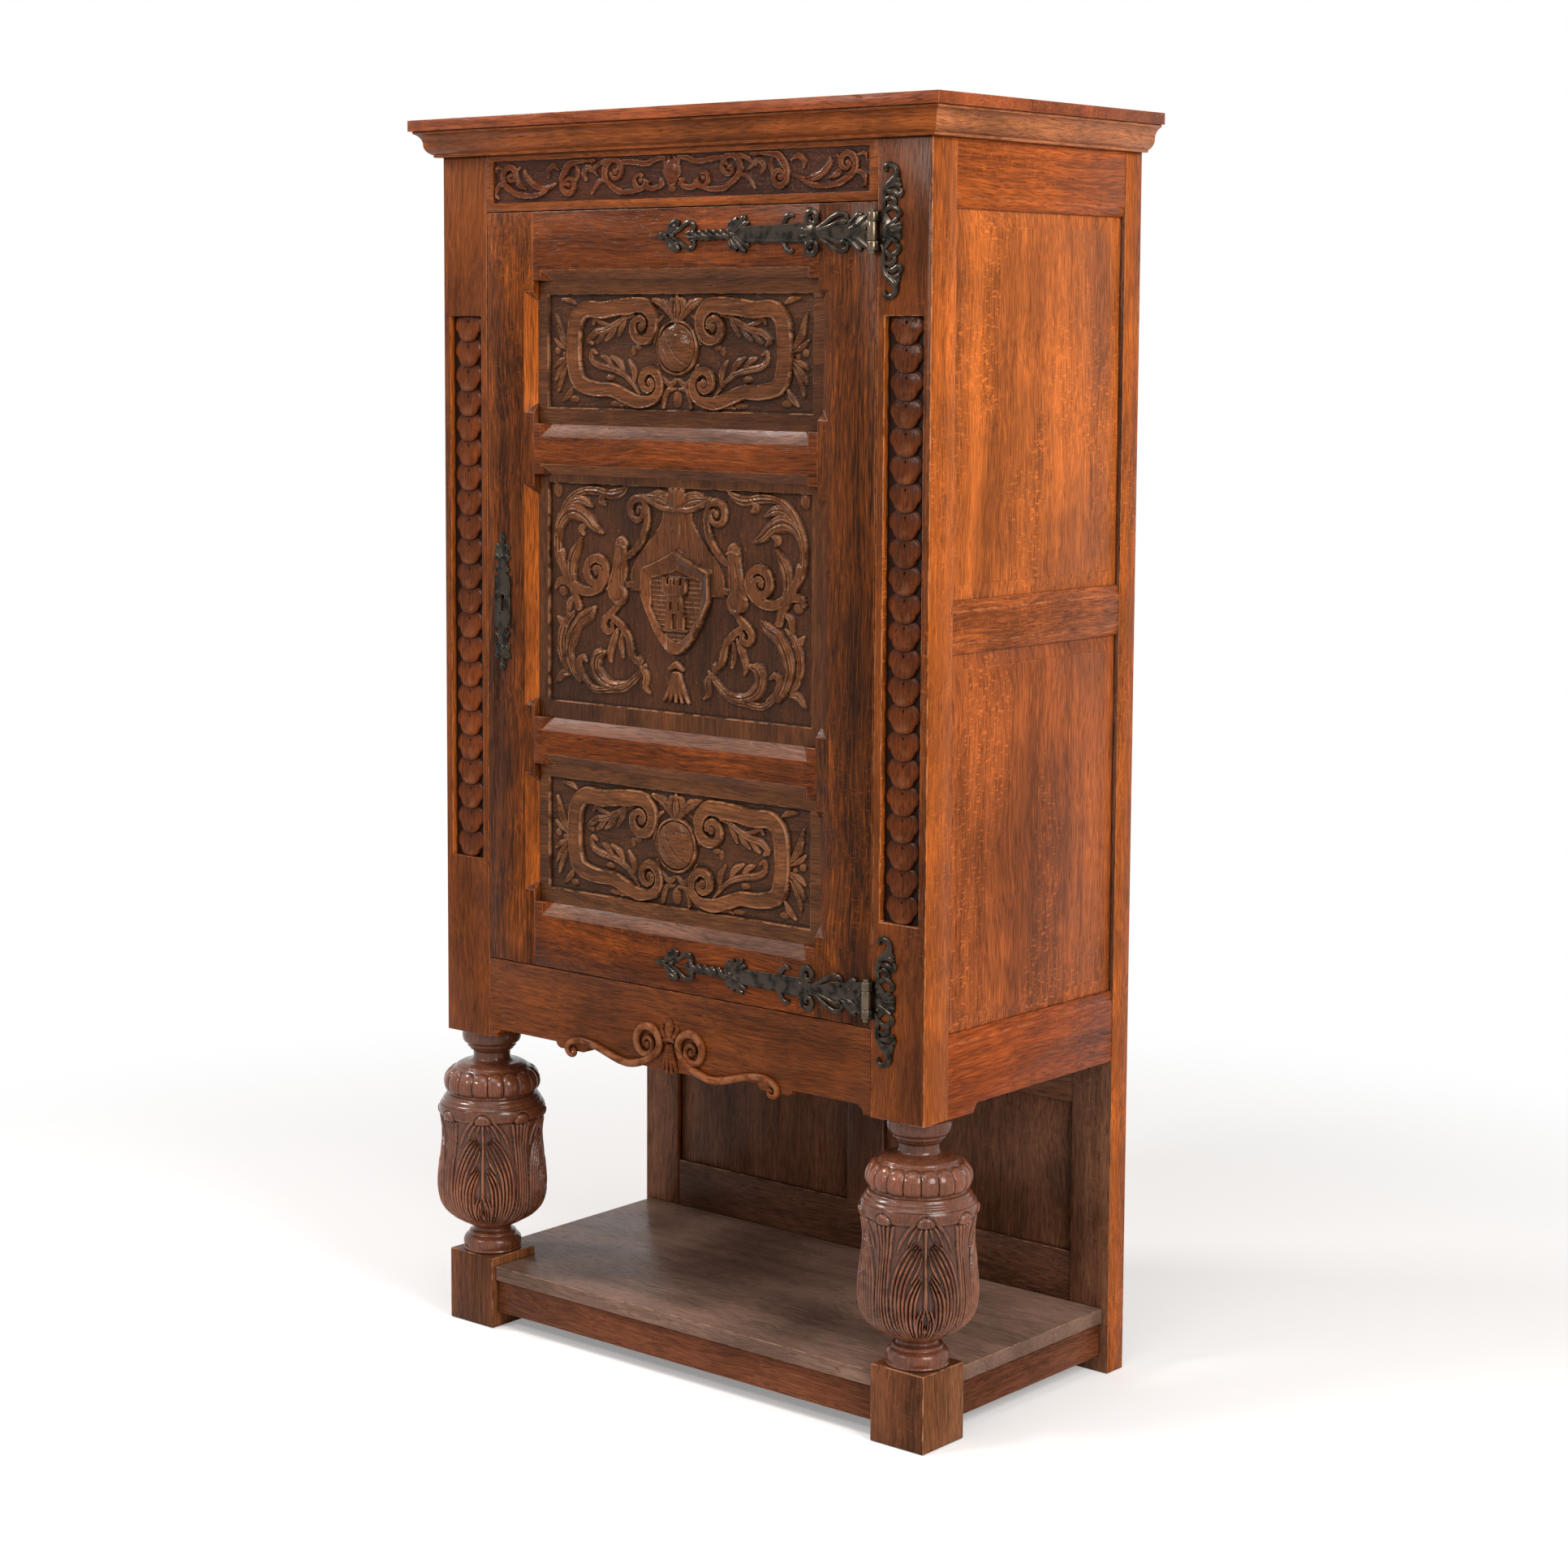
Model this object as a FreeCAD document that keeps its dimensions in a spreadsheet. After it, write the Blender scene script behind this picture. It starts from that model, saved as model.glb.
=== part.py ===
import FreeCAD, Part
import math
import os
import Sketcher

# A bonnetiere: a tall one-door cupboard of joined oak, carried at the front by
# two turned and carved balusters over an open stage with a low platform.
#
# Frame: millimetres, +Z up, the front faces -Y, +X is the viewer's right.
# The origin is on the floor, under the middle of the overall box.

os.makedirs("parts", exist_ok=True)
doc = FreeCAD.newDocument("bonnetiere_cabinet")


# ---------------------------------------------------------------- the sheet

SIZES = {
    # overall
    "overall_height": 1850,
    "body_width": 930,
    "body_depth": 493,
    # cornice
    "cornice_height": 55,
    "cornice_reach": 38,
    "top_board_thickness": 16.5,
    "cornice_fillet": 3.5,
    "cornice_step": 5,
    "cornice_foot_reach": 10.5,
    # posts
    "front_post_width": 92,
    "front_post_depth": 55,
    "post_foot_height": 460,
    "back_post_width": 70,
    "back_post_depth": 40,
    # front frame
    "front_rail_thickness": 28,
    "frieze_height": 83,
    "frieze_field_inset": 14,
    "frieze_field_margin": 12.5,
    "frieze_field_head": 9,
    "frieze_field_sink": 5,
    "sill_height": 584,
    "apron_edge_height": 474.5,
    "apron_lobe_drop": 9,
    "apron_lobe_reach": 85,
    "apron_lobe_rise": 60,
    "apron_ear_start": 167,
    "apron_ear_width": 65,
    "apron_ear_drop": 8.5,
    "bracket_drop": 13,
    "front_bracket_length": 26,
    "side_bracket_length": 76,
    "bracket_cove": 12,
    # scroll carved along the apron's edge
    "scroll_relief": 4.5,
    "scroll_width": 10,
    "volute_offset": 42.5,
    "volute_height": 501,
    "volute_radius": 24,
    "scroll_low_offset": 77,
    "scroll_low_height": 466,
    "scroll_high_offset": 175,
    "scroll_high_height": 483,
    "curl_offset": 198,
    "curl_height": 469,
    "curl_radius": 9.5,
    "husk_height": 530,
    "husk_radius": 13,
    "husk_foot_width": 34,
    # joinery
    "tenon_thickness": 9,
    "tenon_shoulder": 12,
    "tenon_length": 26,
    "mortise_extra": 1,
    "joint_clearance": 0.1,
    "tongue_length": 8,
    "tongue_thickness": 6,
    # side frames
    "side_rail_thickness": 22,
    "side_rail_recess": 1,
    "side_top_rail_height": 93,
    "side_mid_rail_foot": 1102,
    "side_mid_rail_height": 73,
    "side_bottom_rail_foot": 473,
    "side_bottom_rail_height": 105,
    "rail_mould_width": 15,
    "rail_mould_depth": 4,
    "rail_mould_quirk": 1.2,
    "side_panel_thickness": 13,
    "side_field_recess": 5,
    "side_field_margin": 22,
    "side_field_step": 1.2,
    "side_bevel_fall": 2.3,
    # scale strips in the posts
    "strip_height": 823,
    "strip_foot": 735,
    "strip_pocket_width": 66,
    "strip_pocket_depth": 11,
    "scale_count": 22,
    "scale_width": 47,
    "scale_lobe_width": 29,
    "scale_set_back": 1.5,
    "scale_tilt": 5,
    "strip_backing": 2,
    # door
    "door_gap": 1.5,
    "door_thickness": 28,
    "lock_stile_width": 95.5,
    "hinge_stile_width": 101,
    "door_top_rail_height": 100.5,
    "door_upper_rail_height": 75,
    "door_lower_rail_height": 70,
    "door_bottom_rail_height": 97.5,
    "end_panel_height": 210,
    "panel_recess": 12.5,
    "door_panel_thickness": 10,
    "panel_border_side": 18,
    "panel_border_foot": 18,
    "panel_border_head": 26,
    "panel_field_sink": 5.5,
    "panel_field_slope": 2,
    "chamfer_width": 18,
    "under_chamfer_width": 12,
    "chamfer_stop": 16,
    "chamfer_stop_run": 14,
    "chamfer_overrun": 1,
    # carved rosettes and shield
    "rosette_radius": 29,
    "rosette_rise": 11,
    "rosette_cut": 6,
    "shield_width": 98,
    "shield_height": 140,
    "shield_rise": 8,
    # iron work
    "hinge_inset": 39.5,
    "hinge_axis_inset": 3,
    "hinge_axis_proud": 8,
    "knuckle_radius": 6.8,
    "knuckle_height": 52,
    "knuckle_middle_height": 26,
    "knuckle_gap": 0.3,
    "pin_radius": 2.5,
    "pin_clearance": 0.05,
    "pin_head_radius": 4.6,
    "pin_head_height": 4,
    "strap_length": 400,
    "strap_thickness": 4,
    "strap_half_width": 10,
    "strap_web": 1,
    "plate_clearance": 0.6,
    "strap_leaf_reach": 29,
    "rope_radius": 6.5,
    "frame_leaf_width": 46,
    "frame_leaf_height": 178,
    "escutcheon_offset": 31,
    "lock_height": 1130,
    "escutcheon_width": 34,
    "escutcheon_plate_height": 78,
    "escutcheon_height": 206,
    "escutcheon_thickness": 1.6,
    "keyhole_radius": 4,
    "keyhole_slot": 15,
    "keyhole_slot_width": 4,
    # lock
    "lock_case_length": 62,
    "lock_case_height": 84,
    "lock_case_wall": 2,
    "lock_case_proud": 3,
    "lock_case_depth": 13,
    "bolt_height": 24,
    "bolt_length": 40,
    "bolt_clearance": 0.3,
    "bolt_throw": 11,
    "bolt_mortise_clearance": 1,
    "strike_thickness": 1.5,
    "strike_height": 70,
    "strike_width": 18,
    # inside the cupboard
    "floor_height": 594,
    "board_thickness": 18,
    "board_clearance": 1,
    "door_stop_gap": 0.5,
    "lower_shelf_height": 940,
    "upper_shelf_height": 1330,
    "cleat_height": 25,
    "cleat_thickness": 18,
    # back frame
    "back_frame_setback": 2,
    "back_rail_thickness": 22,
    "back_top_rail_height": 80,
    "back_mid_rail_foot": 1095,
    "back_mid_rail_height": 80,
    "back_cupboard_rail_foot": 400,
    "back_cupboard_rail_height": 120,
    "back_foot_rail_foot": 50,
    "back_foot_rail_height": 122,
    "back_muntin_width": 72,
    "back_panel_thickness": 10,
    "back_panel_recess": 7,
    # lower stage
    "foot_block_side": 93,
    "foot_block_height": 111,
    "foot_block_proud": 1.5,
    "foot_block_setback": 3.5,
    "dowel_radius": 19,
    "dowel_length": 38,
    "platform_height": 97.5,
    "platform_thickness": 22,
    "platform_side_inset": 10,
    "platform_front_inset": 9.5,
    "platform_rail_recess": 5,
    "platform_rail_thickness": 20,
    "platform_rail_height": 51,
    # turned and carved baluster, heights above its foot
    "foot_ring_radius": 45,
    "foot_ring_height": 22,
    "lower_neck_radius": 29,
    "cup_foot_height": 38,
    "cup_belly_height": 108,
    "cup_belly_radius": 84,
    "cup_waist_height": 188,
    "cup_waist_radius": 78.5,
    "leaf_tip_height": 221,
    "leaf_tip_reach": 3.5,
    "leaf_relief": 2.5,
    "cup_rim_height": 232,
    "cup_rim_radius": 82,
    "cover_foot_height": 250,
    "cover_foot_radius": 67.5,
    "cover_belly_height": 267,
    "cover_belly_radius": 75,
    "cover_top_height": 292,
    "cover_top_radius": 55.5,
    "gadroon_cut": 3.5,
    "upper_neck_height": 305,
    "upper_neck_radius": 28.8,
    "collar_foot_height": 315,
    "collar_foot_radius": 37.6,
    "collar_radius": 45.5,
}


class Formula:
    """A length that carries its number and the sheet formula behind it."""

    def __init__(self, text, number):
        self.text = text
        self.number = number

    def join(self, sign, other, number):
        return Formula(f"({self.text} {sign} {other.text})", number)

    def __add__(self, other):
        other = formula(other)
        return self.join("+", other, self.number + other.number)

    def __sub__(self, other):
        other = formula(other)
        return self.join("-", other, self.number - other.number)

    def __mul__(self, other):
        other = formula(other)
        return self.join("*", other, self.number * other.number)

    def __truediv__(self, other):
        other = formula(other)
        return self.join("/", other, self.number / other.number)

    def __neg__(self):
        return Formula(f"(0 - {self.text})", -self.number)

    __radd__ = __add__
    __rmul__ = __mul__

    def __rsub__(self, other):
        return formula(other) - self


def formula(value):
    """A plain number becomes a formula of itself."""
    if isinstance(value, Formula):
        return value
    return Formula(f"{value:g}", float(value))


class Named:
    """The sizes by name, each bound to its cell."""


sheet = doc.addObject("Spreadsheet::Sheet", "Sizes")
size = Named()
for row, (alias, number) in enumerate(SIZES.items(), start=1):
    sheet.set(f"A{row}", alias)
    sheet.set(f"B{row}", f"{number:g}")
    sheet.setAlias(f"B{row}", alias)
    setattr(size, alias, Formula(f"Sizes.{alias}", float(number)))
doc.recompute()


# ---------------------------------------------------------------- datums

HALF = size.body_width / 2
FACE = (size.cornice_reach - size.body_depth) / 2
BACK = FACE + size.body_depth
HEAD = size.overall_height - size.cornice_height
SLAB_FOOT = size.overall_height - size.top_board_thickness
POST_INNER = HALF - size.front_post_width
POST_REAR = FACE + size.front_post_depth
BACK_POST_FRONT = BACK - size.back_post_depth
SIDE_FACE = HALF - size.side_rail_recess
SIDE_INNER = SIDE_FACE - size.side_rail_thickness

HINGE_X = POST_INNER - size.hinge_axis_inset
HINGE_Y = FACE - size.hinge_axis_proud

DOOR_LEFT = -(POST_INNER - size.door_gap)
DOOR_RIGHT = POST_INNER - size.door_gap
DOOR_FOOT = size.sill_height + size.door_gap
DOOR_HEAD = HEAD - size.frieze_height - size.door_gap
DOOR_BACK = FACE + size.door_thickness
OPEN_LEFT = DOOR_LEFT + size.lock_stile_width
OPEN_RIGHT = DOOR_RIGHT - size.hinge_stile_width

BLOCK_OUT = HALF + size.foot_block_proud
BLOCK_IN = BLOCK_OUT - size.foot_block_side
BLOCK_FRONT = FACE + size.foot_block_setback
BLOCK_REAR = BLOCK_FRONT + size.foot_block_side
AXIS_X = BLOCK_OUT - size.foot_block_side / 2
AXIS_Y = BLOCK_FRONT + size.foot_block_side / 2

nodes = {}


# ---------------------------------------------------------------- helpers

def bind(thing, bindings):
    """Tie properties of an object to formulas of the sheet."""
    for prop, value in bindings.items():
        thing.setExpression(prop, formula(value).text)


def ordered(pair):
    """The two ends of a span, lowest first."""
    first, last = formula(pair[0]), formula(pair[1])
    if first.number > last.number:
        return last, first
    return first, last


def plank(name, x, y, z):
    """A squared piece between six planes."""
    west, east = ordered(x)
    front, rear = ordered(y)
    foot, head = ordered(z)
    box = doc.addObject("Part::Box", name)
    bind(box, {
        "Length": east - west,
        "Width": rear - front,
        "Height": head - foot,
        "Placement.Base.x": west,
        "Placement.Base.y": front,
        "Placement.Base.z": foot,
    })
    return box


# how many flats go round a lobe of relief, and round a piece off the lathe
LOBE_SIDES = 12
TURNED_SIDES = 24

TURN = {
    "z": FreeCAD.Rotation(),
    "y": FreeCAD.Rotation(FreeCAD.Vector(1, 0, 0), -90),
    "x": FreeCAD.Rotation(FreeCAD.Vector(0, 1, 0), 90),
}


def place(thing, axis, at):
    """Turn a primitive onto an axis and tie its base point."""
    thing.Placement = FreeCAD.Placement(FreeCAD.Vector(), TURN[axis])
    bind(thing, {f"Placement.Base.{key}": value for key, value in zip("xyz", at)})
    return thing


def rod(name, radius, length, at, axis="z"):
    """A round bar from a point along an axis."""
    bar = doc.addObject("Part::Cylinder", name)
    bind(bar, {"Radius": radius, "Height": length})
    return place(bar, axis, at)


def fuse(name, *pieces):
    """Pieces glued or forged into one."""
    joined = doc.addObject("Part::MultiFuse", name)
    joined.Shapes = list(pieces)
    joined.Refine = True
    return joined


def cut(name, base, *tools):
    """A piece with material taken away."""
    pared = doc.addObject("Part::Cut", name)
    pared.Base = base
    pared.Tool = tools[0] if len(tools) == 1 else fuse(f"{name}_tools", *tools)
    return pared


def group(name, *pieces):
    """Separate solids kept in one node."""
    kept = doc.addObject("Part::Compound", name)
    kept.Links = list(pieces)
    return kept


def twin(name, source):
    """The same piece on the other side of the cabinet."""
    other = doc.addObject("Part::Mirroring", name)
    other.Source = source
    other.Base = FreeCAD.Vector(0, 0, 0)
    other.Normal = FreeCAD.Vector(1, 0, 0)
    return other


def keep(name, thing):
    """Name the finished sub-part."""
    thing.Label = name
    nodes[name] = thing
    return thing


class Via:
    """A point that an arc passes through, between two corners."""

    def __init__(self, across, up):
        self.across = formula(across)
        self.up = formula(up)


def point(corner):
    return FreeCAD.Vector(corner[0].number, corner[1].number, 0)


def draw(body, role, corners):
    """A closed outline on one of the body's origin planes, fully tied to the sheet."""
    sketch = body.newObject("Sketcher::SketchObject", f"{body.Name}_outline")
    plane = [item for item in body.Origin.OriginFeatures if item.Role == role][0]
    sketch.AttachmentSupport = (plane, [""])
    sketch.MapMode = "FlatFace"
    stops = [(formula(c[0]), formula(c[1])) for c in corners if not isinstance(c, Via)]
    bends = {}
    count = 0
    for corner in corners:
        if isinstance(corner, Via):
            bends[count - 1] = (corner.across, corner.up)
        else:
            count += 1
    edges = []
    for index, start in enumerate(stops):
        end = stops[(index + 1) % count]
        if index in bends:
            curve = Part.Arc(point(start), point(bends[index]), point(end))
            edge = sketch.addGeometry(curve)
            swapped = (sketch.getPoint(edge, 1) - point(start)).Length > 1e-4
            edges.append((edge, 2 if swapped else 1, 1 if swapped else 2))
        else:
            edges.append((sketch.addGeometry(Part.LineSegment(point(start), point(end))), 1, 2))
    for index in range(count):
        edge, _, last = edges[index]
        following, first, _ = edges[(index + 1) % count]
        sketch.addConstraint(Sketcher.Constraint("Coincident", edge, last, following, first))
    for index, stop in enumerate(stops):
        edge, first, _ = edges[index]
        tie(sketch, edge, first, stop)
    for index, bend in bends.items():
        mark = sketch.addGeometry(Part.Point(point(bend)), True)
        tie(sketch, mark, 1, bend)
        sketch.addConstraint(Sketcher.Constraint("PointOnObject", mark, 1, edges[index][0]))
    return sketch


def tie(sketch, edge, end, spot):
    """Hold a point of the sketch at two formulas."""
    for kind, value in zip(("DistanceX", "DistanceY"), spot):
        rule = sketch.addConstraint(
            Sketcher.Constraint(kind, -1, 1, edge, end, value.number))
        sketch.setExpression(f"Constraints[{rule}]", value.text)


def between(start, end, share):
    """The length a share of the way from one length to another."""
    return start + (end - start) * share


def prism(name, sides, radius, length, at, axis="z"):
    """A round worked in flats, from a point along an axis."""
    block = doc.addObject("Part::Prism", name)
    block.Polygon = sides
    bind(block, {"Circumradius": radius, "Height": length})
    return place(block, axis, at)


def lobe(name, radius, low, high, x, z):
    """A round lobe of relief, about a level axis square to the face."""
    return prism(name, LOBE_SIDES, radius, high - low, (x, low, z), "y")


def ring(lobes, height, marks):
    """A closed ring of corners round the upright axis; marks give one lobe of it."""
    corners = []
    for number in range(lobes):
        for share, radius in marks:
            turn = (number + share) * 2 * math.pi / lobes
            reach = formula(radius).number
            corners.append(FreeCAD.Vector(
                reach * math.cos(turn), reach * math.sin(turn), formula(height).number))
    return corners


def faceted_round(name, lobes, rows, at, turn=FreeCAD.Rotation()):
    """A lobed block about an axis, its skin in flat facets from ring to ring.

    rows are (height along the axis, marks), and marks give one lobe of a ring as
    (share of the lobe's pitch, radius).
    """
    rings = [ring(lobes, height, marks) for height, marks in rows]
    facets = [rings[0], rings[-1]]
    for low, high in zip(rings, rings[1:]):
        low_next = low[1:] + low[:1]
        high_next = high[1:] + high[:1]
        for corners in zip(low, low_next, high_next, high):
            facets.append(corners[:3])
            facets.append((corners[0], corners[2], corners[3]))
    faces = [Part.Face(Part.makePolygon([*corners, corners[0]])) for corners in facets]
    block = doc.addObject("Part::Feature", name)
    block.Shape = Part.Solid(Part.Shell(faces))
    block.Placement = FreeCAD.Placement(FreeCAD.Vector(), turn)
    bind(block, {f"Placement.Base.{key}": value for key, value in zip("xyz", at)})
    return block


def shaped_plank(name, role, corners, low, high):
    """A board sawn to an outline, between two planes along the outline's normal."""
    low, high = ordered((low, high))
    body = doc.addObject("PartDesign::Body", name)
    sketch = draw(body, role, corners)
    pad = body.newObject("PartDesign::Pad", f"{name}_pad")
    pad.Profile = sketch
    bind(pad, {"Length": high - low})
    # the XZ plane's sketches face -Y, so those boards grow towards the front
    key, start = {"XZ_Plane": ("y", high), "YZ_Plane": ("x", low), "XY_Plane": ("z", low)}[role]
    bind(body, {f"Placement.Base.{key}": start})
    return body


# A rail or muntin is a dict of three spans: "x", "y" and "z".

def tenon(rail, along, end, thin):
    """The spans of a tenon on the low or high end of a rail."""
    wide = ({"x", "y", "z"} - {along, thin}).pop()
    low, high = ordered(rail[along])
    middle = (rail[thin][0] + rail[thin][1]) / 2
    foot, head = ordered(rail[wide])
    spans = {
        thin: (middle - size.tenon_thickness / 2, middle + size.tenon_thickness / 2),
        wide: (foot + size.tenon_shoulder, head - size.tenon_shoulder),
        along: (low - size.tenon_length, low) if end == "low" else (high, high + size.tenon_length),
    }
    return spans


def mortise(name, spans, along, end):
    """The pocket that takes a tenon, with its clearances."""
    roomy = {}
    for key, (low, high) in spans.items():
        if key == along:
            extra_low = size.mortise_extra if end == "low" else formula(0)
            extra_high = size.mortise_extra if end == "high" else formula(0)
            roomy[key] = (low - extra_low, high + extra_high)
        else:
            roomy[key] = (low - size.joint_clearance, high + size.joint_clearance)
    return plank(name, **roomy)


class Rail:
    """A rail with tenons: its solid, and the mortises cut for it elsewhere."""

    def __init__(self, name, spans, along, thin, blank=None):
        self.name = name
        body = blank or plank(f"{name}_blank", **spans)
        ends = {end: tenon(spans, along, end, thin) for end in ("low", "high")}
        tongues = [plank(f"{name}_{end}_tenon", **ends[end]) for end in ends]
        self.solid = fuse(f"{name}_tenoned", body, *tongues)
        self.mortises = {end: mortise(f"{name}_{end}_mortise", ends[end], along, end)
                         for end in ends}


def panel_groove(name, x, y, z, thin):
    """The tongue of a panel, and the groove that takes it in the frame."""
    spans = {"x": ordered(x), "y": ordered(y), "z": ordered(z)}
    tongue = {}
    groove = {}
    for key, (low, high) in spans.items():
        if key == thin:
            tongue[key] = (low, high)
            groove[key] = (low - size.joint_clearance, high + size.joint_clearance)
        else:
            tongue[key] = (low - size.tongue_length, high + size.tongue_length)
            groove[key] = (tongue[key][0] - size.mortise_extra, tongue[key][1] + size.mortise_extra)
    return plank(f"{name}_tongue", **tongue), plank(f"{name}_groove", **groove)


def frustum(name, axis, base, near, far, depth):
    """A four-sided frustum: its near rectangle, and its far one a depth along the axis.

    near and far are ((low, high), (low, high)): across, then up. It points along +Y,
    or along +X when axis is "x", where across is measured towards -Y.
    """
    block = doc.addObject("Part::Wedge", name)
    turn = FreeCAD.Rotation(FreeCAD.Vector(0, 0, 1), -90 if axis == "x" else 0)
    block.Placement = FreeCAD.Placement(FreeCAD.Vector(), turn)
    bind(block, {
        "Ymin": 0,
        "Ymax": depth,
        "Xmin": near[0][0],
        "Xmax": near[0][1],
        "Zmin": near[1][0],
        "Zmax": near[1][1],
        "X2min": far[0][0],
        "X2max": far[0][1],
        "Z2min": far[1][0],
        "Z2max": far[1][1],
    })
    bind(block, {f"Placement.Base.{key}": value for key, value in zip("xyz", base)})
    return block


# ---------------------------------------------------------------- side frames (right side, then twinned)

SIDE_SPAN = (POST_REAR, BACK_POST_FRONT)


def moulded_section(foot, head, at_foot, at_head):
    """The upright section of a side rail, with a run mould on its panel edges."""
    arris = SIDE_FACE - size.rail_mould_quirk
    lip = SIDE_FACE - size.rail_mould_depth
    swell = SIDE_FACE - size.rail_mould_quirk * 1.3
    corners = [(SIDE_INNER, foot)]
    if at_foot:
        corners += [
            (lip, foot),
            Via(swell, foot + size.rail_mould_width * 0.3),
            (arris, foot + size.rail_mould_width * 0.9),
            (SIDE_FACE, foot + size.rail_mould_width),
        ]
    else:
        corners += [(SIDE_FACE, foot)]
    if at_head:
        corners += [
            (SIDE_FACE, head - size.rail_mould_width),
            (arris, head - size.rail_mould_width * 0.9),
            Via(swell, head - size.rail_mould_width * 0.3),
            (lip, head),
        ]
    else:
        corners += [(SIDE_FACE, head)]
    return corners + [(SIDE_INNER, head)]


def side_rail(name, foot, head, at_foot, at_head):
    """A rail between the front and back post, tenoned at both ends."""
    body = doc.addObject("PartDesign::Body", f"{name}_section")
    sketch = draw(body, "XZ_Plane", moulded_section(foot, head, at_foot, at_head))
    run = body.newObject("PartDesign::Pad", f"{name}_run")
    run.Profile = sketch
    bind(run, {"Length": SIDE_SPAN[1] - SIDE_SPAN[0]})
    bind(body, {"Placement.Base.y": SIDE_SPAN[1]})
    spans = {"x": (SIDE_INNER, SIDE_FACE), "y": SIDE_SPAN, "z": (foot, head)}
    return Rail(name, spans, "y", "x", body)


TOP_RAIL_FOOT = HEAD - size.side_top_rail_height
MID_RAIL_HEAD = size.side_mid_rail_foot + size.side_mid_rail_height
BOTTOM_RAIL_HEAD = size.side_bottom_rail_foot + size.side_bottom_rail_height

side_top = side_rail("side_top", TOP_RAIL_FOOT, SLAB_FOOT, True, False)
side_mid = side_rail("side_mid", size.side_mid_rail_foot, MID_RAIL_HEAD, True, True)
side_bottom = side_rail("side_bottom", size.side_bottom_rail_foot, BOTTOM_RAIL_HEAD, False, True)

side_bracket = shaped_plank(
    "side_bracket", "YZ_Plane",
    [
        (POST_REAR, size.side_bottom_rail_foot - size.bracket_drop),
        (POST_REAR + size.side_bracket_length - size.bracket_cove * 1.4,
         size.side_bottom_rail_foot - size.bracket_drop),
        (POST_REAR + size.side_bracket_length - size.bracket_cove,
         size.side_bottom_rail_foot - size.bracket_drop * 0.55),
        Via(POST_REAR + size.side_bracket_length - size.bracket_cove * 0.7,
            size.side_bottom_rail_foot - size.bracket_drop * 0.15),
        (POST_REAR + size.side_bracket_length, size.side_bottom_rail_foot),
        (POST_REAR, size.side_bottom_rail_foot),
    ],
    SIDE_INNER, SIDE_FACE)


def side_panel(name, foot, head):
    """A fielded panel: flat tongue, bevelled margin, raised field."""
    field_x = HALF - size.side_field_recess
    back_x = field_x - size.side_panel_thickness
    bevel_x = field_x - size.side_field_step - size.side_bevel_fall
    tongue_x = (bevel_x - size.tongue_thickness, bevel_x)
    tongue, groove = panel_groove(name, tongue_x, SIDE_SPAN, (foot, head), "x")
    core = plank(f"{name}_core", (back_x, bevel_x), SIDE_SPAN, (foot, head))
    half = (SIDE_SPAN[1] - SIDE_SPAN[0]) / 2
    reach = half - size.side_field_margin
    middle = (SIDE_SPAN[1] + SIDE_SPAN[0]) / 2
    margin = frustum(
        f"{name}_margin", "x", (bevel_x, middle, 0),
        ((-half, half), (foot, head)),
        ((-reach, reach), (foot + size.side_field_margin, head - size.side_field_margin)),
        size.side_bevel_fall)
    field = plank(
        f"{name}_field", (bevel_x, field_x),
        (middle - reach, middle + reach),
        (foot + size.side_field_margin, head - size.side_field_margin))
    return fuse(name, tongue, core, margin, field), groove


upper_side, upper_groove = side_panel("side_upper_panel", MID_RAIL_HEAD, TOP_RAIL_FOOT)
lower_side, lower_groove = side_panel("side_lower_panel", BOTTOM_RAIL_HEAD, size.side_mid_rail_foot)

right_side = {
    "top_rail": cut("right_top_rail", side_top.solid, upper_groove),
    "mid_rail": cut("right_mid_rail", side_mid.solid, upper_groove, lower_groove),
    "bottom_rail": cut("right_bottom_rail",
                       fuse("bottom_rail_with_bracket", side_bottom.solid, side_bracket),
                       lower_groove),
    "upper_panel": upper_side,
    "lower_panel": lower_side,
}
for part_name, piece in right_side.items():
    keep(f"right_{part_name}", piece)
    keep(f"left_{part_name}", twin(f"left_{part_name}", piece))

side_cuts = [side.mortises["low"] for side in (side_top, side_mid, side_bottom)]
rear_cuts = [side.mortises["high"] for side in (side_top, side_mid, side_bottom)]


# ---------------------------------------------------------------- front frame

FRONT_SPAN = (-POST_INNER, POST_INNER)
FRONT_DEPTH = (FACE, FACE + size.front_rail_thickness)
frieze_spans = {"x": FRONT_SPAN, "y": FRONT_DEPTH, "z": (HEAD - size.frieze_height, SLAB_FOOT)}
frieze = Rail("frieze", frieze_spans, "x", "y")
frieze_field = plank(
    "frieze_field",
    (size.frieze_field_inset - POST_INNER, POST_INNER - size.frieze_field_inset),
    (FACE, FACE + size.frieze_field_sink),
    (HEAD - size.frieze_height + size.frieze_field_margin, HEAD - size.frieze_field_head))
keep("frieze_rail", cut("frieze_rail", frieze.solid, frieze_field))


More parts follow.
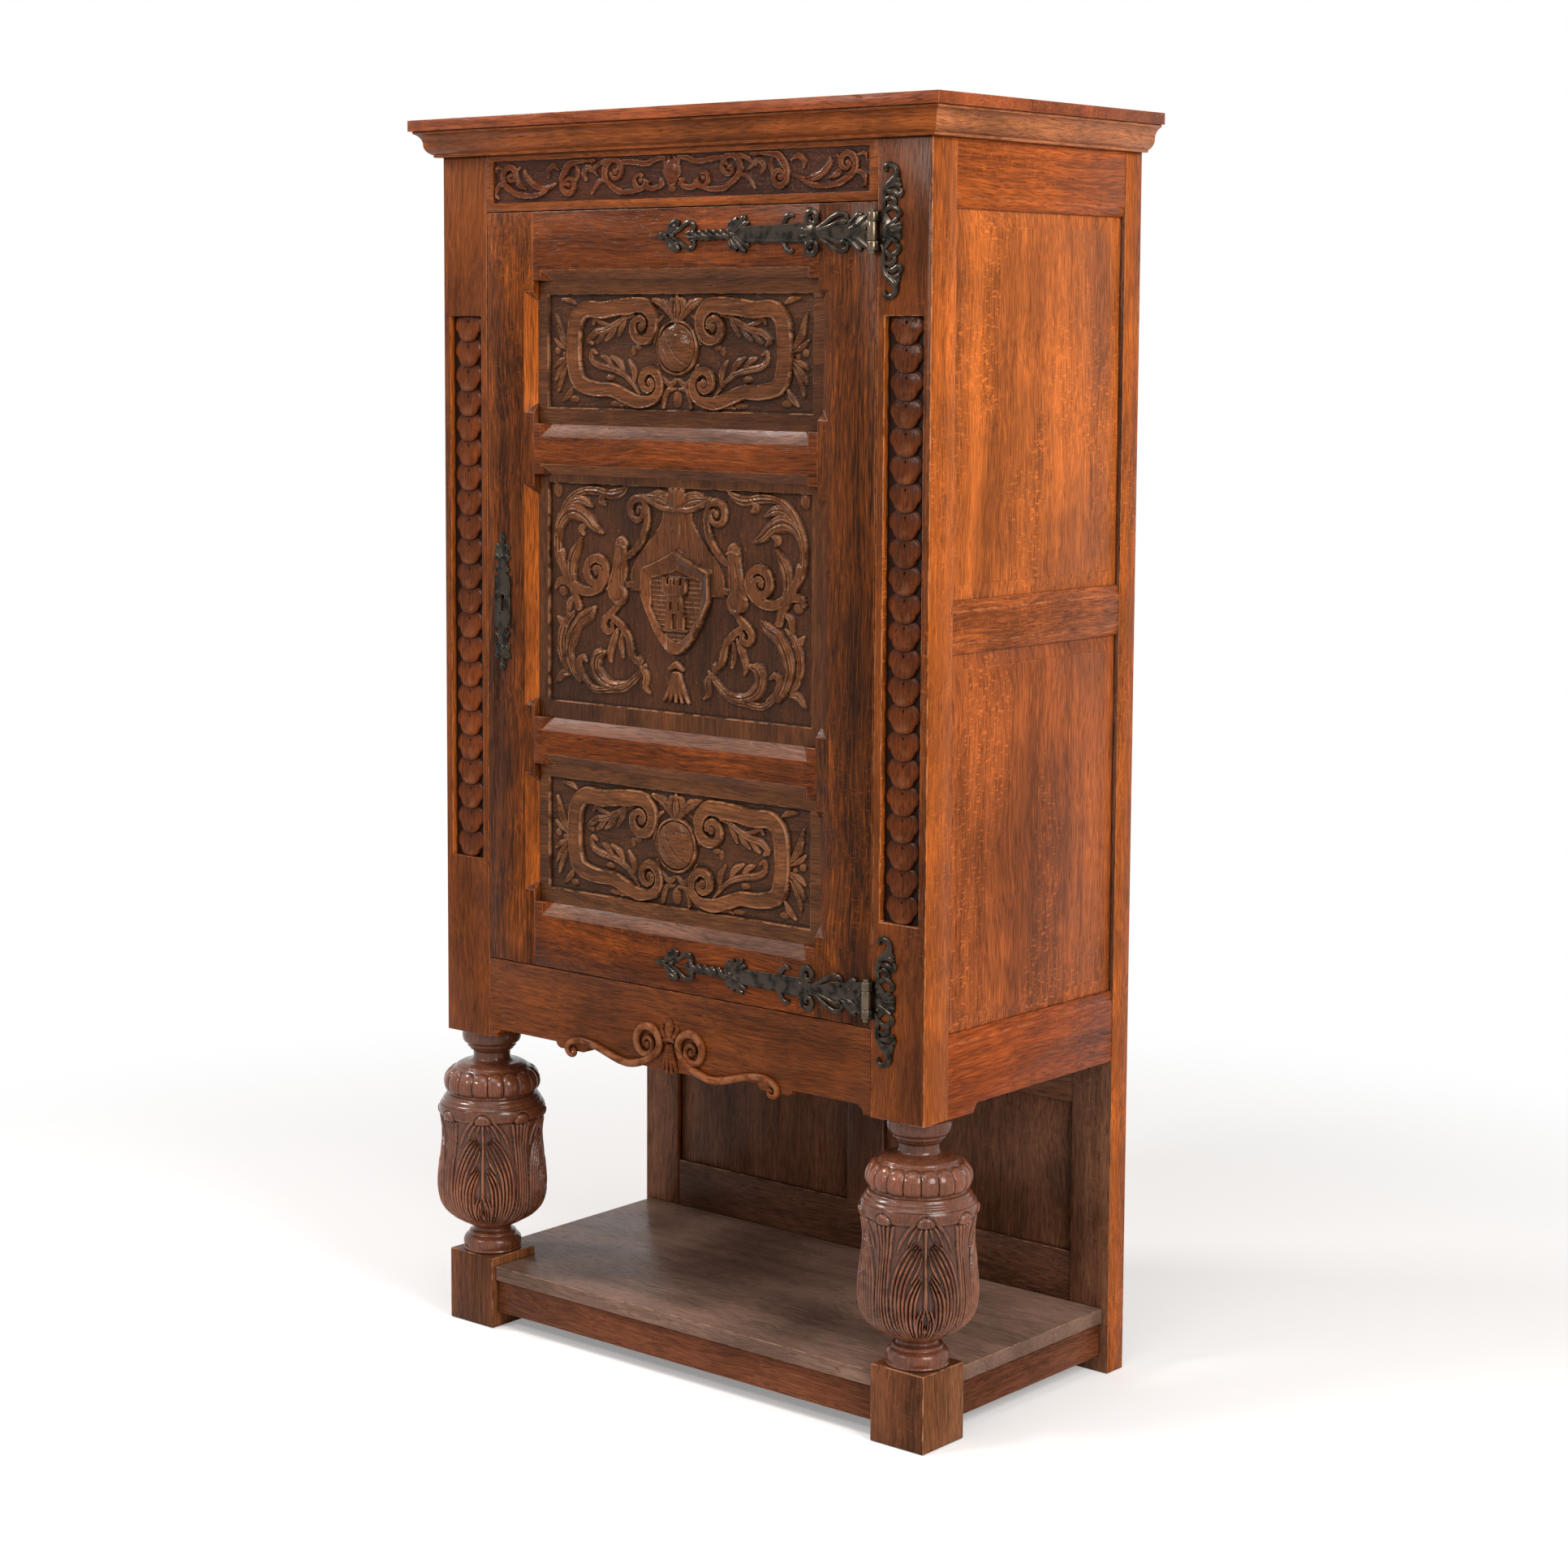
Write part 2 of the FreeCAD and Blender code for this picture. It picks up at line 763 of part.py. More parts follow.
def apron_half(side):
    """Half of the apron's lower edge, from the middle out to the post."""
    edge = size.apron_edge_height
    lobe = edge - size.apron_lobe_drop
    ear = edge - size.apron_ear_drop
    ear_end = size.apron_ear_start + size.apron_ear_width
    slope = size.bracket_cove
    cove = POST_INNER - size.front_bracket_length
    stops = [
        (size.apron_lobe_reach, lobe),
        Via(size.apron_lobe_reach + size.apron_lobe_rise * 0.6, lobe + size.apron_lobe_drop * 0.55),
        (size.apron_lobe_reach + size.apron_lobe_rise, edge),
        (size.apron_ear_start, edge),
        Via(size.apron_ear_start + slope * 0.3, ear + size.apron_ear_drop * 0.3),
        (size.apron_ear_start + slope, ear),
        (ear_end - slope, ear),
        Via(ear_end - slope * 0.3, ear + size.apron_ear_drop * 0.3),
        (ear_end, edge),
        (cove, edge),
        Via(cove + slope * 0.55, edge - size.bracket_drop * 0.25),
        (cove + slope, edge - size.bracket_drop * 0.7),
        (cove + slope, edge - size.bracket_drop),
        (POST_INNER, edge - size.bracket_drop),
    ]
    if side > 0:
        return stops
    flipped = []
    for stop in reversed(stops):
        if isinstance(stop, Via):
            flipped.append(Via(-stop.across, stop.up))
        else:
            flipped.append((-formula(stop[0]), stop[1]))
    return flipped


apron_outline = apron_half(-1) + apron_half(1)
apron_outline += [(POST_INNER, size.sill_height), (-POST_INNER, size.sill_height)]
apron_board = shaped_plank("apron_board", "XZ_Plane", apron_outline, *FRONT_DEPTH)

SCROLL_DEPTH = (FACE - size.scroll_relief, FACE)

half_band = size.scroll_width / 2
inner_turn = size.volute_offset - size.volute_radius
scroll_span = size.scroll_high_offset - size.scroll_low_offset
scroll_mid_offset = size.scroll_low_offset + scroll_span * 0.5
scroll_mid_height = (size.scroll_low_height + size.scroll_high_height) / 2
scroll_band = shaped_plank(
    "scroll_band", "XZ_Plane",
    [
        (inner_turn, size.volute_height),
        Via(size.volute_offset - size.volute_radius * 0.45, size.volute_height - size.volute_radius),
        (size.scroll_low_offset, size.scroll_low_height - half_band),
        Via(scroll_mid_offset - scroll_span * 0.22, scroll_mid_height - size.scroll_width),
        (scroll_mid_offset, scroll_mid_height - half_band),
        Via(scroll_mid_offset + scroll_span * 0.22, scroll_mid_height),
        (size.scroll_high_offset, size.scroll_high_height - half_band),
        (size.curl_offset - size.curl_radius, size.curl_height),
        (size.curl_offset + size.curl_radius, size.curl_height),
        Via(size.curl_offset, size.scroll_high_height),
        (size.scroll_high_offset, size.scroll_high_height + half_band),
        Via(scroll_mid_offset + scroll_span * 0.22, scroll_mid_height + size.scroll_width),
        (scroll_mid_offset, scroll_mid_height + half_band),
        Via(scroll_mid_offset - scroll_span * 0.22, scroll_mid_height),
        (size.scroll_low_offset, size.scroll_low_height + half_band),
        (size.volute_offset, size.volute_height - size.volute_radius * 0.6),
    ],
    *SCROLL_DEPTH)
scroll = fuse(
    "right_scroll", scroll_band,
    lobe("scroll_volute", size.volute_radius, *SCROLL_DEPTH, size.volute_offset, size.volute_height),
    lobe("scroll_curl", size.curl_radius, *SCROLL_DEPTH, size.curl_offset, size.curl_height))
husk_drop = size.husk_height - size.scroll_low_height
husk_foot = shaped_plank(
    "husk_foot", "XZ_Plane",
    [
        (-size.husk_foot_width / 2, size.scroll_low_height - half_band),
        (size.husk_foot_width / 2, size.scroll_low_height - half_band),
        (size.husk_radius * 0.7, size.husk_height - husk_drop * 0.4),
        (size.husk_radius * 0.7, size.husk_height),
        (-size.husk_radius * 0.7, size.husk_height),
        (-size.husk_radius * 0.7, size.husk_height - husk_drop * 0.4),
    ],
    *SCROLL_DEPTH)
husk_lobe = size.husk_radius * 0.7
husk_lobe_height = size.husk_height - husk_lobe
husk = fuse(
    "husk", husk_foot,
    lobe("husk_crest", size.husk_radius, *SCROLL_DEPTH, 0, size.husk_height),
    lobe("husk_right", husk_lobe, *SCROLL_DEPTH, size.husk_radius, husk_lobe_height),
    lobe("husk_left", husk_lobe, *SCROLL_DEPTH, -size.husk_radius, husk_lobe_height))
apron_spans = {"x": FRONT_SPAN, "y": FRONT_DEPTH,
               "z": (size.apron_edge_height, size.sill_height)}
apron = Rail("apron", apron_spans, "x", "y", apron_board)
keep("apron_rail", fuse("apron_rail", apron.solid, scroll, twin("left_scroll", scroll), husk))


# ---------------------------------------------------------------- posts

STRIP_X = (HALF + POST_INNER) / 2
STRIP_HEAD = size.strip_foot + size.strip_height


def strip_pocket(side):
    """The long sunk pocket in the face of a front post."""
    centre = STRIP_X * side
    return plank(
        f"strip_pocket_{'right' if side > 0 else 'left'}",
        (centre - size.strip_pocket_width / 2, centre + size.strip_pocket_width / 2),
        (FACE, FACE + size.strip_pocket_depth),
        (size.strip_foot, STRIP_HEAD))


BOLT_DEPTH = (DOOR_BACK + size.lock_case_proud - size.lock_case_depth + size.lock_case_wall,
              DOOR_BACK + size.lock_case_proud - size.lock_case_wall)
BOLT_RISE = (size.lock_height - size.bolt_height / 2, size.lock_height + size.bolt_height / 2)


def front_post(side):
    """A front post: mortised for the rails, grooved for the panels, bored for the baluster."""
    hand = "right" if side > 0 else "left"
    blank = plank(f"{hand}_post_blank", (POST_INNER * side, HALF * side),
                  (FACE, POST_REAR), (size.post_foot_height, SLAB_FOOT))
    end = "high" if side > 0 else "low"
    side_tools = side_cuts + [upper_groove, lower_groove]
    if side < 0:
        side_tools = [twin(f"{tool.Name}_left", tool) for tool in side_tools]
    socket = prism(f"{hand}_post_socket", TURNED_SIDES, size.dowel_radius + size.joint_clearance,
                 size.dowel_length + size.mortise_extra,
                 (AXIS_X * side, AXIS_Y, size.post_foot_height))
    tools = [strip_pocket(side), frieze.mortises[end], apron.mortises[end], socket] + side_tools
    if side < 0:
        tools += [bolt_mortise, strike_seat]
    return keep(f"{hand}_front_post", cut(f"{hand}_front_post", blank, *tools))


STRIKE_X = (-POST_INNER - size.strike_thickness, -POST_INNER)
bolt_mortise = plank(
    "bolt_mortise",
    (-POST_INNER - size.bolt_throw - size.bolt_mortise_clearance, -POST_INNER),
    (BOLT_DEPTH[0] - size.bolt_mortise_clearance, BOLT_DEPTH[1] + size.bolt_mortise_clearance),
    (BOLT_RISE[0] - size.bolt_mortise_clearance, BOLT_RISE[1] + size.bolt_mortise_clearance))
BOLT_MIDDLE = (BOLT_DEPTH[0] + BOLT_DEPTH[1]) / 2
strike_spans = {
    "x": STRIKE_X,
    "y": (BOLT_MIDDLE - size.strike_width / 2, BOLT_MIDDLE + size.strike_width / 2),
    "z": (size.lock_height - size.strike_height / 2, size.lock_height + size.strike_height / 2),
}
strike_seat = plank("strike_seat", **strike_spans)
keep("strike_plate", cut("strike_plate", plank("strike_blank", **strike_spans), bolt_mortise))

front_post(1)
front_post(-1)

BACK_FRONT = BACK_POST_FRONT + size.back_frame_setback
BACK_DEPTH = (BACK_FRONT, BACK_FRONT + size.back_rail_thickness)
BACK_POST_INNER = HALF - size.back_post_width
BACK_SPAN = (-BACK_POST_INNER, BACK_POST_INNER)


def back_rail(name, foot, head):
    """A rail between the back posts."""
    return Rail(name, {"x": BACK_SPAN, "y": BACK_DEPTH, "z": (foot, head)}, "x", "y")


BACK_MID_HEAD = size.back_mid_rail_foot + size.back_mid_rail_height
BACK_CUPBOARD_HEAD = size.back_cupboard_rail_foot + size.back_cupboard_rail_height
BACK_FOOT_HEAD = size.back_foot_rail_foot + size.back_foot_rail_height
BACK_TOP_FOOT = HEAD - size.back_top_rail_height
back_rails = {
    "back_top_rail": back_rail("back_top", BACK_TOP_FOOT, SLAB_FOOT),
    "back_mid_rail": back_rail("back_mid", size.back_mid_rail_foot, BACK_MID_HEAD),
    "back_cupboard_rail": back_rail("back_cupboard", size.back_cupboard_rail_foot,
                                    BACK_CUPBOARD_HEAD),
    "back_foot_rail": back_rail("back_foot", size.back_foot_rail_foot, BACK_FOOT_HEAD),
}

# Each bay of the back lies between two rails: a muntin in the middle, a panel each side.
BAYS = [
    ("upper", "back_mid_rail", BACK_MID_HEAD, "back_top_rail", BACK_TOP_FOOT),
    ("middle", "back_cupboard_rail", BACK_CUPBOARD_HEAD, "back_mid_rail",
     size.back_mid_rail_foot),
    ("lower", "back_foot_rail", BACK_FOOT_HEAD, "back_cupboard_rail",
     size.back_cupboard_rail_foot),
]
rail_tools = {name: [] for name in back_rails}
post_tools = []
muntins = []
bay_panels = {}
for bay, lower_rail, foot, upper_rail, head in BAYS:
    half_muntin = size.back_muntin_width / 2
    muntin = Rail(f"{bay}_muntin", {"x": (-half_muntin, half_muntin), "y": BACK_DEPTH,
                                    "z": (foot, head)}, "z", "y")
    rail_tools[lower_rail].append(muntin.mortises["low"])
    rail_tools[upper_rail].append(muntin.mortises["high"])
    panel_front = BACK_FRONT + size.back_panel_recess
    panel_depth = (panel_front, panel_front + size.back_panel_thickness)
    tongue_depth = (panel_front, panel_front + size.tongue_thickness)
    tongue, groove = panel_groove(f"{bay}_bay", (half_muntin, BACK_POST_INNER),
                                  tongue_depth, (foot, head), "y")
    core = plank(f"{bay}_bay_core", (half_muntin, BACK_POST_INNER), panel_depth, (foot, head))
    right_panel = fuse(f"{bay}_bay_panel", core, tongue)
    left_groove = twin(f"{bay}_bay_groove_left", groove)
    for name in (lower_rail, upper_rail):
        rail_tools[name] += [groove, left_groove]
    post_tools.append(groove)
    muntins.append(cut(f"{bay}_back_muntin", muntin.solid, groove, left_groove))
    bay_panels[bay] = [right_panel, twin(f"{bay}_bay_panel_left", right_panel)]

for name, rail in back_rails.items():
    keep(name, cut(name, rail.solid, *rail_tools[name]))
keep("back_muntins", group("back_muntins", *muntins))
keep("upper_back_panels", group("upper_back_panels", *bay_panels["upper"], *bay_panels["middle"]))
keep("lower_back_panels", group("lower_back_panels", *bay_panels["lower"]))

# ---------------------------------------------------------------- platform and feet

PLATFORM_SIDE = HALF - size.platform_side_inset
PLATFORM_FRONT = FACE + size.platform_front_inset
PLATFORM_FOOT = size.platform_height - size.platform_thickness
RAIL_RISE = (PLATFORM_FOOT - size.platform_rail_height, PLATFORM_FOOT)

platform_rails = {
    "platform_front_rail": Rail("platform_front", {
        "x": (-BLOCK_IN, BLOCK_IN),
        "y": (PLATFORM_FRONT + size.platform_rail_recess,
              PLATFORM_FRONT + size.platform_rail_recess + size.platform_rail_thickness),
        "z": RAIL_RISE}, "x", "y"),
    "right_platform_rail": Rail("platform_side", {
        "x": (PLATFORM_SIDE - size.platform_rail_recess - size.platform_rail_thickness,
              PLATFORM_SIDE - size.platform_rail_recess),
        "y": (BLOCK_REAR, BACK_POST_FRONT),
        "z": RAIL_RISE}, "y", "x"),
}
keep("platform_front_rail", platform_rails["platform_front_rail"].solid)
keep("right_platform_rail", platform_rails["right_platform_rail"].solid)
keep("left_platform_rail", twin("left_platform_rail", platform_rails["right_platform_rail"].solid))

block_cut = plank("block_cut", (BLOCK_IN, BLOCK_OUT), (BLOCK_FRONT, BLOCK_REAR),
                  (PLATFORM_FOOT, size.platform_height))
platform_blank = plank("platform_blank", (-PLATFORM_SIDE, PLATFORM_SIDE),
                       (PLATFORM_FRONT, BACK_POST_FRONT), (PLATFORM_FOOT, size.platform_height))
keep("platform_board", cut("platform_board", platform_blank, block_cut,
                           twin("block_cut_left", block_cut)))

block_blank = plank("block_blank", (BLOCK_IN, BLOCK_OUT), (BLOCK_FRONT, BLOCK_REAR),
                    (0, size.foot_block_height))
block_socket = prism("block_socket", TURNED_SIDES, size.dowel_radius + size.joint_clearance,
                   size.dowel_length + size.mortise_extra,
                   (AXIS_X, AXIS_Y,
                    size.foot_block_height - size.dowel_length - size.mortise_extra))
right_block = cut("right_foot_block", block_blank, block_socket,
                  platform_rails["platform_front_rail"].mortises["high"],
                  platform_rails["right_platform_rail"].mortises["low"])
keep("right_foot_block", right_block)
keep("left_foot_block", twin("left_foot_block", right_block))

back_blank = plank("back_post_blank", (BACK_POST_INNER, HALF), (BACK_POST_FRONT, BACK),
                   (0, SLAB_FOOT))
back_tools = [rail.mortises["high"] for rail in back_rails.values()]
back_tools += rear_cuts + post_tools + [upper_groove, lower_groove]
back_tools.append(platform_rails["right_platform_rail"].mortises["high"])
keep("right_back_post", cut("right_back_post", back_blank, *back_tools))
keep("left_back_post", twin("left_back_post", nodes["right_back_post"]))


# ---------------------------------------------------------------- balusters

BALUSTER_FOOT = size.foot_block_height
BALUSTER_HEIGHT = size.post_foot_height - size.foot_block_height

CUP_LEAVES = 8
COVER_GADROONS = 18


def turned(radius):
    """The marks of a ring off the lathe."""
    return [(0, radius)]


def plain(radius, shares):
    """The marks of a ring left round beside a carved band, one to each mark of the carving."""
    return [(share, radius) for share in shares]


def leaves(radius, relief):
    """The marks of one leaf: a hollow between leaves, two flanks and the midrib."""
    return [(-0.5, radius - relief), (-0.3, radius), (0, radius - relief * 0.3), (0.3, radius)]


def gadroon(radius):
    """The marks of one gadroon: a narrow hollow and a broad round crest."""
    return [(-0.5, radius - size.gadroon_cut), (-0.3, radius), (0.3, radius)]


LEAF_SHARES = (-0.5, -0.3, 0, 0.3)
GADROON_SHARES = (-0.5, -0.3, 0.3)
baluster_at = (AXIS_X, AXIS_Y, BALUSTER_FOOT)
neck, belly, rim = size.lower_neck_radius, size.cup_belly_radius, size.cup_rim_radius
cup_foot, cup_belly, cup_waist = size.cup_foot_height, size.cup_belly_height, size.cup_waist_height
cup_rim, cover_foot = size.cup_rim_height, size.cover_foot_height
tip_ring = [(-0.5, rim - size.leaf_relief), (-0.2, rim), (0, rim + size.leaf_tip_reach), (0.2, rim)]

foot_ring = faceted_round(
    "foot_ring", TURNED_SIDES,
    [
        (-size.dowel_length, turned(size.dowel_radius)),
        (0, turned(size.dowel_radius)),
        (0, turned(size.foot_ring_radius * 0.92)),
        (size.foot_ring_height * 0.5, turned(size.foot_ring_radius)),
        (size.foot_ring_height, turned(size.foot_ring_radius * 0.9)),
        (between(size.foot_ring_height, cup_foot, 0.75), turned(neck)),
        (cup_foot, turned(neck * 1.08)),
    ],
    baluster_at)
cup = faceted_round(
    "cup", CUP_LEAVES,
    [
        (cup_foot, plain(neck * 1.08, LEAF_SHARES)),
        (between(cup_foot, cup_belly, 0.15), plain(between(neck, belly, 0.42), LEAF_SHARES)),
        (between(cup_foot, cup_belly, 0.34), leaves(between(neck, belly, 0.75), size.leaf_relief * 0.5)),
        (between(cup_foot, cup_belly, 0.6), leaves(between(neck, belly, 0.935), size.leaf_relief)),
        (cup_belly, leaves(belly, size.leaf_relief)),
        (cup_waist, leaves(size.cup_waist_radius, size.leaf_relief)),
        (size.leaf_tip_height, tip_ring),
        (cup_rim, plain(rim, LEAF_SHARES)),
        (between(cup_rim, cover_foot, 0.35), plain(between(rim, size.cover_foot_radius, 0.4), LEAF_SHARES)),
        (cover_foot, plain(size.cover_foot_radius, LEAF_SHARES)),
    ],
    baluster_at)
cover_belly, cover_top = size.cover_belly_height, size.cover_top_height
swell = size.cover_belly_radius
cover = faceted_round(
    "cover", COVER_GADROONS,
    [
        (cover_foot, plain(size.cover_foot_radius, GADROON_SHARES)),
        (between(cover_foot, cover_belly, 0.3), gadroon(between(size.cover_foot_radius, swell, 0.65))),
        (cover_belly, gadroon(swell)),
        (between(cover_belly, cover_top, 0.75), gadroon(between(swell, size.cover_top_radius, 0.4))),
        (cover_top, plain(size.cover_top_radius, GADROON_SHARES)),
    ],
    baluster_at)
collar_height = BALUSTER_HEIGHT - size.collar_foot_height
shoulder = between(size.upper_neck_radius, size.cover_top_radius, 0.3)
collar = faceted_round(
    "collar", TURNED_SIDES,
    [
        (cover_top, turned(size.cover_top_radius)),
        (between(cover_top, size.upper_neck_height, 0.5), turned(shoulder)),
        (size.upper_neck_height, turned(size.upper_neck_radius)),
        (size.collar_foot_height, turned(size.upper_neck_radius)),
        (size.collar_foot_height + collar_height * 0.25, turned(size.collar_foot_radius)),
        (size.collar_foot_height + collar_height * 0.55, turned(size.collar_radius)),
        (size.collar_foot_height + collar_height * 0.85, turned(size.collar_radius)),
        (BALUSTER_HEIGHT, turned(size.collar_radius * 0.93)),
        (BALUSTER_HEIGHT, turned(size.dowel_radius)),
        (BALUSTER_HEIGHT + size.dowel_length, turned(size.dowel_radius)),
    ],
    baluster_at)
right_baluster = fuse("right_baluster", foot_ring, cup, cover, collar)
keep("right_baluster", right_baluster)
keep("left_baluster", twin("left_baluster", right_baluster))


# ---------------------------------------------------------------- cornice

BOARD_OUT = HALF + size.cornice_reach
keep("top_board", plank("top_board", (-BOARD_OUT, BOARD_OUT),
                        (FACE - size.cornice_reach, BACK), (SLAB_FOOT, size.overall_height)))


def cornice_section(outward):
    """The cornice moulding's section; outward gives the across value at a reach."""
    shoulder = size.cornice_reach - size.cornice_step
    drop = SLAB_FOOT - size.cornice_fillet
    middle_reach = (shoulder + size.cornice_foot_reach) / 2
    middle_rise = (drop + HEAD + size.cornice_fillet) / 2
    foot_rise = HEAD + size.cornice_fillet
    return [
        (outward(0), SLAB_FOOT),
        (outward(0), HEAD),
        (outward(size.cornice_foot_reach), HEAD),
        (outward(size.cornice_foot_reach), foot_rise),
        Via(outward(middle_reach - 2), (foot_rise + middle_rise) / 2),
        (outward(middle_reach), middle_rise),
        Via(outward(middle_reach + 2), (drop + middle_rise) / 2),
        (outward(shoulder), drop),
        (outward(shoulder), SLAB_FOOT),
    ]


front_run = shaped_plank("front_cornice_run", "YZ_Plane",
                         cornice_section(lambda reach: FACE - reach), -BOARD_OUT, BOARD_OUT)
side_run_body = doc.addObject("PartDesign::Body", "side_cornice_run")
side_run_sketch = draw(side_run_body, "XZ_Plane", cornice_section(lambda reach: HALF + reach))
side_run = side_run_body.newObject("PartDesign::Pad", "side_cornice_pad")
side_run.Profile = side_run_sketch
bind(side_run, {"Length": size.body_depth + size.cornice_reach})
bind(side_run_body, {"Placement.Base.y": BACK})

# Two upright wedges meet on the mitre plane at the front right corner.
reach = size.cornice_reach + size.cornice_step
mitre_side = shaped_plank(
    "mitre_side", "XY_Plane",
    [(HALF, FACE), (HALF + reach, FACE - reach), (HALF + reach, FACE)], HEAD, SLAB_FOOT)
mitre_front = shaped_plank(
    "mitre_front", "XY_Plane",
    [(HALF, FACE), (HALF, FACE - reach), (HALF + reach, FACE - reach)], HEAD, SLAB_FOOT)
keep("front_cornice", cut("front_cornice", front_run, mitre_side,
                          twin("mitre_side_left", mitre_side)))
keep("right_cornice", cut("right_cornice", side_run_body, mitre_front))
keep("left_cornice", twin("left_cornice", nodes["right_cornice"]))


# ---------------------------------------------------------------- boards inside the cupboard

SHELF_SIDE = SIDE_INNER - size.board_clearance
SHELF_FRONT = POST_REAR + size.board_clearance
SHELF_REAR = BACK_POST_FRONT - size.board_clearance
cleats = []


def shelf(name, head):
    """A loose shelf on a pair of cleats."""
    foot = head - size.board_thickness
    board = plank(name, (-SHELF_SIDE, SHELF_SIDE), (SHELF_FRONT, SHELF_REAR), (foot, head))
    cleat = plank(f"{name}_cleat", (SIDE_INNER - size.cleat_thickness, SIDE_INNER),
                  (POST_REAR, BACK_POST_FRONT), (foot - size.cleat_height, foot))
    cleats.extend([cleat, twin(f"{name}_cleat_left", cleat)])
    return board


keep("lower_shelf", shelf("lower_shelf", size.lower_shelf_height))
keep("upper_shelf", shelf("upper_shelf", size.upper_shelf_height))
floor_middle = shelf("floor_middle", size.floor_height)
floor_tongue = plank("floor_front", (-POST_INNER + size.board_clearance,
                                     POST_INNER - size.board_clearance),
                     (DOOR_BACK + size.door_stop_gap, SHELF_FRONT),
                     (size.floor_height - size.board_thickness, size.floor_height))
keep("cupboard_floor", fuse("cupboard_floor", floor_middle, floor_tongue))
keep("shelf_cleats", group("shelf_cleats", *cleats))


# ---------------------------------------------------------------- door

DOOR_DEPTH = (FACE, DOOR_BACK)
TOP_OPEN = (DOOR_HEAD - size.door_top_rail_height - size.end_panel_height,
            DOOR_HEAD - size.door_top_rail_height)
BOTTOM_OPEN = (DOOR_FOOT + size.door_bottom_rail_height,
               DOOR_FOOT + size.door_bottom_rail_height + size.end_panel_height)
MIDDLE_OPEN = (BOTTOM_OPEN[1] + size.door_lower_rail_height,
               TOP_OPEN[0] - size.door_upper_rail_height)
OPEN_SPAN = (OPEN_LEFT, OPEN_RIGHT)

door_rails = {
    "door_top_rail": (TOP_OPEN[1], DOOR_HEAD),
    "door_upper_rail": (MIDDLE_OPEN[1], TOP_OPEN[0]),
    "door_lower_rail": (BOTTOM_OPEN[1], MIDDLE_OPEN[0]),
    "door_bottom_rail": (DOOR_FOOT, BOTTOM_OPEN[0]),
}
door_rails = {name: Rail(name, {"x": OPEN_SPAN, "y": DOOR_DEPTH, "z": rise}, "x", "y")
              for name, rise in door_rails.items()}
door_openings = {
    "top": (TOP_OPEN, "door_upper_rail", "door_top_rail"),
    "middle": (MIDDLE_OPEN, "door_lower_rail", "door_upper_rail"),
    "bottom": (BOTTOM_OPEN, "door_bottom_rail", "door_lower_rail"),
}


def chamfer(name, across, up, near_grow, stops_along):
    """A stopped chamfer's cutter: wide at the face, running out at the panel."""
    stop = size.chamfer_stop
    run = size.chamfer_stop_run
    (west, east), (foot, head) = across, up
    if stops_along == "x":
        near = ((west + stop, east - stop), (foot - near_grow[0], head + near_grow[1]))
        far = ((west + stop + run, east - stop - run), (foot, head))
    else:
        near = ((west - near_grow[0], east + near_grow[1]), (foot + stop, head - stop))
        far = ((west, east), (foot + stop + run, head - stop - run))
    return frustum(name, "y", (0, FACE, 0), near, far, size.panel_recess)


def field_foot(rise):
    return rise[0] + size.panel_border_foot


def field_head(rise):
    return rise[1] - size.panel_border_head


stile_tools = {"lock": [], "hinge": []}
rail_cuts = {name: [] for name in door_rails}
panels = {}
for opening, (rise, lower_rail, upper_rail) in door_openings.items():
    panel_depth = (FACE + size.panel_recess, FACE + size.panel_recess + size.door_panel_thickness)
    tongue, groove = panel_groove(f"{opening}_panel", OPEN_SPAN, panel_depth, rise, "y")
    none = formula(0)
    west_edge = (OPEN_LEFT, OPEN_LEFT + size.chamfer_overrun)
    east_edge = (OPEN_RIGHT - size.chamfer_overrun, OPEN_RIGHT)
    foot_edge = (rise[0], rise[0] + size.chamfer_overrun)
    head_edge = (rise[1] - size.chamfer_overrun, rise[1])
    stile_tools["lock"] += [groove, chamfer(f"{opening}_west_chamfer", west_edge, rise,
                                            (size.chamfer_width, none), "z")]
    stile_tools["hinge"] += [groove, chamfer(f"{opening}_east_chamfer", east_edge, rise,
                                             (none, size.chamfer_width), "z")]
    rail_cuts[lower_rail] += [groove, chamfer(f"{opening}_foot_chamfer", OPEN_SPAN, foot_edge,
                                              (size.chamfer_width, none), "x")]
    rail_cuts[upper_rail] += [groove, chamfer(f"{opening}_head_chamfer", OPEN_SPAN, head_edge,
                                              (none, size.under_chamfer_width), "x")]
    field_across = (OPEN_LEFT + size.panel_border_side, OPEN_RIGHT - size.panel_border_side)
    field_up = (field_foot(rise), field_head(rise))
    slope = size.panel_field_slope
    sunk = frustum(
        f"{opening}_field", "y", (0, FACE + size.panel_recess, 0),
        (field_across, field_up),
        ((field_across[0] + slope, field_across[1] - slope),
         (field_up[0] + slope, field_up[1] - slope)),
        size.panel_field_sink)
    panels[opening] = cut(f"{opening}_panel_sunk", tongue, sunk)

MIDDLE_X = (OPEN_LEFT + OPEN_RIGHT) / 2
GROUND = FACE + size.panel_recess + size.panel_field_sink


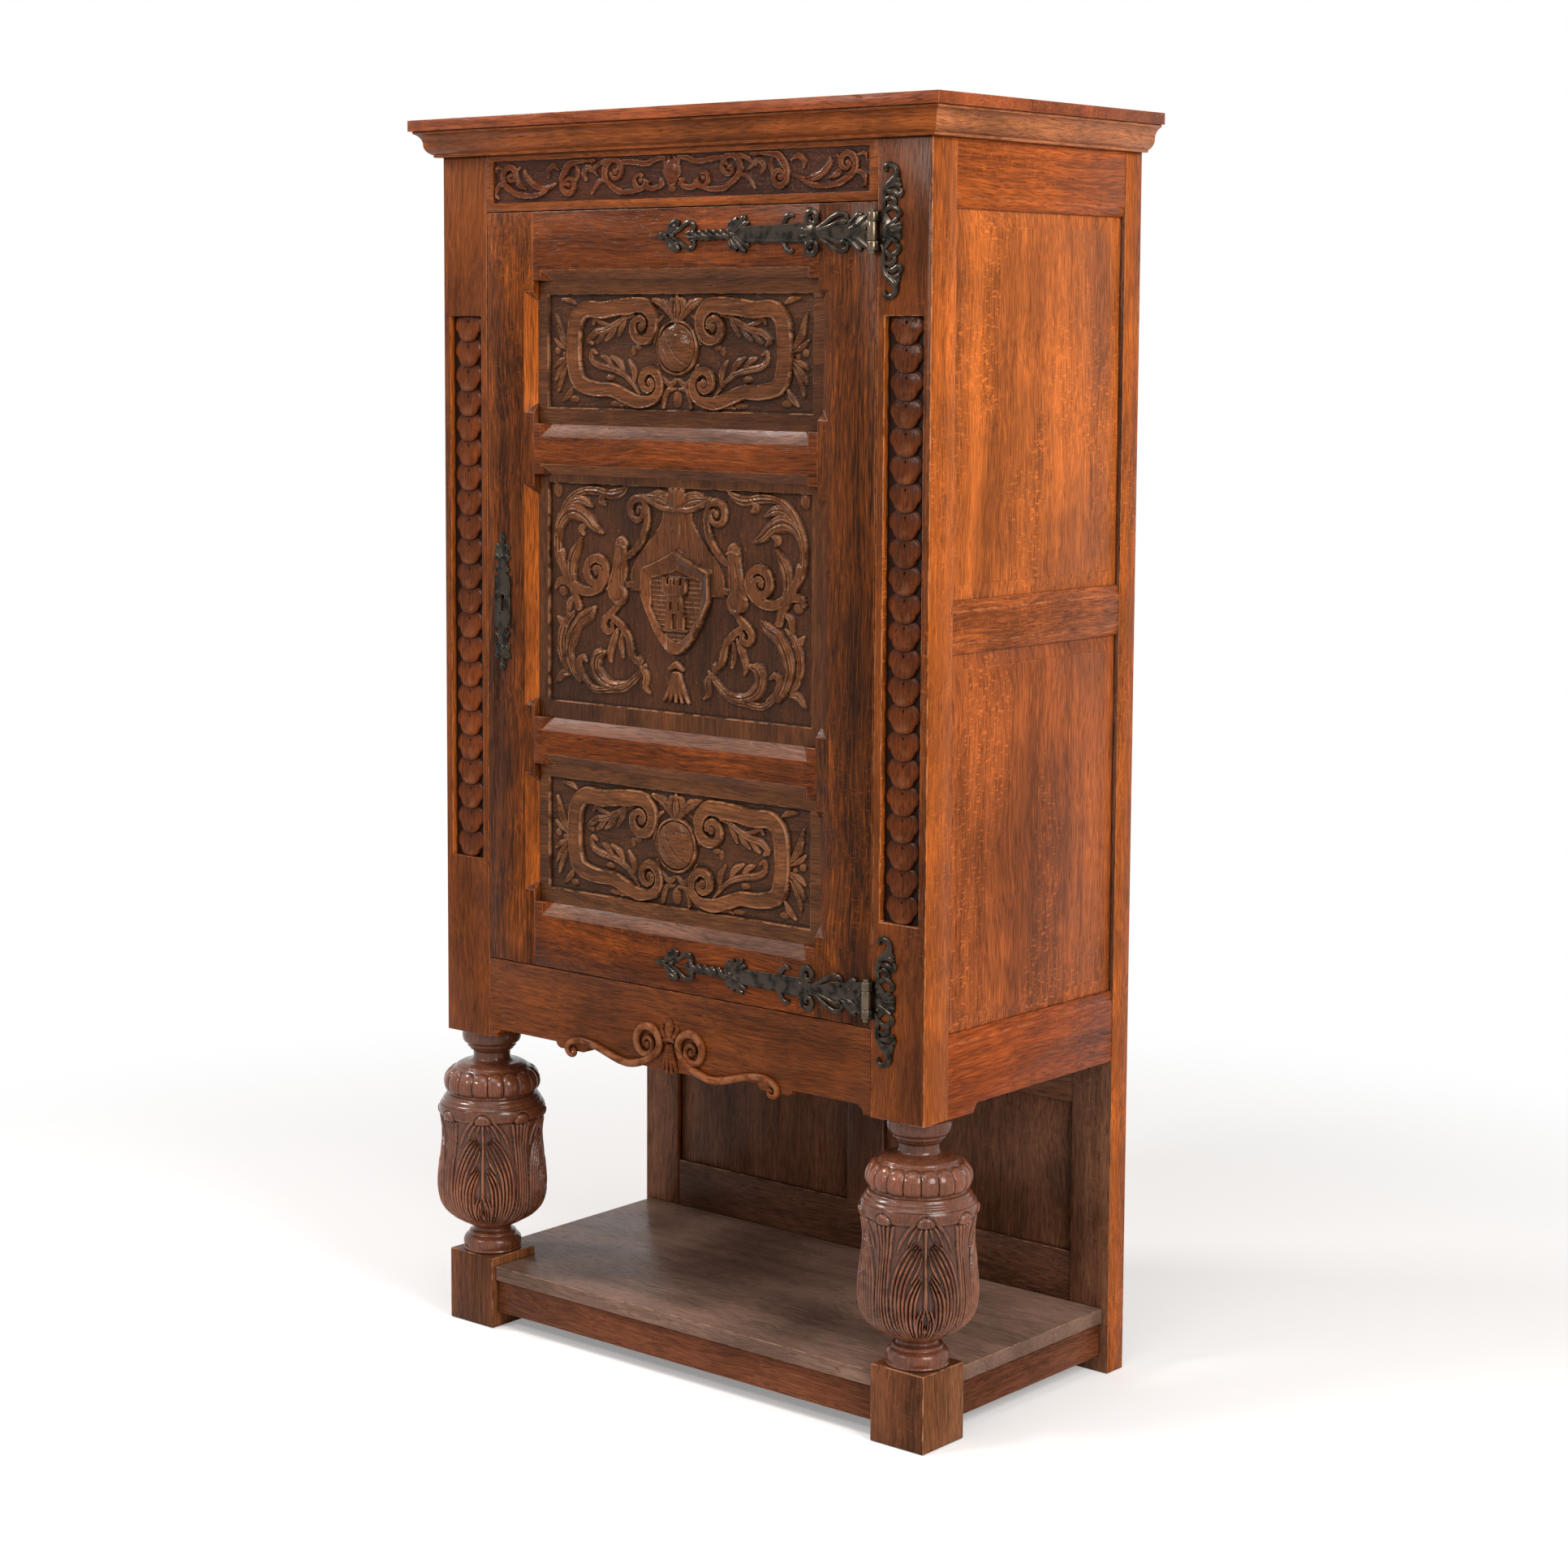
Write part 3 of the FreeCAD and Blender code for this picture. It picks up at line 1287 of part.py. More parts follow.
ROSETTE_PETALS = 8
OUTWARD = FreeCAD.Rotation(FreeCAD.Vector(1, 0, 0), 90)
petal_marks = (-0.5, 0)
for opening in ("top", "bottom"):
    rise = door_openings[opening][0]
    reach, cut_in, height = size.rosette_radius, size.rosette_cut, size.rosette_rise
    rosette = faceted_round(
        f"{opening}_rosette", ROSETTE_PETALS,
        [
            (0, [(-0.5, reach - cut_in), (0, reach)]),
            (height * 0.6, [(-0.5, reach * 0.85 - cut_in), (0, reach * 0.85)]),
            (height * 0.8, [(share, reach * 0.45) for share in petal_marks]),
            (height, [(share, reach * 0.28) for share in petal_marks]),
        ],
        (MIDDLE_X, GROUND, (field_foot(rise) + field_head(rise)) / 2), OUTWARD)
    panels[opening] = fuse(f"{opening}_panel_carved", panels[opening], rosette)

SHIELD_Z = (MIDDLE_OPEN[0] + MIDDLE_OPEN[1]) / 2
half_shield = size.shield_width / 2
shield = shaped_plank(
    "shield", "XZ_Plane",
    [
        (MIDDLE_X, SHIELD_Z - size.shield_height / 2),
        Via(MIDDLE_X + half_shield * 0.72, SHIELD_Z - size.shield_height * 0.28),
        (MIDDLE_X + half_shield, SHIELD_Z + size.shield_height * 0.12),
        (MIDDLE_X + half_shield, SHIELD_Z + size.shield_height * 0.3),
        Via(MIDDLE_X + half_shield * 0.55, SHIELD_Z + size.shield_height * 0.33),
        (MIDDLE_X, SHIELD_Z + size.shield_height / 2),
        Via(MIDDLE_X - half_shield * 0.55, SHIELD_Z + size.shield_height * 0.33),
        (MIDDLE_X - half_shield, SHIELD_Z + size.shield_height * 0.3),
        (MIDDLE_X - half_shield, SHIELD_Z + size.shield_height * 0.12),
        Via(MIDDLE_X - half_shield * 0.72, SHIELD_Z - size.shield_height * 0.28),
    ],
    GROUND - size.shield_rise, GROUND)
panels["middle"] = fuse("middle_panel_carved", panels["middle"], shield)
for opening in panels:
    keep(f"{opening}_door_panel", panels[opening])

for name, rail in door_rails.items():
    keep(name, cut(name, rail.solid, *rail_cuts[name]))

CASE_SPAN = (DOOR_LEFT, DOOR_LEFT + size.lock_case_length)
CASE_DEPTH = (DOOR_BACK + size.lock_case_proud - size.lock_case_depth,
              DOOR_BACK + size.lock_case_proud)
CASE_RISE = (size.lock_height - size.lock_case_height / 2,
             size.lock_height + size.lock_case_height / 2)
KEY_X = DOOR_LEFT + size.escutcheon_offset

key_bore = rod("key_bore", size.keyhole_radius,
               size.door_thickness - size.lock_case_depth + size.lock_case_proud
               + size.lock_case_wall + size.escutcheon_thickness,
               (KEY_X, FACE - size.escutcheon_thickness, size.lock_height + size.keyhole_slot / 2),
               "y")
key_slot = plank(
    "key_slot",
    (KEY_X - size.keyhole_slot_width / 2, KEY_X + size.keyhole_slot_width / 2),
    (FACE - size.escutcheon_thickness, CASE_DEPTH[0] + size.lock_case_wall),
    (size.lock_height - size.keyhole_slot, size.lock_height + size.keyhole_slot / 2))
keyhole = fuse("keyhole", key_bore, key_slot)

lock_pocket = plank("lock_pocket", CASE_SPAN, (CASE_DEPTH[0], DOOR_BACK), CASE_RISE)
stile_rise = (DOOR_FOOT, DOOR_HEAD)
lock_blank = plank("lock_stile_blank", (DOOR_LEFT, OPEN_LEFT), DOOR_DEPTH, stile_rise)
hinge_blank = plank("hinge_stile_blank", (OPEN_RIGHT, DOOR_RIGHT), DOOR_DEPTH, stile_rise)
lock_tools = [rail.mortises["low"] for rail in door_rails.values()]
hinge_tools = [rail.mortises["high"] for rail in door_rails.values()]
keep("lock_stile", cut("lock_stile", lock_blank, *lock_tools, *stile_tools["lock"],
                       lock_pocket, keyhole))
keep("hinge_stile", cut("hinge_stile", hinge_blank, *hinge_tools, *stile_tools["hinge"]))


# ---------------------------------------------------------------- lock

case_blank = plank("case_blank", CASE_SPAN, CASE_DEPTH, CASE_RISE)
bolt_room = plank(
    "bolt_room",
    (DOOR_LEFT, DOOR_LEFT + size.bolt_length + size.bolt_throw),
    BOLT_DEPTH, BOLT_RISE)
keep("lock_case", cut("lock_case", case_blank, bolt_room, keyhole))
slack = size.bolt_clearance
keep("lock_bolt", plank(
    "lock_bolt",
    (DOOR_LEFT + slack, DOOR_LEFT + slack + size.bolt_length),
    (BOLT_DEPTH[0] + slack, BOLT_DEPTH[1] - slack),
    (BOLT_RISE[0] + slack, BOLT_RISE[1] - slack)))

half_plate = size.escutcheon_width / 2
half_crest = size.escutcheon_height / 2
# the pierced crest, from its tip down to the plate: shares of half width and half height
CREST = [(0.39, 0.92), (0.2, 0.84), (0.45, 0.8), (0.72, 0.82), (0.97, 0.8), (0.74, 0.72), (1, 0.63),
         (0.79, 0.585), (0.5, 0.54), (0.88, 0.476), (0.7, 0.435), (0.45, 0.42)]
crest = [(half_plate * across, half_crest * up) for across, up in CREST]
plate_corner = (half_plate, size.escutcheon_plate_height / 2)
quarter = crest + [plate_corner]
right_edge = [(x, z) for x, z in quarter] + [(x, -z) for x, z in reversed(quarter)]
left_edge = [(-x, z) for x, z in reversed(right_edge)]
escutcheon_outline = [(formula(0), half_crest), *right_edge, (formula(0), -half_crest), *left_edge]
escutcheon_blank = shaped_plank(
    "escutcheon_blank", "XZ_Plane",
    [(KEY_X + x, size.lock_height + z) for x, z in escutcheon_outline],
    FACE - size.escutcheon_thickness, FACE)
keep("escutcheon", cut("escutcheon", escutcheon_blank, keyhole))


# ---------------------------------------------------------------- hinges

OUTER_KNUCKLE = (size.knuckle_height - size.knuckle_middle_height) / 2
LEAF_DEPTH = (FACE - size.strap_thickness, FACE)
bore_radius = size.pin_radius + size.pin_clearance
pins = []


def knuckle(name, foot, head):
    """One forged barrel of a hinge, on the hinge axis."""
    return prism(name, TURNED_SIDES, size.knuckle_radius, head - foot, (HINGE_X, HINGE_Y, foot))


# the strap's upper edge from its tip: shares of its length, and of the edge's own reach
ROPE, BAR, LEAF = "rope", "bar", "leaf"
STRAP_EDGE = [
    (0.03, ROPE, 0.85), (0.055, ROPE, 0.4), (0.08, LEAF, 0.55), (0.11, LEAF, 0.72), (0.142, LEAF, 0.55),
    (0.17, LEAF, 0.75), (0.19, LEAF, 0.5), (0.2, ROPE, 1), (0.345, ROPE, 1), (0.362, LEAF, 0.66),
    (0.385, LEAF, 0.82), (0.405, LEAF, 0.62), (0.432, LEAF, 0.84), (0.448, LEAF, 0.5), (0.455, BAR, 0.95),
    (0.59, BAR, 1.05), (0.612, LEAF, 0.84), (0.64, LEAF, 0.93), (0.652, BAR, 1.15), (0.682, BAR, 1.2),
    (0.7, LEAF, 0.85), (0.727, LEAF, 1.03), (0.76, LEAF, 0.72), (0.775, BAR, 1.15), (0.83, LEAF, 0.78),
    (0.866, LEAF, 0.97), (0.888, BAR, 1.55), (0.93, LEAF, 0.85), (0.95, LEAF, 0.92),
]
# one wing of the leaf on the post, from its root to its fan: shares of width and half height
WING = [
    (0, 0.29), (0.06, 0.36), (0.09, 0.5), (0.21, 0.67), (0.43, 0.78), (0.5, 0.86), (0.33, 0.9), (0.18, 0.87),
    (0.24, 0.98), (0.46, 1), (0.72, 0.97), (0.87, 0.87), (0.86, 0.76), (0.98, 0.66), (1, 0.57), (0.88, 0.5),
    (0.78, 0.43), (0.93, 0.34), (0.97, 0.25), (0.82, 0.18), (0.94, 0.11),
]


def hinge(word, height):
    """A strap on the door, a scrolled leaf on the post and a loose pin."""
    low = height - size.knuckle_height / 2
    high = height + size.knuckle_height / 2
    mid_low = height - size.knuckle_middle_height / 2
    mid_high = height + size.knuckle_middle_height / 2
    clear = size.knuckle_radius + size.plate_clearance
    bore = rod(f"{word}_hinge_bore", bore_radius, size.knuckle_height,
               (HINGE_X, HINGE_Y, low))

    # strap: arrow, leaf head, twisted bar, palmette, flat bar, horns, rosettes and leaf plate
    tip = HINGE_X - size.strap_length
    reach = {ROPE: size.rope_radius, BAR: size.strap_half_width, LEAF: size.strap_leaf_reach}
    edge = [(tip + size.strap_length * along, reach[part] * share) for along, part, share in STRAP_EDGE]
    edge.append((HINGE_X - clear, size.knuckle_height * 0.46))
    strap = shaped_plank(
        f"{word}_strap_iron", "XZ_Plane",
        [(tip, height)] + [(x, height + rise) for x, rise in edge]
        + [(x, height - rise) for x, rise in reversed(edge)],
        *LEAF_DEPTH)
    eye = knuckle(f"{word}_strap_knuckle", mid_low + size.knuckle_gap, mid_high - size.knuckle_gap)
    web = plank(f"{word}_strap_web", (HINGE_X - clear, HINGE_X - size.strap_web),
                (HINGE_Y, FACE), (mid_low + size.knuckle_gap, mid_high - size.knuckle_gap))
    keep(f"{word}_strap_hinge",
         cut(f"{word}_strap_hinge", fuse(f"{word}_strap_blank", strap, eye, web), bore))

    # frame leaf on the post
    leaf_edge = HINGE_X + clear
    leaf_reach = size.frame_leaf_width - clear
    wing = [(leaf_edge + leaf_reach * across, size.frame_leaf_height * up / 2) for across, up in WING]
    wings = shaped_plank(
        f"{word}_leaf_iron", "XZ_Plane",
        [(x, height + up) for x, up in wing] + [(leaf_edge + leaf_reach, height)]
        + [(x, height - up) for x, up in reversed(wing)],
        *LEAF_DEPTH)
    leaf = [
        wings,
        knuckle(f"{word}_leaf_knuckle_low", low, mid_low),
        knuckle(f"{word}_leaf_knuckle_high", mid_high, high),
        plank(f"{word}_leaf_web_low", (POST_INNER, leaf_edge), (HINGE_Y, FACE),
              (low, mid_low)),
        plank(f"{word}_leaf_web_high", (POST_INNER, leaf_edge), (HINGE_Y, FACE),
              (mid_high, high)),
    ]
    keep(f"{word}_frame_leaf",
         cut(f"{word}_frame_leaf", fuse(f"{word}_leaf_blank", *leaf), bore))

    shank = rod(f"{word}_pin_shank", size.pin_radius, size.knuckle_height,
                (HINGE_X, HINGE_Y, low))
    caps = [
        prism(f"{word}_pin_{end}", LOBE_SIDES, size.pin_head_radius, size.pin_head_height,
              (HINGE_X, HINGE_Y, foot))
        for end, foot in (("head", high), ("foot", low - size.pin_head_height))]
    pins.append(fuse(f"{word}_pin", shank, *caps))


hinge("upper", DOOR_HEAD - size.hinge_inset)
hinge("lower", DOOR_FOOT + size.hinge_inset)
keep("hinge_pins", group("hinge_pins", *pins))


# ---------------------------------------------------------------- scale strips

SCALE_PITCH = size.strip_height / size.scale_count
POCKET_FLOOR = FACE + size.strip_pocket_depth
SCALE_FACE = FACE + size.scale_set_back


def scale_strip(side):
    """A run of overlapping scales, each a broad shoulder over a narrower lobe."""
    hand = "right" if side > 0 else "left"
    centre = STRIP_X * side
    body = doc.addObject("PartDesign::Body", f"{hand}_scales")
    half_scale = size.scale_width / 2
    half_lobe = size.scale_lobe_width / 2
    # drawn about the tip of the scale above, on a plane tilted so that each lobe stands proud
    half = [
        (half_lobe * 0.7, SCALE_PITCH * 0.03),
        (half_lobe, SCALE_PITCH * 0.35),
        (half_scale, SCALE_PITCH * 0.64),
        (half_scale * 0.85, SCALE_PITCH * 1.1),
    ]
    sketch = draw(body, "XZ_Plane", half + [(-across, up) for across, up in reversed(half)])
    sketch.AttachmentOffset = FreeCAD.Placement(
        FreeCAD.Vector(), FreeCAD.Rotation(FreeCAD.Vector(1, 0, 0), 1))
    sketch.setExpression("AttachmentOffset.Rotation.Angle", (-size.scale_tilt).text)
    scale = body.newObject("PartDesign::Pad", f"{hand}_scale")
    scale.Profile = sketch
    scale.Reversed = True
    bind(scale, {"Length": size.strip_pocket_depth})
    doc.recompute()
    row = body.newObject("PartDesign::LinearPattern", f"{hand}_scale_row")
    row.Originals = [scale]
    upright = [item for item in body.Origin.OriginFeatures if item.Role == "Z_Axis"][0]
    row.Direction = (upright, [""])
    bind(row, {"Length": SCALE_PITCH * (size.scale_count - 1), "Occurrences": size.scale_count})
    body.Tip = row
    bind(body, {
        "Placement.Base.x": centre,
        "Placement.Base.y": SCALE_FACE,
        "Placement.Base.z": size.strip_foot,
    })
    room = plank(f"{hand}_strip_room",
                 (centre - size.strip_pocket_width / 2, centre + size.strip_pocket_width / 2),
                 (FACE, POCKET_FLOOR), (size.strip_foot, STRIP_HEAD))
    trimmed = doc.addObject("Part::Common", f"{hand}_strip_trimmed")
    trimmed.Base = body
    trimmed.Tool = room
    backing = plank(f"{hand}_strip_backing", (centre - half_lobe, centre + half_lobe),
                    (POCKET_FLOOR - size.strip_backing, POCKET_FLOOR),
                    (size.strip_foot, STRIP_HEAD))
    return keep(f"{hand}_scale_strip", fuse(f"{hand}_scale_strip", trimmed, backing))


scale_strip(1)
scale_strip(-1)


# ---------------------------------------------------------------- build and write

doc.recompute()
faults = [f"{item.Name}: {item.State}" for item in doc.Objects
          if "Invalid" in item.State or "Error" in item.State]
for name, item in nodes.items():
    shape = item.Shape
    if shape.isNull() or not shape.isValid() or not shape.Solids:
        faults.append(f"{name}: no valid solid")
if faults:
    raise SystemExit("build stopped:\n" + "\n".join(faults))

for name, item in nodes.items():
    item.Shape.exportStep(f"parts/{name}.step")
print(f"{len(nodes)} sub-parts written")
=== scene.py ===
# %% [markdown]
# # A bonnetiere: a one-door oak cupboard on two carved balusters
# The lesson dresses a joined cupboard, timber by timber. The solids of the frame give
# every place and size, and each step below gives one group of pieces its real edges,
# carving and finish.

# %% Load the frame
import bpy
import math
import numpy as np
from mathutils import Matrix, Vector


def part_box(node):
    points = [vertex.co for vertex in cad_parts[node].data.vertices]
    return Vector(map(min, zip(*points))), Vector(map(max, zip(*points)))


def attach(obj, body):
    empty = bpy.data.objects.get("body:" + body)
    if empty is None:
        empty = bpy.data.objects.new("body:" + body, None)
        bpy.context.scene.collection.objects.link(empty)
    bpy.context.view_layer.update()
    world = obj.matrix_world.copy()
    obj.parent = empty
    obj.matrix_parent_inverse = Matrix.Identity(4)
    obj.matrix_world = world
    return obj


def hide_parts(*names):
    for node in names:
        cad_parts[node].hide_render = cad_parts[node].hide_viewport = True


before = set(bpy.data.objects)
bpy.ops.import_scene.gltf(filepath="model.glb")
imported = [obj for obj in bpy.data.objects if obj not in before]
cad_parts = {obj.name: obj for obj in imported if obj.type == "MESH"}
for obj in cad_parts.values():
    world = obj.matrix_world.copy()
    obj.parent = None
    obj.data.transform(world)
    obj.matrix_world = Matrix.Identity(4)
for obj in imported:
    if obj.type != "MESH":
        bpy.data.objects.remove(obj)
bpy.ops.object.select_all(action="DESELECT")
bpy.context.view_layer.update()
MM = 0.001
FRONT = -227.5  # y of the front faces of the posts and the door, in mm

# %% [markdown]
# ## The camera
# A long lens stands a little above the middle of the cupboard and to its right, so the
# front and the right side both show. A small shift keeps the uprights nearly parallel.

# %% Camera
EYE = Vector((2.9908, -3.5150, 1.5318))
YAW = math.radians(40.20)
PITCH = math.radians(5.79)
ROLL = math.radians(0.295)
SENSOR = 36             # mm
FRAME_WIDTH = 1932      # pixels
FOCAL_LENGTH = 3833.5   # pixels


def placed(name, data):
    """A new object for some data, put into the scene."""
    made = bpy.data.objects.new(name, data)
    bpy.context.scene.collection.objects.link(made)
    return made


camera = placed("camera", bpy.data.cameras.new("camera"))
ahead = Vector((-math.sin(YAW) * math.cos(PITCH), math.cos(YAW) * math.cos(PITCH),
                -math.sin(PITCH)))
level = Vector((math.cos(YAW), math.sin(YAW), 0))
upright = level.cross(ahead)
side = level * math.cos(ROLL) + upright * math.sin(ROLL)
upright = upright * math.cos(ROLL) - level * math.sin(ROLL)
turn = Matrix((side, upright, -ahead)).transposed().to_4x4()
camera.matrix_world = Matrix.Translation(EYE) @ turn
camera.data.sensor_width = SENSOR
camera.data.lens = FOCAL_LENGTH * SENSOR / FRAME_WIDTH
camera.data.shift_y = -0.085
camera.data.clip_end = 50
bpy.context.scene.camera = camera
bpy.context.scene.view_settings.view_transform = "Standard"
print("camera at", tuple(round(v, 3) for v in EYE), "lens", round(camera.data.lens, 1))

# %% [markdown]
# ## The floor, the backdrop and the light
# A white studio: the world is white to the camera and in reflections, and lights the
# cupboard softly. The floor is a disc that fades into that white, so it shows nothing
# but the shadow. One large lamp high on the right models the side, a smaller one in
# front keeps the door readable, one above lights the cornice, and a last one on the
# left draws glints along the carving and the iron. The world and every finish are made
# of nodes, so a few helpers for nodes come first.

# %% Node helpers
def link(tree, source, target):
    tree.links.new(source, target)


def node(tree, kind, **settings):
    """A new node; settings name its properties, or its inputs by position with i0, i1."""
    made = tree.nodes.new(kind)
    for key, value in settings.items():
        if not (key[0] == "i" and key[1:].isdigit()):
            setattr(made, key, value)
        elif isinstance(value, bpy.types.NodeSocket):
            link(tree, value, made.inputs[int(key[1:])])
        else:
            made.inputs[int(key[1:])].default_value = value
    return made


def sums(tree, operation, a, b=0.0, clamp=False):
    """The result socket of one Math node."""
    return node(tree, "ShaderNodeMath", operation=operation, use_clamp=clamp,
                i0=a, i1=b).outputs[0]


def between(tree, value, low, high, to_low=0.0, to_high=1.0):
    """A smooth step of a value from low to high."""
    return node(tree, "ShaderNodeMapRange", interpolation_type="SMOOTHSTEP",
                i0=value, i1=low, i2=high, i3=to_low, i4=to_high).outputs[0]


def mixed(tree, factor, a, b, blend="MIX"):
    """The colour socket of one Mix node."""
    return node(tree, "ShaderNodeMix", data_type="RGBA", blend_type=blend,
                i0=factor, i6=a, i7=b).outputs[2]


def noise(tree, vector, scale, detail=2.0, distortion=0.0):
    """A Noise Texture node."""
    made = node(tree, "ShaderNodeTexNoise", i0=vector)
    made.inputs["Scale"].default_value = scale
    made.inputs["Detail"].default_value = detail
    made.inputs["Distortion"].default_value = distortion
    return made


def new_finish(name, **values):
    """A new material, its node tree and its Principled BSDF, with plain values set."""
    finish = bpy.data.materials.new(name)
    finish.use_nodes = True
    shader = finish.node_tree.nodes["Principled BSDF"]
    for key, value in values.items():
        shader.inputs[key.replace("_", " ")].default_value = value
    return finish, finish.node_tree, shader


# %% World
DAYLIGHT = (1, 0.97, 0.94, 1)
world = bpy.data.worlds.new("studio")
bpy.context.scene.world = world
world.use_nodes = True
sky = world.node_tree
sky.nodes.clear()
ray = node(sky, "ShaderNodeLightPath")
seen = sums(sky, "MAXIMUM", ray.outputs["Is Camera Ray"], ray.outputs["Is Glossy Ray"])
seen = sums(sky, "MAXIMUM", seen, ray.outputs["Is Transmission Ray"])
soft = node(sky, "ShaderNodeBackground", i0=DAYLIGHT, i1=0.34)
white = node(sky, "ShaderNodeBackground", i0=(1, 1, 1, 1), i1=1.0)
choice = node(sky, "ShaderNodeMixShader", i0=seen, i1=soft.outputs[0], i2=white.outputs[0])
node(sky, "ShaderNodeOutputWorld", i0=choice.outputs[0])

# %% Floor
FADE_START, FADE_END = 1.1, 2.4  # metres from the middle
bpy.ops.mesh.primitive_circle_add(vertices=96, radius=6, fill_type="NGON",
                                  location=(0, 0, -0.0005))
floor = bpy.context.active_object
floor.name = "floor"
floor_white, tree, paint = new_finish("floor_white", Base_Color=(0.86, 0.85, 0.85, 1),
                                      Roughness=0.9, Specular_IOR_Level=0.1)
ray = node(tree, "ShaderNodeLightPath")
glow = node(tree, "ShaderNodeEmission", i0=(1, 1, 1, 1),
            i1=sums(tree, "MULTIPLY", ray.outputs["Is Camera Ray"], 0.26))
both = node(tree, "ShaderNodeAddShader", i0=paint.outputs[0], i1=glow.outputs[0])
spot = node(tree, "ShaderNodeTexCoord")
far = node(tree, "ShaderNodeVectorMath", operation="LENGTH", i0=spot.outputs["Object"])
fade = between(tree, far.outputs["Value"], FADE_START, FADE_END)
clear = node(tree, "ShaderNodeBsdfTransparent")
fading = node(tree, "ShaderNodeMixShader", i0=fade, i1=both.outputs[0], i2=clear.outputs[0])
link(tree, fading.outputs[0], tree.nodes["Material Output"].inputs["Surface"])
floor.data.materials.append(floor_white)

# %% Lamps
def lamp(name, place, aim, width, height, power, colour):
    """A rectangular soft lamp that looks at a point."""
    data = bpy.data.lights.new(name, "AREA")
    data.shape = "RECTANGLE"
    data.size = width
    data.size_y = height
    data.energy = power
    data.color = colour
    made = placed(name, data)
    made.location = place
    made.rotation_euler = (Vector(aim) - Vector(place)).to_track_quat("-Z", "Y").to_euler()


lamp("key", (3.6, -0.9, 2.6), (0, 0, 0.95), 1.8, 2.2, 125, (1, 0.97, 0.93))
lamp("front", (-1.2, -3.4, 2.7), (0, 0, 0.9), 0.7, 0.56, 42, (1, 0.98, 0.96))
lamp("top", (0.6, -1.6, 3.4), (0, 0, 1.2), 1.6, 1.2, 22, (0.97, 0.98, 1))
lamp("glint", (-2.1, -1.0, 3.0), (0, -0.2, 0.9), 0.45, 0.45, 38, (1, 0.98, 0.97))
print("four lamps")

# %% [markdown]
# ## Old varnished oak
# Oak shows broad growth bands, fine fibres, short dark pores and pale ray flecks. All of
# them are noise that is stretched along the grain, so one node group makes them from a
# board coordinate whose Z runs with the grain. Each timber turns and shifts that
# coordinate with its own Mapping node, so no two boards share a figure. Two attributes
# of the mesh, edge and hollow, say where the varnish is worn, with a painted highlight on
# carved ridges, and where grime lies, together with painted shade; an Ambient Occlusion
# node paints more shade into the nooks.

# %% Colours and grain
def srgb(red, green, blue):
    """A colour as painted, 0 to 255, for a socket."""
    parts = [c / 255 for c in (red, green, blue)]
    return tuple(c / 12.92 if c < 0.04045 else ((c + 0.055) / 1.055) ** 2.4
                 for c in parts) + (1,)


def share(colour, factor):
    """A colour made lighter or darker by a factor."""
    return tuple(min(c * factor, 1) for c in colour[:3]) + (1,)


def streaks(tree, vector, across, along, detail=2.0, distortion=0.0):
    """Noise stretched along the grain."""
    scaled = node(tree, "ShaderNodeVectorMath", operation="MULTIPLY", i0=vector,
                  i1=(across, across, along))
    return noise(tree, scaled.outputs[0], 1, detail, distortion).outputs["Fac"]


# %% The oak group
# the colour of grime, and of painted shade in hollows and nooks
SHADE_AND_GRIME = srgb(34, 19, 12)
# the colour of worn edges, and of painted highlights on carved ridges
WORN_AND_LIT_WOOD = srgb(200, 148, 108)
VALUE, COLOUR, VECTOR = "NodeSocketFloat", "NodeSocketColor", "NodeSocketVector"
OAK = bpy.data.node_groups.new("oak figure", "ShaderNodeTree")
for way, name, kind in (
        ("INPUT", "Board", VECTOR), ("INPUT", "Dark", COLOUR), ("INPUT", "Middle", COLOUR),
        ("INPUT", "Pale", COLOUR), ("INPUT", "Fleck", VALUE), ("INPUT", "WearAndSheen", VALUE),
        ("INPUT", "DirtAndShade", VALUE), ("OUTPUT", "Color", COLOUR), ("OUTPUT", "Roughness", VALUE),
        ("OUTPUT", "Height", VALUE)):
    OAK.interface.new_socket(name, in_out=way, socket_type=kind)
given = OAK.nodes.new("NodeGroupInput")
result = OAK.nodes.new("NodeGroupOutput")
board = given.outputs["Board"]


def times(a, b, clamp=False):
    """The product of two values inside the oak group."""
    return sums(OAK, "MULTIPLY", a, b, clamp)


# growth bands, fibres and pores sway a little together; the ray flecks lie across them
swayed = node(OAK, "ShaderNodeVectorMath", operation="MULTIPLY_ADD", i1=(0.03, 0.03, 0),
              i0=noise(OAK, board, 5, 1).outputs["Color"], i2=board).outputs[0]
rings = streaks(OAK, swayed, 22, 0.8)
bands = streaks(OAK, swayed, 210, 5)
dashes = streaks(OAK, swayed, 430, 30)
fibres = streaks(OAK, swayed, 1300, 22, 1.0)
pores = between(OAK, streaks(OAK, swayed, 620, 38, 0.5), 0.58, 0.68)
pored = times(pores, between(OAK, bands, 0.38, 0.56))
flakes = between(OAK, streaks(OAK, board, 95, 260, 1.5, 0.6), 0.57, 0.68)
flaky = between(OAK, streaks(OAK, board, 9, 2.5, 1.0), 0.42, 0.62)
flecked = times(times(flakes, flaky), given.outputs["Fleck"])

# %% The oak group's colour, from dark through middle to pale
tone = times(rings, 0.7)
for figure, weight in ((bands, 0.5), (dashes, 0.65), (fibres, 0.45)):
    tone = sums(OAK, "ADD", tone, times(figure, weight))
dark, middle, pale = (given.outputs[name] for name in ("Dark", "Middle", "Pale"))
body = mixed(OAK, between(OAK, tone, 0.9, 1.24), dark, middle)
body = mixed(OAK, between(OAK, tone, 1.18, 1.46, 0, 0.8), body, pale)
body = mixed(OAK, flecked, body, pale)
body = mixed(OAK, times(pored, 0.5), body, dark, "MULTIPLY")
cloud = noise(OAK, board, 6, 3).outputs["Fac"]
shade = between(OAK, cloud, 0.3, 0.7, 0.7, 1.2)
shade = node(OAK, "ShaderNodeCombineColor", i0=shade, i1=shade, i2=shade).outputs[0]
body = mixed(OAK, 1.0, body, shade, "MULTIPLY")
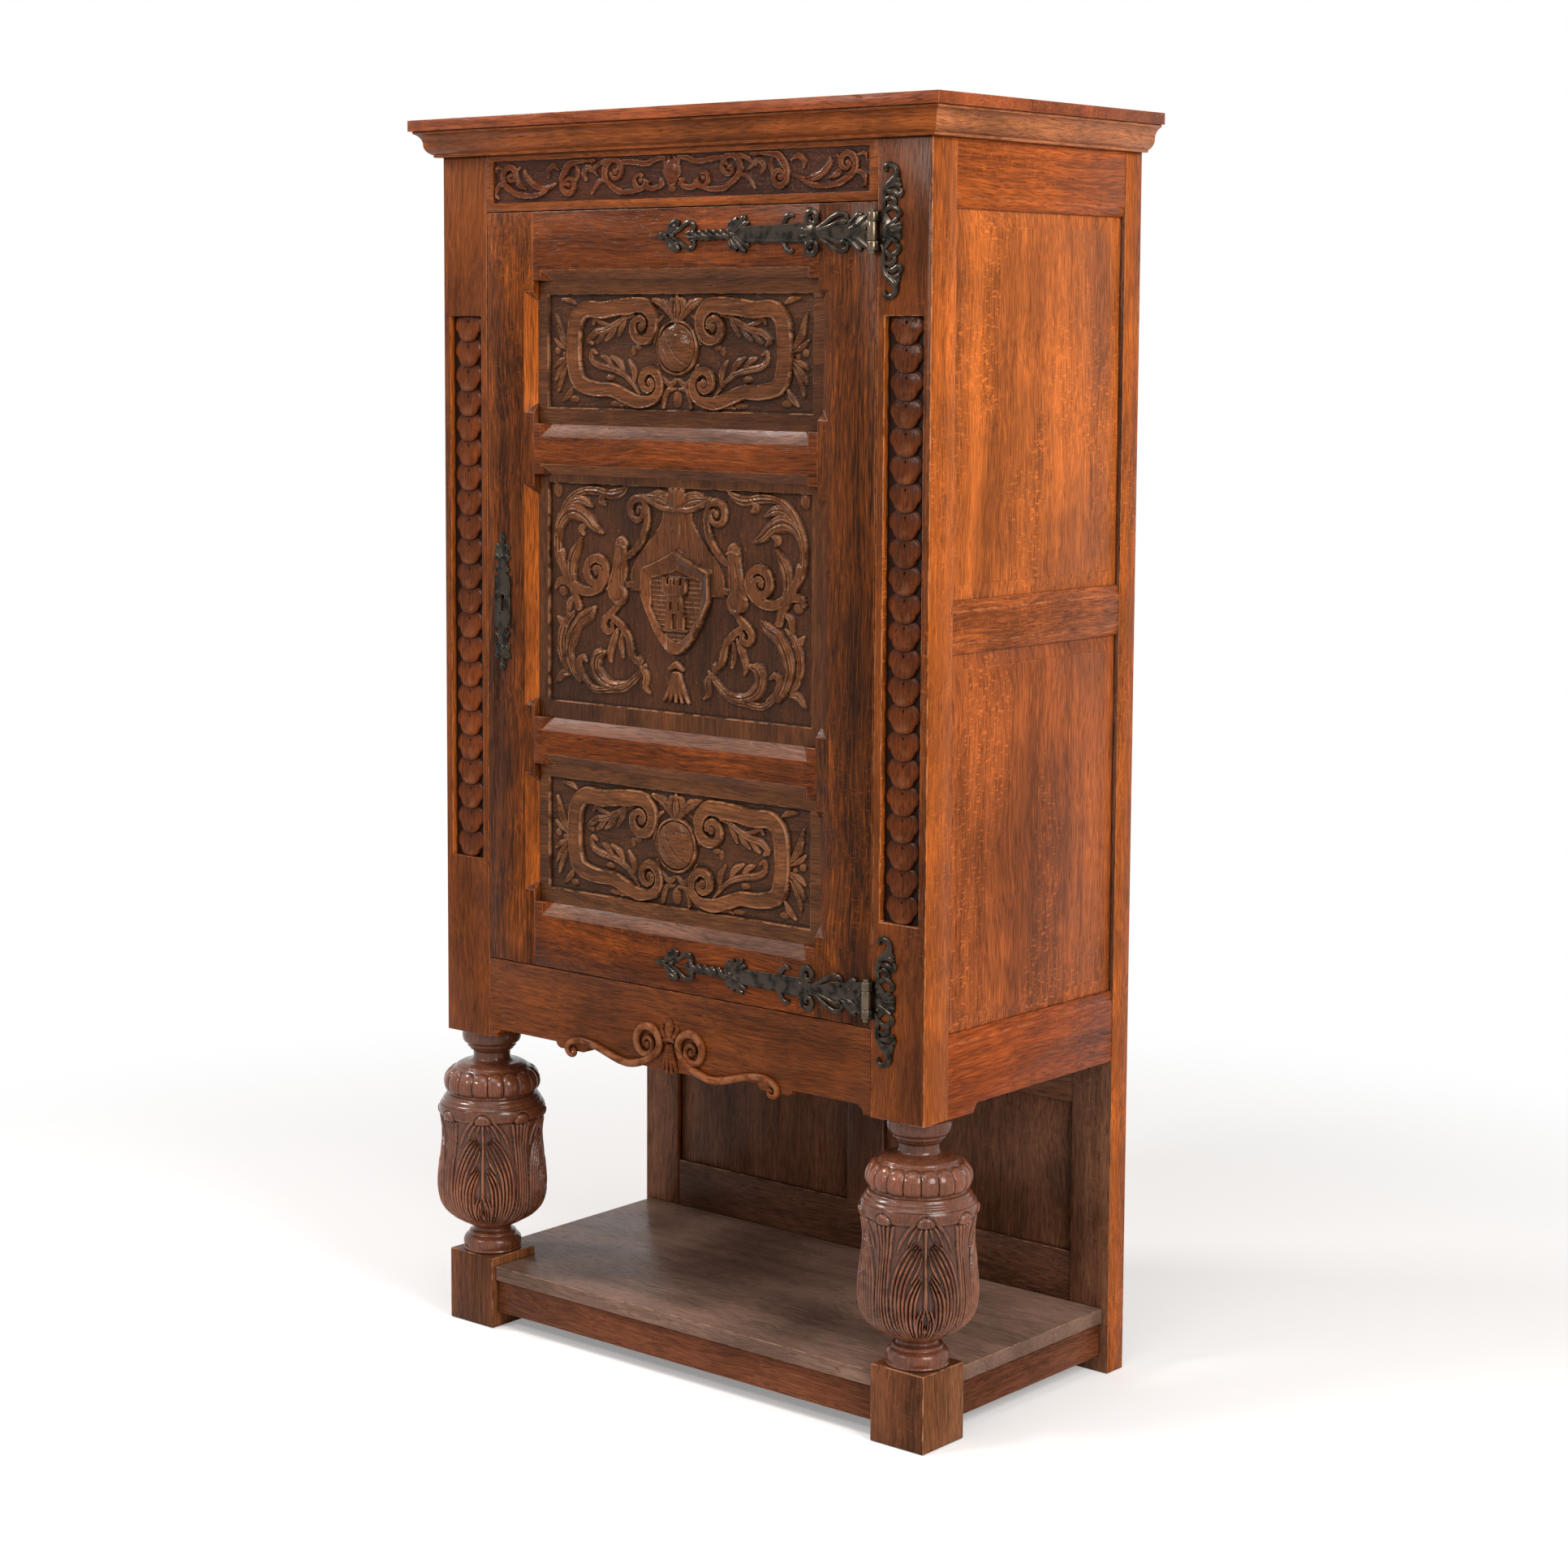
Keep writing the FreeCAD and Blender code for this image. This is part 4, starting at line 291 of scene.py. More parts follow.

# %% The oak group's dirt, wear and gloss
# grime and painted shade: the hollow attribute darkens recesses, and an Ambient Occlusion node
# paints the shade that falls in nooks and between parts
hollow = node(OAK, "ShaderNodeAttribute", attribute_name="hollow").outputs["Fac"]
nook = node(OAK, "ShaderNodeAmbientOcclusion", samples=5)
nook.inputs["Distance"].default_value = 0.007
shut = between(OAK, nook.outputs["AO"], 0.25, 0.74, 1, 0)
dirt_and_shade = times(sums(OAK, "MAXIMUM", hollow, shut), given.outputs["DirtAndShade"], True)
body = mixed(OAK, dirt_and_shade, body, SHADE_AND_GRIME)
# varnish worn off the edges, and a painted highlight on carved ridges
edge = node(OAK, "ShaderNodeAttribute", attribute_name="edge").outputs["Fac"]
worn_and_highlit = times(edge, between(OAK, noise(OAK, board, 55, 3).outputs["Fac"], 0.4, 0.6), True)
worn_and_highlit = times(worn_and_highlit, sums(OAK, "SUBTRACT", 1.0, shut))
worn_and_highlit = times(worn_and_highlit, given.outputs["WearAndSheen"], True)
body = mixed(OAK, worn_and_highlit, body, mixed(OAK, 0.5, pale, WORN_AND_LIT_WOOD))
# gloss of the varnish, dull under grime and painted shade or where open-pored, and the grain's
# relief
gloss = between(OAK, cloud, 0.3, 0.75, 0.22, 0.36)
gloss = sums(OAK, "ADD", gloss, times(dirt_and_shade, 0.25))
gloss = sums(OAK, "ADD", gloss, times(pored, 0.15), True)
relief = sums(OAK, "SUBTRACT", times(fibres, 0.6), pored)
relief = sums(OAK, "ADD", relief, times(bands, 0.5))
for name, source in (("Color", body), ("Roughness", gloss), ("Height", relief)):
    link(OAK, source, result.inputs[name])
print("oak figure:", len(OAK.nodes), "nodes")

# %% Tones
GRAIN = {"x": (0, math.radians(-90), 0), "y": (math.radians(90), 0, 0), "z": (0, 0, 0)}
DARK_SHARE, PALE_SHARE = 0.42, 1.7  # of the middle tone
# the middle tone of each timber; its dark and pale grain are shares of it
# painted light: the faces turned to the right (side, post_flank, side_low, side_rail, side_foot,
# cornice_side, block_side) are lit copies, brighter than the front's tones; slope is a painted
# reflection on chamfers facing up, eaves a greyer painted reflection of the floor on chamfers
# facing down
TONES = {
    "side": (181, 96, 40),
    "post_flank": (172, 88, 30),
    "side_low": (162, 84, 39),
    "side_rail": (175, 87, 34),
    "side_foot": (161, 75, 29),
    "front": (115, 58, 22),
    "cornice": (150, 79, 35),
    "cornice_side": (172, 105, 65),
    "block": (117, 70, 44),
    "block_side": (141, 86, 48),
    "door": (112, 55, 16),
    "hinge_stile": (97, 47, 11),
    "door_rail": (111, 53, 18),
    "slope": (126, 86, 68),
    "eaves": (108, 64, 38),
    "carved": (105, 60, 31),
    "carved_low": (122, 73, 40),
    "frieze": (103, 50, 23),
    "baluster": (134, 76, 50),
    "scales": (108, 50, 14),
    "top": (150, 76, 40),
    "platform": (130, 102, 88),
    "stage_rail": (108, 61, 38),
    "inner": (150, 104, 68),
    "back": (113, 74, 53),
    "back_foot": (90, 57, 40),
}
seeds = np.random.default_rng(7)


# %% A timber's own finish
def bumped(tree, shader, height, strength, distance):
    """Lets a height move the shader's normal."""
    bump = node(tree, "ShaderNodeBump")
    bump.inputs["Strength"].default_value = strength
    bump.inputs["Distance"].default_value = distance
    link(tree, height, bump.inputs["Height"])
    link(tree, bump.outputs[0], shader.inputs["Normal"])


def oak(name, grain, tone, fleck=0.35, wear_and_sheen=0.7, dirt_and_shade=0.75, depth=0.00035, shine=0.1,
        contrast=1.0, polish=0.0):
    """A varnished oak whose figure runs along one axis, shifted to its own part of the tree."""
    finish, tree, varnish = new_finish(name, Specular_IOR_Level=shine)
    laid = node(tree, "ShaderNodeMapping", i0=node(tree, "ShaderNodeTexCoord").outputs["Object"])
    laid.inputs["Rotation"].default_value = GRAIN[grain]
    laid.inputs["Location"].default_value = seeds.uniform(-9, 9, 3)
    figure = node(tree, "ShaderNodeGroup", node_tree=OAK)
    middle = srgb(*TONES[tone])
    for key, value in (("Dark", share(middle, DARK_SHARE ** contrast)), ("Middle", middle),
                       ("Pale", share(middle, PALE_SHARE ** contrast)), ("Fleck", fleck),
                       ("WearAndSheen", wear_and_sheen), ("DirtAndShade", dirt_and_shade)):
        figure.inputs[key].default_value = value
    link(tree, laid.outputs[0], figure.inputs["Board"])
    link(tree, figure.outputs["Color"], varnish.inputs["Base Color"])
    link(tree, sums(tree, "SUBTRACT", figure.outputs["Roughness"], polish),
         varnish.inputs["Roughness"])
    bumped(tree, varnish, figure.outputs["Height"], 0.6, depth)
    return finish


# %% [markdown]
# ## Timbers with worn arrises
# A sawn solid has knife-sharp edges, and old oak never has. Each visible timber is a
# copy of its solid, merged into one skin, cleared of needless edges and given a small
# round bevel. The middle line of that bevel gets the edge attribute, for the rubbed
# varnish.

# %% Copying a solid and rounding its arrises
def alone(piece):
    """Selects one piece and nothing else."""
    bpy.ops.object.select_all(action="DESELECT")
    piece.select_set(True)
    bpy.context.view_layer.objects.active = piece


def edit_all(piece):
    """Opens edit mode on one piece, with all of it selected."""
    alone(piece)
    bpy.ops.object.mode_set(mode="EDIT")
    bpy.ops.mesh.select_all(action="SELECT")


def moved(piece, rule):
    """Puts each vertex where a rule of its x, y and z says."""
    for vertex in piece.data.vertices:
        vertex.co = rule(*vertex.co)
    return piece


def copied(name):
    """A merged copy of a node's mesh, free of needless edges."""
    piece = placed(name + "_oak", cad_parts[name].data.copy())
    piece.data.materials.clear()
    edit_all(piece)
    bpy.ops.mesh.remove_doubles(threshold=0.00002)
    bpy.ops.mesh.dissolve_limited(angle_limit=math.radians(0.4))
    bpy.ops.object.mode_set(mode="OBJECT")
    return piece


# %% Rounding arrises and marking them
def eased_arrises(piece, width, segments=2, sharp=30, clamp=True, material=-1):
    """Bevels the active piece's edges that turn by more than sharp degrees; width in mm."""
    bevel = piece.modifiers.new("arris", "BEVEL")
    bevel.width = width * MM
    bevel.segments = segments
    bevel.limit_method = "ANGLE"
    bevel.angle_limit = math.radians(sharp)
    bevel.use_clamp_overlap = clamp
    bevel.material = material
    bpy.ops.object.modifier_apply(modifier="arris")


def point_value(piece, name, values):
    """Gives the mesh an attribute with one value for each vertex."""
    layer = piece.data.attributes.new(name, "FLOAT", "POINT")
    layer.data.foreach_set("value", np.asarray(values, np.float32))


def mark_arrises(piece):
    """Gives the edge attribute to the vertices that lie on bevel faces only."""
    mesh = piece.data
    flat = set()
    for face in mesh.polygons:
        if face.material_index == 0:
            flat.update(face.vertices)
    point_value(piece, "edge", [0.0 if v.index in flat else 1.0 for v in mesh.vertices])
    mesh.polygons.foreach_set("material_index", [0] * len(mesh.polygons))


# %% Finish, body and slot
def settle(piece, body, slot, finish, *nodes):
    """Finish and body of a ready piece, and the nodes it stands for; slot is not used."""
    if finish:
        piece.data.materials.clear()
        piece.data.materials.append(finish)
    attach(piece, body)
    if nodes:
        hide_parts(*nodes)


def tinted(piece, finish, chosen):
    """Gives another finish to the faces whose normal is chosen."""
    piece.data.materials.append(finish)
    for face in piece.data.polygons:
        if chosen(face.normal):
            face.material_index = len(piece.data.materials) - 1


# %% One timber
FOOT_CHAMFER = 12.5 * MM


def soften(name, width, finish, body="carcase", slot="frame_oak", flank=None, eased_foot=1.0):
    """The visible timber for one node; flank is the finish of its left and right faces, a brighter
    lit copy of its oak that is painted light. The chamfer at its lower edge grows by eased_foot."""
    piece = copied(name)
    foot = min(v.co.z for v in piece.data.vertices)
    moved(piece, lambda x, y, z: (
        x, y, foot + (z - foot) * eased_foot if z - foot < FOOT_CHAMFER else z))
    piece.data.materials.append(finish)
    piece.data.materials.append(finish)
    eased_arrises(piece, width, sharp=35, clamp=False, material=1)
    mark_arrises(piece)
    bpy.ops.object.shade_smooth_by_angle(angle=math.radians(40))
    settle(piece, body, slot, finish, name)
    if flank:
        tinted(piece, flank, lambda normal: abs(normal.x) > 0.7)
    return piece


# %% The carcase timbers
TIMBERS = [
    # node, grain, tone, fleck, wear_and_sheen, arris
    ("left_front_post", "z", "front", 0.25, 0.8, 1.2),
    ("right_front_post", "z", "front", 0.5, 1.0, 2.0),
    ("left_back_post", "z", "back", 0.4, 0.6, 1.2),
    ("right_back_post", "z", "back", 0.5, 0.7, 1.2),
    ("frieze_rail", "x", "cornice", 0.15, 0.5, 0.8),
    ("front_cornice", "x", "cornice", 0.15, 0.8, 0.9),
    ("left_cornice", "y", "cornice_side", 0.15, 0.8, 0.9),
    ("right_cornice", "y", "cornice_side", 0.2, 0.8, 0.9),
    ("top_board", "x", "top", 0.1, 0.5, 0.8),
    ("left_top_rail", "y", "side_rail", 0.3, 0.6, 0.7),
    ("right_top_rail", "y", "side_rail", 0.3, 0.7, 0.7),
    ("left_mid_rail", "y", "side_low", 0.3, 0.6, 0.7),
    ("right_mid_rail", "y", "side_low", 0.3, 0.9, 0.7),
    ("left_bottom_rail", "y", "side_foot", 0.3, 0.6, 0.7),
    ("right_bottom_rail", "y", "side_foot", 0.3, 0.7, 0.7),
    ("left_upper_panel", "z", "side", 0.6, 0.5, 0.5),
    ("right_upper_panel", "z", "side", 0.7, 0.6, 0.5),
    ("left_lower_panel", "z", "side_low", 0.6, 0.5, 0.5),
    ("right_lower_panel", "z", "side_low", 0.7, 0.6, 0.5),
]
for name, grain, tone, fleck, wear_and_sheen, arris in TIMBERS:
    flank = None
    # painted light: the posts' faces turned left and right get a brighter lit copy of their oak
    if name.endswith("_post"):
        flank = oak(name + "_flank", "z", "post_flank", fleck, wear_and_sheen)
    soften(name, arris, oak(name + "_finish", grain, tone, fleck, wear_and_sheen), flank=flank)
print(len(TIMBERS), "carcase timbers")

# %% [markdown]
# ## The door's frame
# The stiles and rails are chamfered at the front. A chamfer that faces up gets a pale,
# greyish painted reflection, and one that faces down a greyer painted reflection of the
# floor; the chamfers facing right get a lit copy of the flank tone, painted light. Each
# kind gets a finish of its own, which goes to the faces by the direction of their normals.

# %% The door's timbers
# painted light: upper_slope is a painted reflection, lower_slope a painted reflection of the floor,
# side_slope a lit copy for the chamfers facing right
upper_slope = oak("upper_slope", "x", "slope", 0.2, 0.8, shine=0.2)
lower_slope = oak("lower_slope", "x", "eaves", 0.2, 0.8)
side_slope = oak("side_slope", "z", "post_flank", 0.2, 0.8)


def sloping(normal):
    """Whether a face of the door's frame belongs to a chamfer at its front."""
    return normal.y < -0.35


for name, tone in (("lock_stile", "door"), ("hinge_stile", "hinge_stile")):
    timber = soften(name, 0.8, oak(name + "_finish", "z", tone, 0.2, 0.7, contrast=2.1), "door")
    tinted(timber, side_slope, lambda normal: normal.x > 0.45 and sloping(normal))
for place, eased_foot in (("top", 1.25), ("upper", 1.25), ("lower", 1.25), ("bottom", 1.0)):
    name = "door_" + place + "_rail"
    timber = soften(name, 0.8, oak(name + "_finish", "x", "door_rail", 0.2, 0.7, contrast=1.4),
                    "door", eased_foot=eased_foot)
    tinted(timber, upper_slope, lambda normal: normal.z > 0.2 and sloping(normal))
    tinted(timber, lower_slope, lambda normal: normal.z < -0.45 and sloping(normal))
print("the door's frame")

# %% [markdown]
# ## The lower stage, the back and the inside
# The platform is scrubbed pale and has almost no gloss left. The boards inside never saw
# the varnish brush, so they are paler than the outside. All are made as the others are.

# %% Lower stage, back and inside
for name, grain, tone in (
        ("platform_board", "x", "platform"), ("platform_front_rail", "x", "stage_rail"),
        ("left_platform_rail", "y", "stage_rail"), ("right_platform_rail", "y", "stage_rail"),
        ("left_foot_block", "z", "block"), ("right_foot_block", "z", "block"),
        ("back_top_rail", "x", "inner"), ("back_mid_rail", "x", "inner"),
        ("back_cupboard_rail", "x", "back"), ("back_foot_rail", "x", "back_foot"),
        ("back_muntins", "z", "back"), ("upper_back_panels", "z", "inner"),
        ("lower_back_panels", "z", "back"), ("cupboard_floor", "x", "inner"),
        ("lower_shelf", "x", "inner"), ("upper_shelf", "x", "inner"),
        ("shelf_cleats", "y", "inner")):
    slot = {"platform": "platform_oak", "stage_rail": "frame_oak",
            "block": "frame_oak"}.get(tone, "inner_oak")
    shine, contrast = (0.03, 0.6) if tone == "platform" else (0.08, 1.0)
    flank, arris = None, 1.3
    # painted light: the foot blocks' faces turned left and right get a brighter lit copy of their
    # oak
    if tone == "block":
        flank, arris = oak(name + "_flank", "z", "block_side", 0.2, 1.0), 2.0
    soften(name, arris, oak(name + "_finish", grain, tone, 0.2, 1.0, shine=shine,
                            contrast=contrast), slot=slot, flank=flank)
print("lower stage, back and inside")

# %% [markdown]
# ## The carver's board
# Low relief is a height above a ground, so a carving is a fine grid whose points are
# pushed forward. The carver's strokes are lines with a width at each point: a strap has
# a flat top with raised edges, a leaf a rounded body with a gouged vein, a stem a round
# back. Where strokes cross, the higher one wins, as in the wood.

# %% Lines
def eased(value):
    """0 below 0, 1 above 1, and a soft step between."""
    value = np.clip(value, 0, 1)
    return value * value * (3 - 2 * value)


def through(points, step):
    """A smooth line through points of any width, sampled about every step."""
    p = np.array(points, float)
    p = np.vstack([2 * p[0] - p[1], p, 2 * p[-1] - p[-2]])
    line = []
    for a, b, c, d in zip(p, p[1:], p[2:], p[3:]):
        count = max(2, int(np.hypot(*(c - b)[:2]) / step))
        for t in np.arange(count) / count:
            line.append(0.5 * (2 * b + (c - a) * t + (2 * a - 5 * b + 4 * c - d) * t * t
                               + (3 * b - 3 * c + d - a) * t ** 3))
    line.append(p[-2])
    return np.array(line)


def spiral(x, z, start, turn, radii, widths):
    """Points of a volute about an eye. Radii and widths are given for each quarter turn
    from the start angle."""
    points = []
    for k in range(3 * (len(radii) - 1) + 1):
        radius = np.interp(k / 3, range(len(radii)), radii)
        width = np.interp(k / 3, range(len(widths)), widths)
        angle = math.radians(start + turn * 30 * k)
        points.append((x + radius * math.cos(angle), z + radius * math.sin(angle), width))
    return points


def averaged(values, kernel, axis, mode="edge"):
    """Values smoothed along one axis by a kernel of weights."""
    n = len(kernel) // 2
    return np.apply_along_axis(
        lambda row: np.convolve(np.pad(row, n, mode=mode), kernel, "valid"), axis, values)


def even(count):
    """A kernel of equal weights."""
    return np.ones(count) / count


# %% The forms of a stroke's section, u from -1 to 1 across it
def strap(u):
    """A flat top between two raised edges."""
    edges = 0.18 * np.exp(-((np.abs(u) - 0.84) / 0.11) ** 2)
    return 0.74 + 0.14 * (1 - u * u) + edges - 0.8 * eased((np.abs(u) - 0.9) / 0.14)


def rounded(u):
    """A round back."""
    return np.sqrt(np.clip(1 - u * u, 0, 1)) ** 0.8


def leaf(u):
    """A rounded body with a gouged vein and shallow folds."""
    body = np.clip(1 - np.abs(u) ** 2.4, 0, 1) ** 0.7
    vein = 1 - 0.32 * np.exp(-(u / 0.16) ** 2)
    return body * vein * (1 - 0.1 * np.cos(u * 14) * eased(np.abs(u) * 3))


def blade(u):
    """A leaf that is hollow on one side and rises to a sharp edge on the other."""
    return np.clip(1 - np.abs(u) ** 3, 0, 1) ** 0.6 * (0.66 + 0.3 * u + 0.18 * np.cos(u * 9))


# %% The board
class Relief:
    """Heights over a flat ground, in mm. What is drawn on it is placed about an origin,
    and its lines are made wider by swell."""

    def __init__(self, left, right, foot, head, pitch, origin=(0, 0), swell=1.0):
        self.x = np.linspace(left, right, int(round((right - left) / pitch)) + 1)
        self.z = np.linspace(foot, head, int(round((head - foot) / pitch)) + 1)
        self.pitch = self.x[1] - self.x[0]
        self.height = np.zeros((len(self.z), len(self.x)), np.float32)
        self.origin, self.swell = origin, swell

    def window(self, x0, x1, z0, z1):
        """The rows and columns of the grid inside a rectangle."""
        i = slice(*np.searchsorted(self.x, (x0, x1)))
        j = slice(*np.searchsorted(self.z, (z0, z1)))
        return j, i

    def near(self, points, step, spare):
        """A line, the rows and columns beside it, their x and z, and how far each of
        them lies from each point of the line, squared."""
        placed_points = [(self.origin[0] + x, self.origin[1] + z, width * self.swell)
                         for x, z, width in points]
        line = through(placed_points, step).astype(np.float32)
        reach = line[:, 2].max() * spare + 1
        j, i = self.window(line[:, 0].min() - reach, line[:, 0].max() + reach,
                           line[:, 1].min() - reach, line[:, 1].max() + reach)
        x, z = np.meshgrid(self.x[i].astype(np.float32), self.z[j].astype(np.float32))
        apart = (x[..., None] - line[:, 0]) ** 2 + (z[..., None] - line[:, 1]) ** 2
        return line, (j, i), x, z, apart

    def stroke(self, form, rise, *points, lobes=0, step=2.0):
        """One stroke through points of (x, z, half width); lobes scallop its edges."""
        line, here, x, z, apart = self.near(points, step, 1.3)
        best = apart.argmin(-1)
        run = np.gradient(line[:, :2], axis=0)
        run /= np.hypot(run[:, 0], run[:, 1])[:, None] + 1e-9
        off_x, off_z = x - line[best, 0], z - line[best, 1]
        cross = run[best, 0] * off_z - run[best, 1] * off_x
        ends = (best == 0) | (best == len(line) - 1)
        across = np.where(ends, np.copysign(np.sqrt(apart.min(-1)), cross), cross)
        width = np.maximum(line[best, 2], 0.3)
        if lobes:
            along = best / (len(line) - 1)
            width = width * (0.86 + 0.2 * np.abs(np.sin(along * math.pi * lobes)))
        u = across / width
        made = np.where(np.abs(u) < 1, rise * form(np.clip(u, -1, 1)), 0)
        self.height[here] = np.maximum(self.height[here], made)

    def dome(self, x, z, wide, tall, rise, power=0.5, base=0.0):
        """A boss with two half axes."""
        x, z = self.origin[0] + x, self.origin[1] + z
        here = self.window(x - wide, x + wide, z - tall, z + tall)
        off_x, off_z = np.meshgrid((self.x[here[1]] - x) / wide, (self.z[here[0]] - z) / tall)
        body = np.clip(1 - off_x ** 2 - off_z ** 2, 0, 1)
        made = np.where(body > 0, base + rise * body ** power, 0)
        self.height[here] = np.maximum(self.height[here], made)

    def cut(self, depth, *points):
        """A cut along a line, as deep as given, only where something stands."""
        line, here, x, z, apart = self.near(points, 1.5, 1.5)
        u = np.sqrt(apart.min(-1)) / np.maximum(line[apart.argmin(-1), 2], 0.3)
        taken = depth * np.exp(-(u * 1.6) ** 2)
        stands = self.height[here]
        self.height[here] = np.where(stands > 0.4, np.maximum(stands - taken, 0.2), stands)

    def twin(self):
        """The left half becomes the mirror image of the right half."""
        self.height = np.maximum(self.height, self.height[:, ::-1])

    def blurred(self, reach):
        """Heights averaged over a square of the given reach in millimetres."""
        kernel = even(2 * max(1, int(round(reach / self.pitch))) + 1)
        return averaged(averaged(self.height.astype(float), kernel, 0), kernel, 1)


def by_hand(relief, seed, unevenness=0.25):
    """The small unevenness that a gouge leaves, most of it on the ground."""
    draw = np.random.default_rng(seed)
    rows, columns = relief.height.shape

    def patches(size, spare):
        """Random heights in square patches of a size in grid points."""
        heights = draw.normal(size=(rows // size + spare, columns // size + spare))
        return heights.repeat(size, 0).repeat(size, 1)[:rows, :columns]

    fine = averaged(patches(2, 1), np.array([0.25, 0.5, 0.25]), 0)
    broad = patches(7, 2)
    for axis in (0, 1) * 3:
        broad = averaged(broad, even(7), axis)
    ground = relief.height < 0.3
    relief.height = relief.height + unevenness * broad + np.where(ground, 0.16, 0.05) * fine


# %% From heights to a carved board
def grid_points(columns, rows):
    """A new grid and, for each of its vertices, the column and row it stands in."""
    bpy.ops.object.select_all(action="DESELECT")
    bpy.ops.mesh.primitive_grid_add(x_subdivisions=columns - 1, y_subdivisions=rows - 1, size=1)
    board = bpy.context.active_object
    flat = np.empty(len(board.data.vertices) * 3)
    board.data.vertices.foreach_get("co", flat)
    flat = flat.reshape(-1, 3)
    i = np.rint((flat[:, 0] + 0.5) * (columns - 1)).astype(int)
    j = np.rint((flat[:, 1] + 0.5) * (rows - 1)).astype(int)
    return board, i, j


def shape_grid(board, x, y, z, hollow, edge):
    """Moves a grid's points to places in mm and gives them their hollow values, grime and painted
    shade, and their edge values, worn varnish and painted highlight.
    """
    board.data.vertices.foreach_set("co", (np.column_stack([x, y, z]) * MM).ravel())
    point_value(board, "hollow", hollow)
    point_value(board, "edge", edge)


def select_rims():
    """Selects the open edges in edit mode."""
    bpy.ops.mesh.select_mode(type="EDGE")
    bpy.ops.mesh.select_all(action="DESELECT")
    bpy.ops.mesh.select_non_manifold(extend=False)


def carved(name, relief, ground, back, border=0.0):
    """The carved board: heights above the ground plane, walls to the back plane, all in mm.
    The outer three rows are its border, darkened a little by painted shade."""
    height = relief.height
    # hollow darkens the recesses and the sunk ground, grime and painted shade; ridge pales the
    # crests, worn varnish and a painted highlight
    low_ground = np.where(height < 0.8, 0.62, 0)
    hollow = np.clip((relief.blurred(3.2) - height) / 2.0 + low_ground, 0, 1)
    ridge = np.clip((height - relief.blurred(1.6)) / 0.7 - 0.12, 0, 1)
    if border:
        for outer in (np.s_[:3], np.s_[-3:], np.s_[:, :3], np.s_[:, -3:]):
            hollow[outer] = border
    board, i, j = grid_points(len(relief.x), len(relief.z))
    board.name = name
    shape_grid(board, relief.x[i], ground - height[j, i], relief.z[j],
               hollow[j, i], ridge[j, i])
    edit_all(board)
    select_rims()
    wall = (0, (back - ground) * MM, 0)
    bpy.ops.mesh.extrude_edges_move(TRANSFORM_OT_translate={"value": wall})
    bpy.ops.object.mode_set(mode="OBJECT")
    for vertex in board.data.vertices:
        if vertex.select:
            vertex.co.y = back * MM
    bpy.ops.object.mode_set(mode="EDIT")
    bpy.ops.mesh.edge_face_add()
    bpy.ops.object.mode_set(mode="OBJECT")
    bpy.ops.object.shade_smooth_by_angle(angle=math.radians(50))
    print(name, len(board.data.polygons), "faces")
    return board


def carved_finish(name, grain, tone):
    """The finish of all low relief: worn and given a painted highlight on its ridges, dirty and
    given painted shade in its ground.
    """
    return oak(name, grain, tone, fleck=0.1, wear_and_sheen=0.9, dirt_and_shade=0.92, depth=0.0003, shine=0.12,
               polish=0.17)


# %% [markdown]
# ## The end panels of the door
# The top and bottom panels share one design: a broad strap in the shape of a C on each
# side, each end rolled into a volute, leafy sprays inside, and a domed boss between.
# Half of it is carved and mirrored, and the boss comes last.

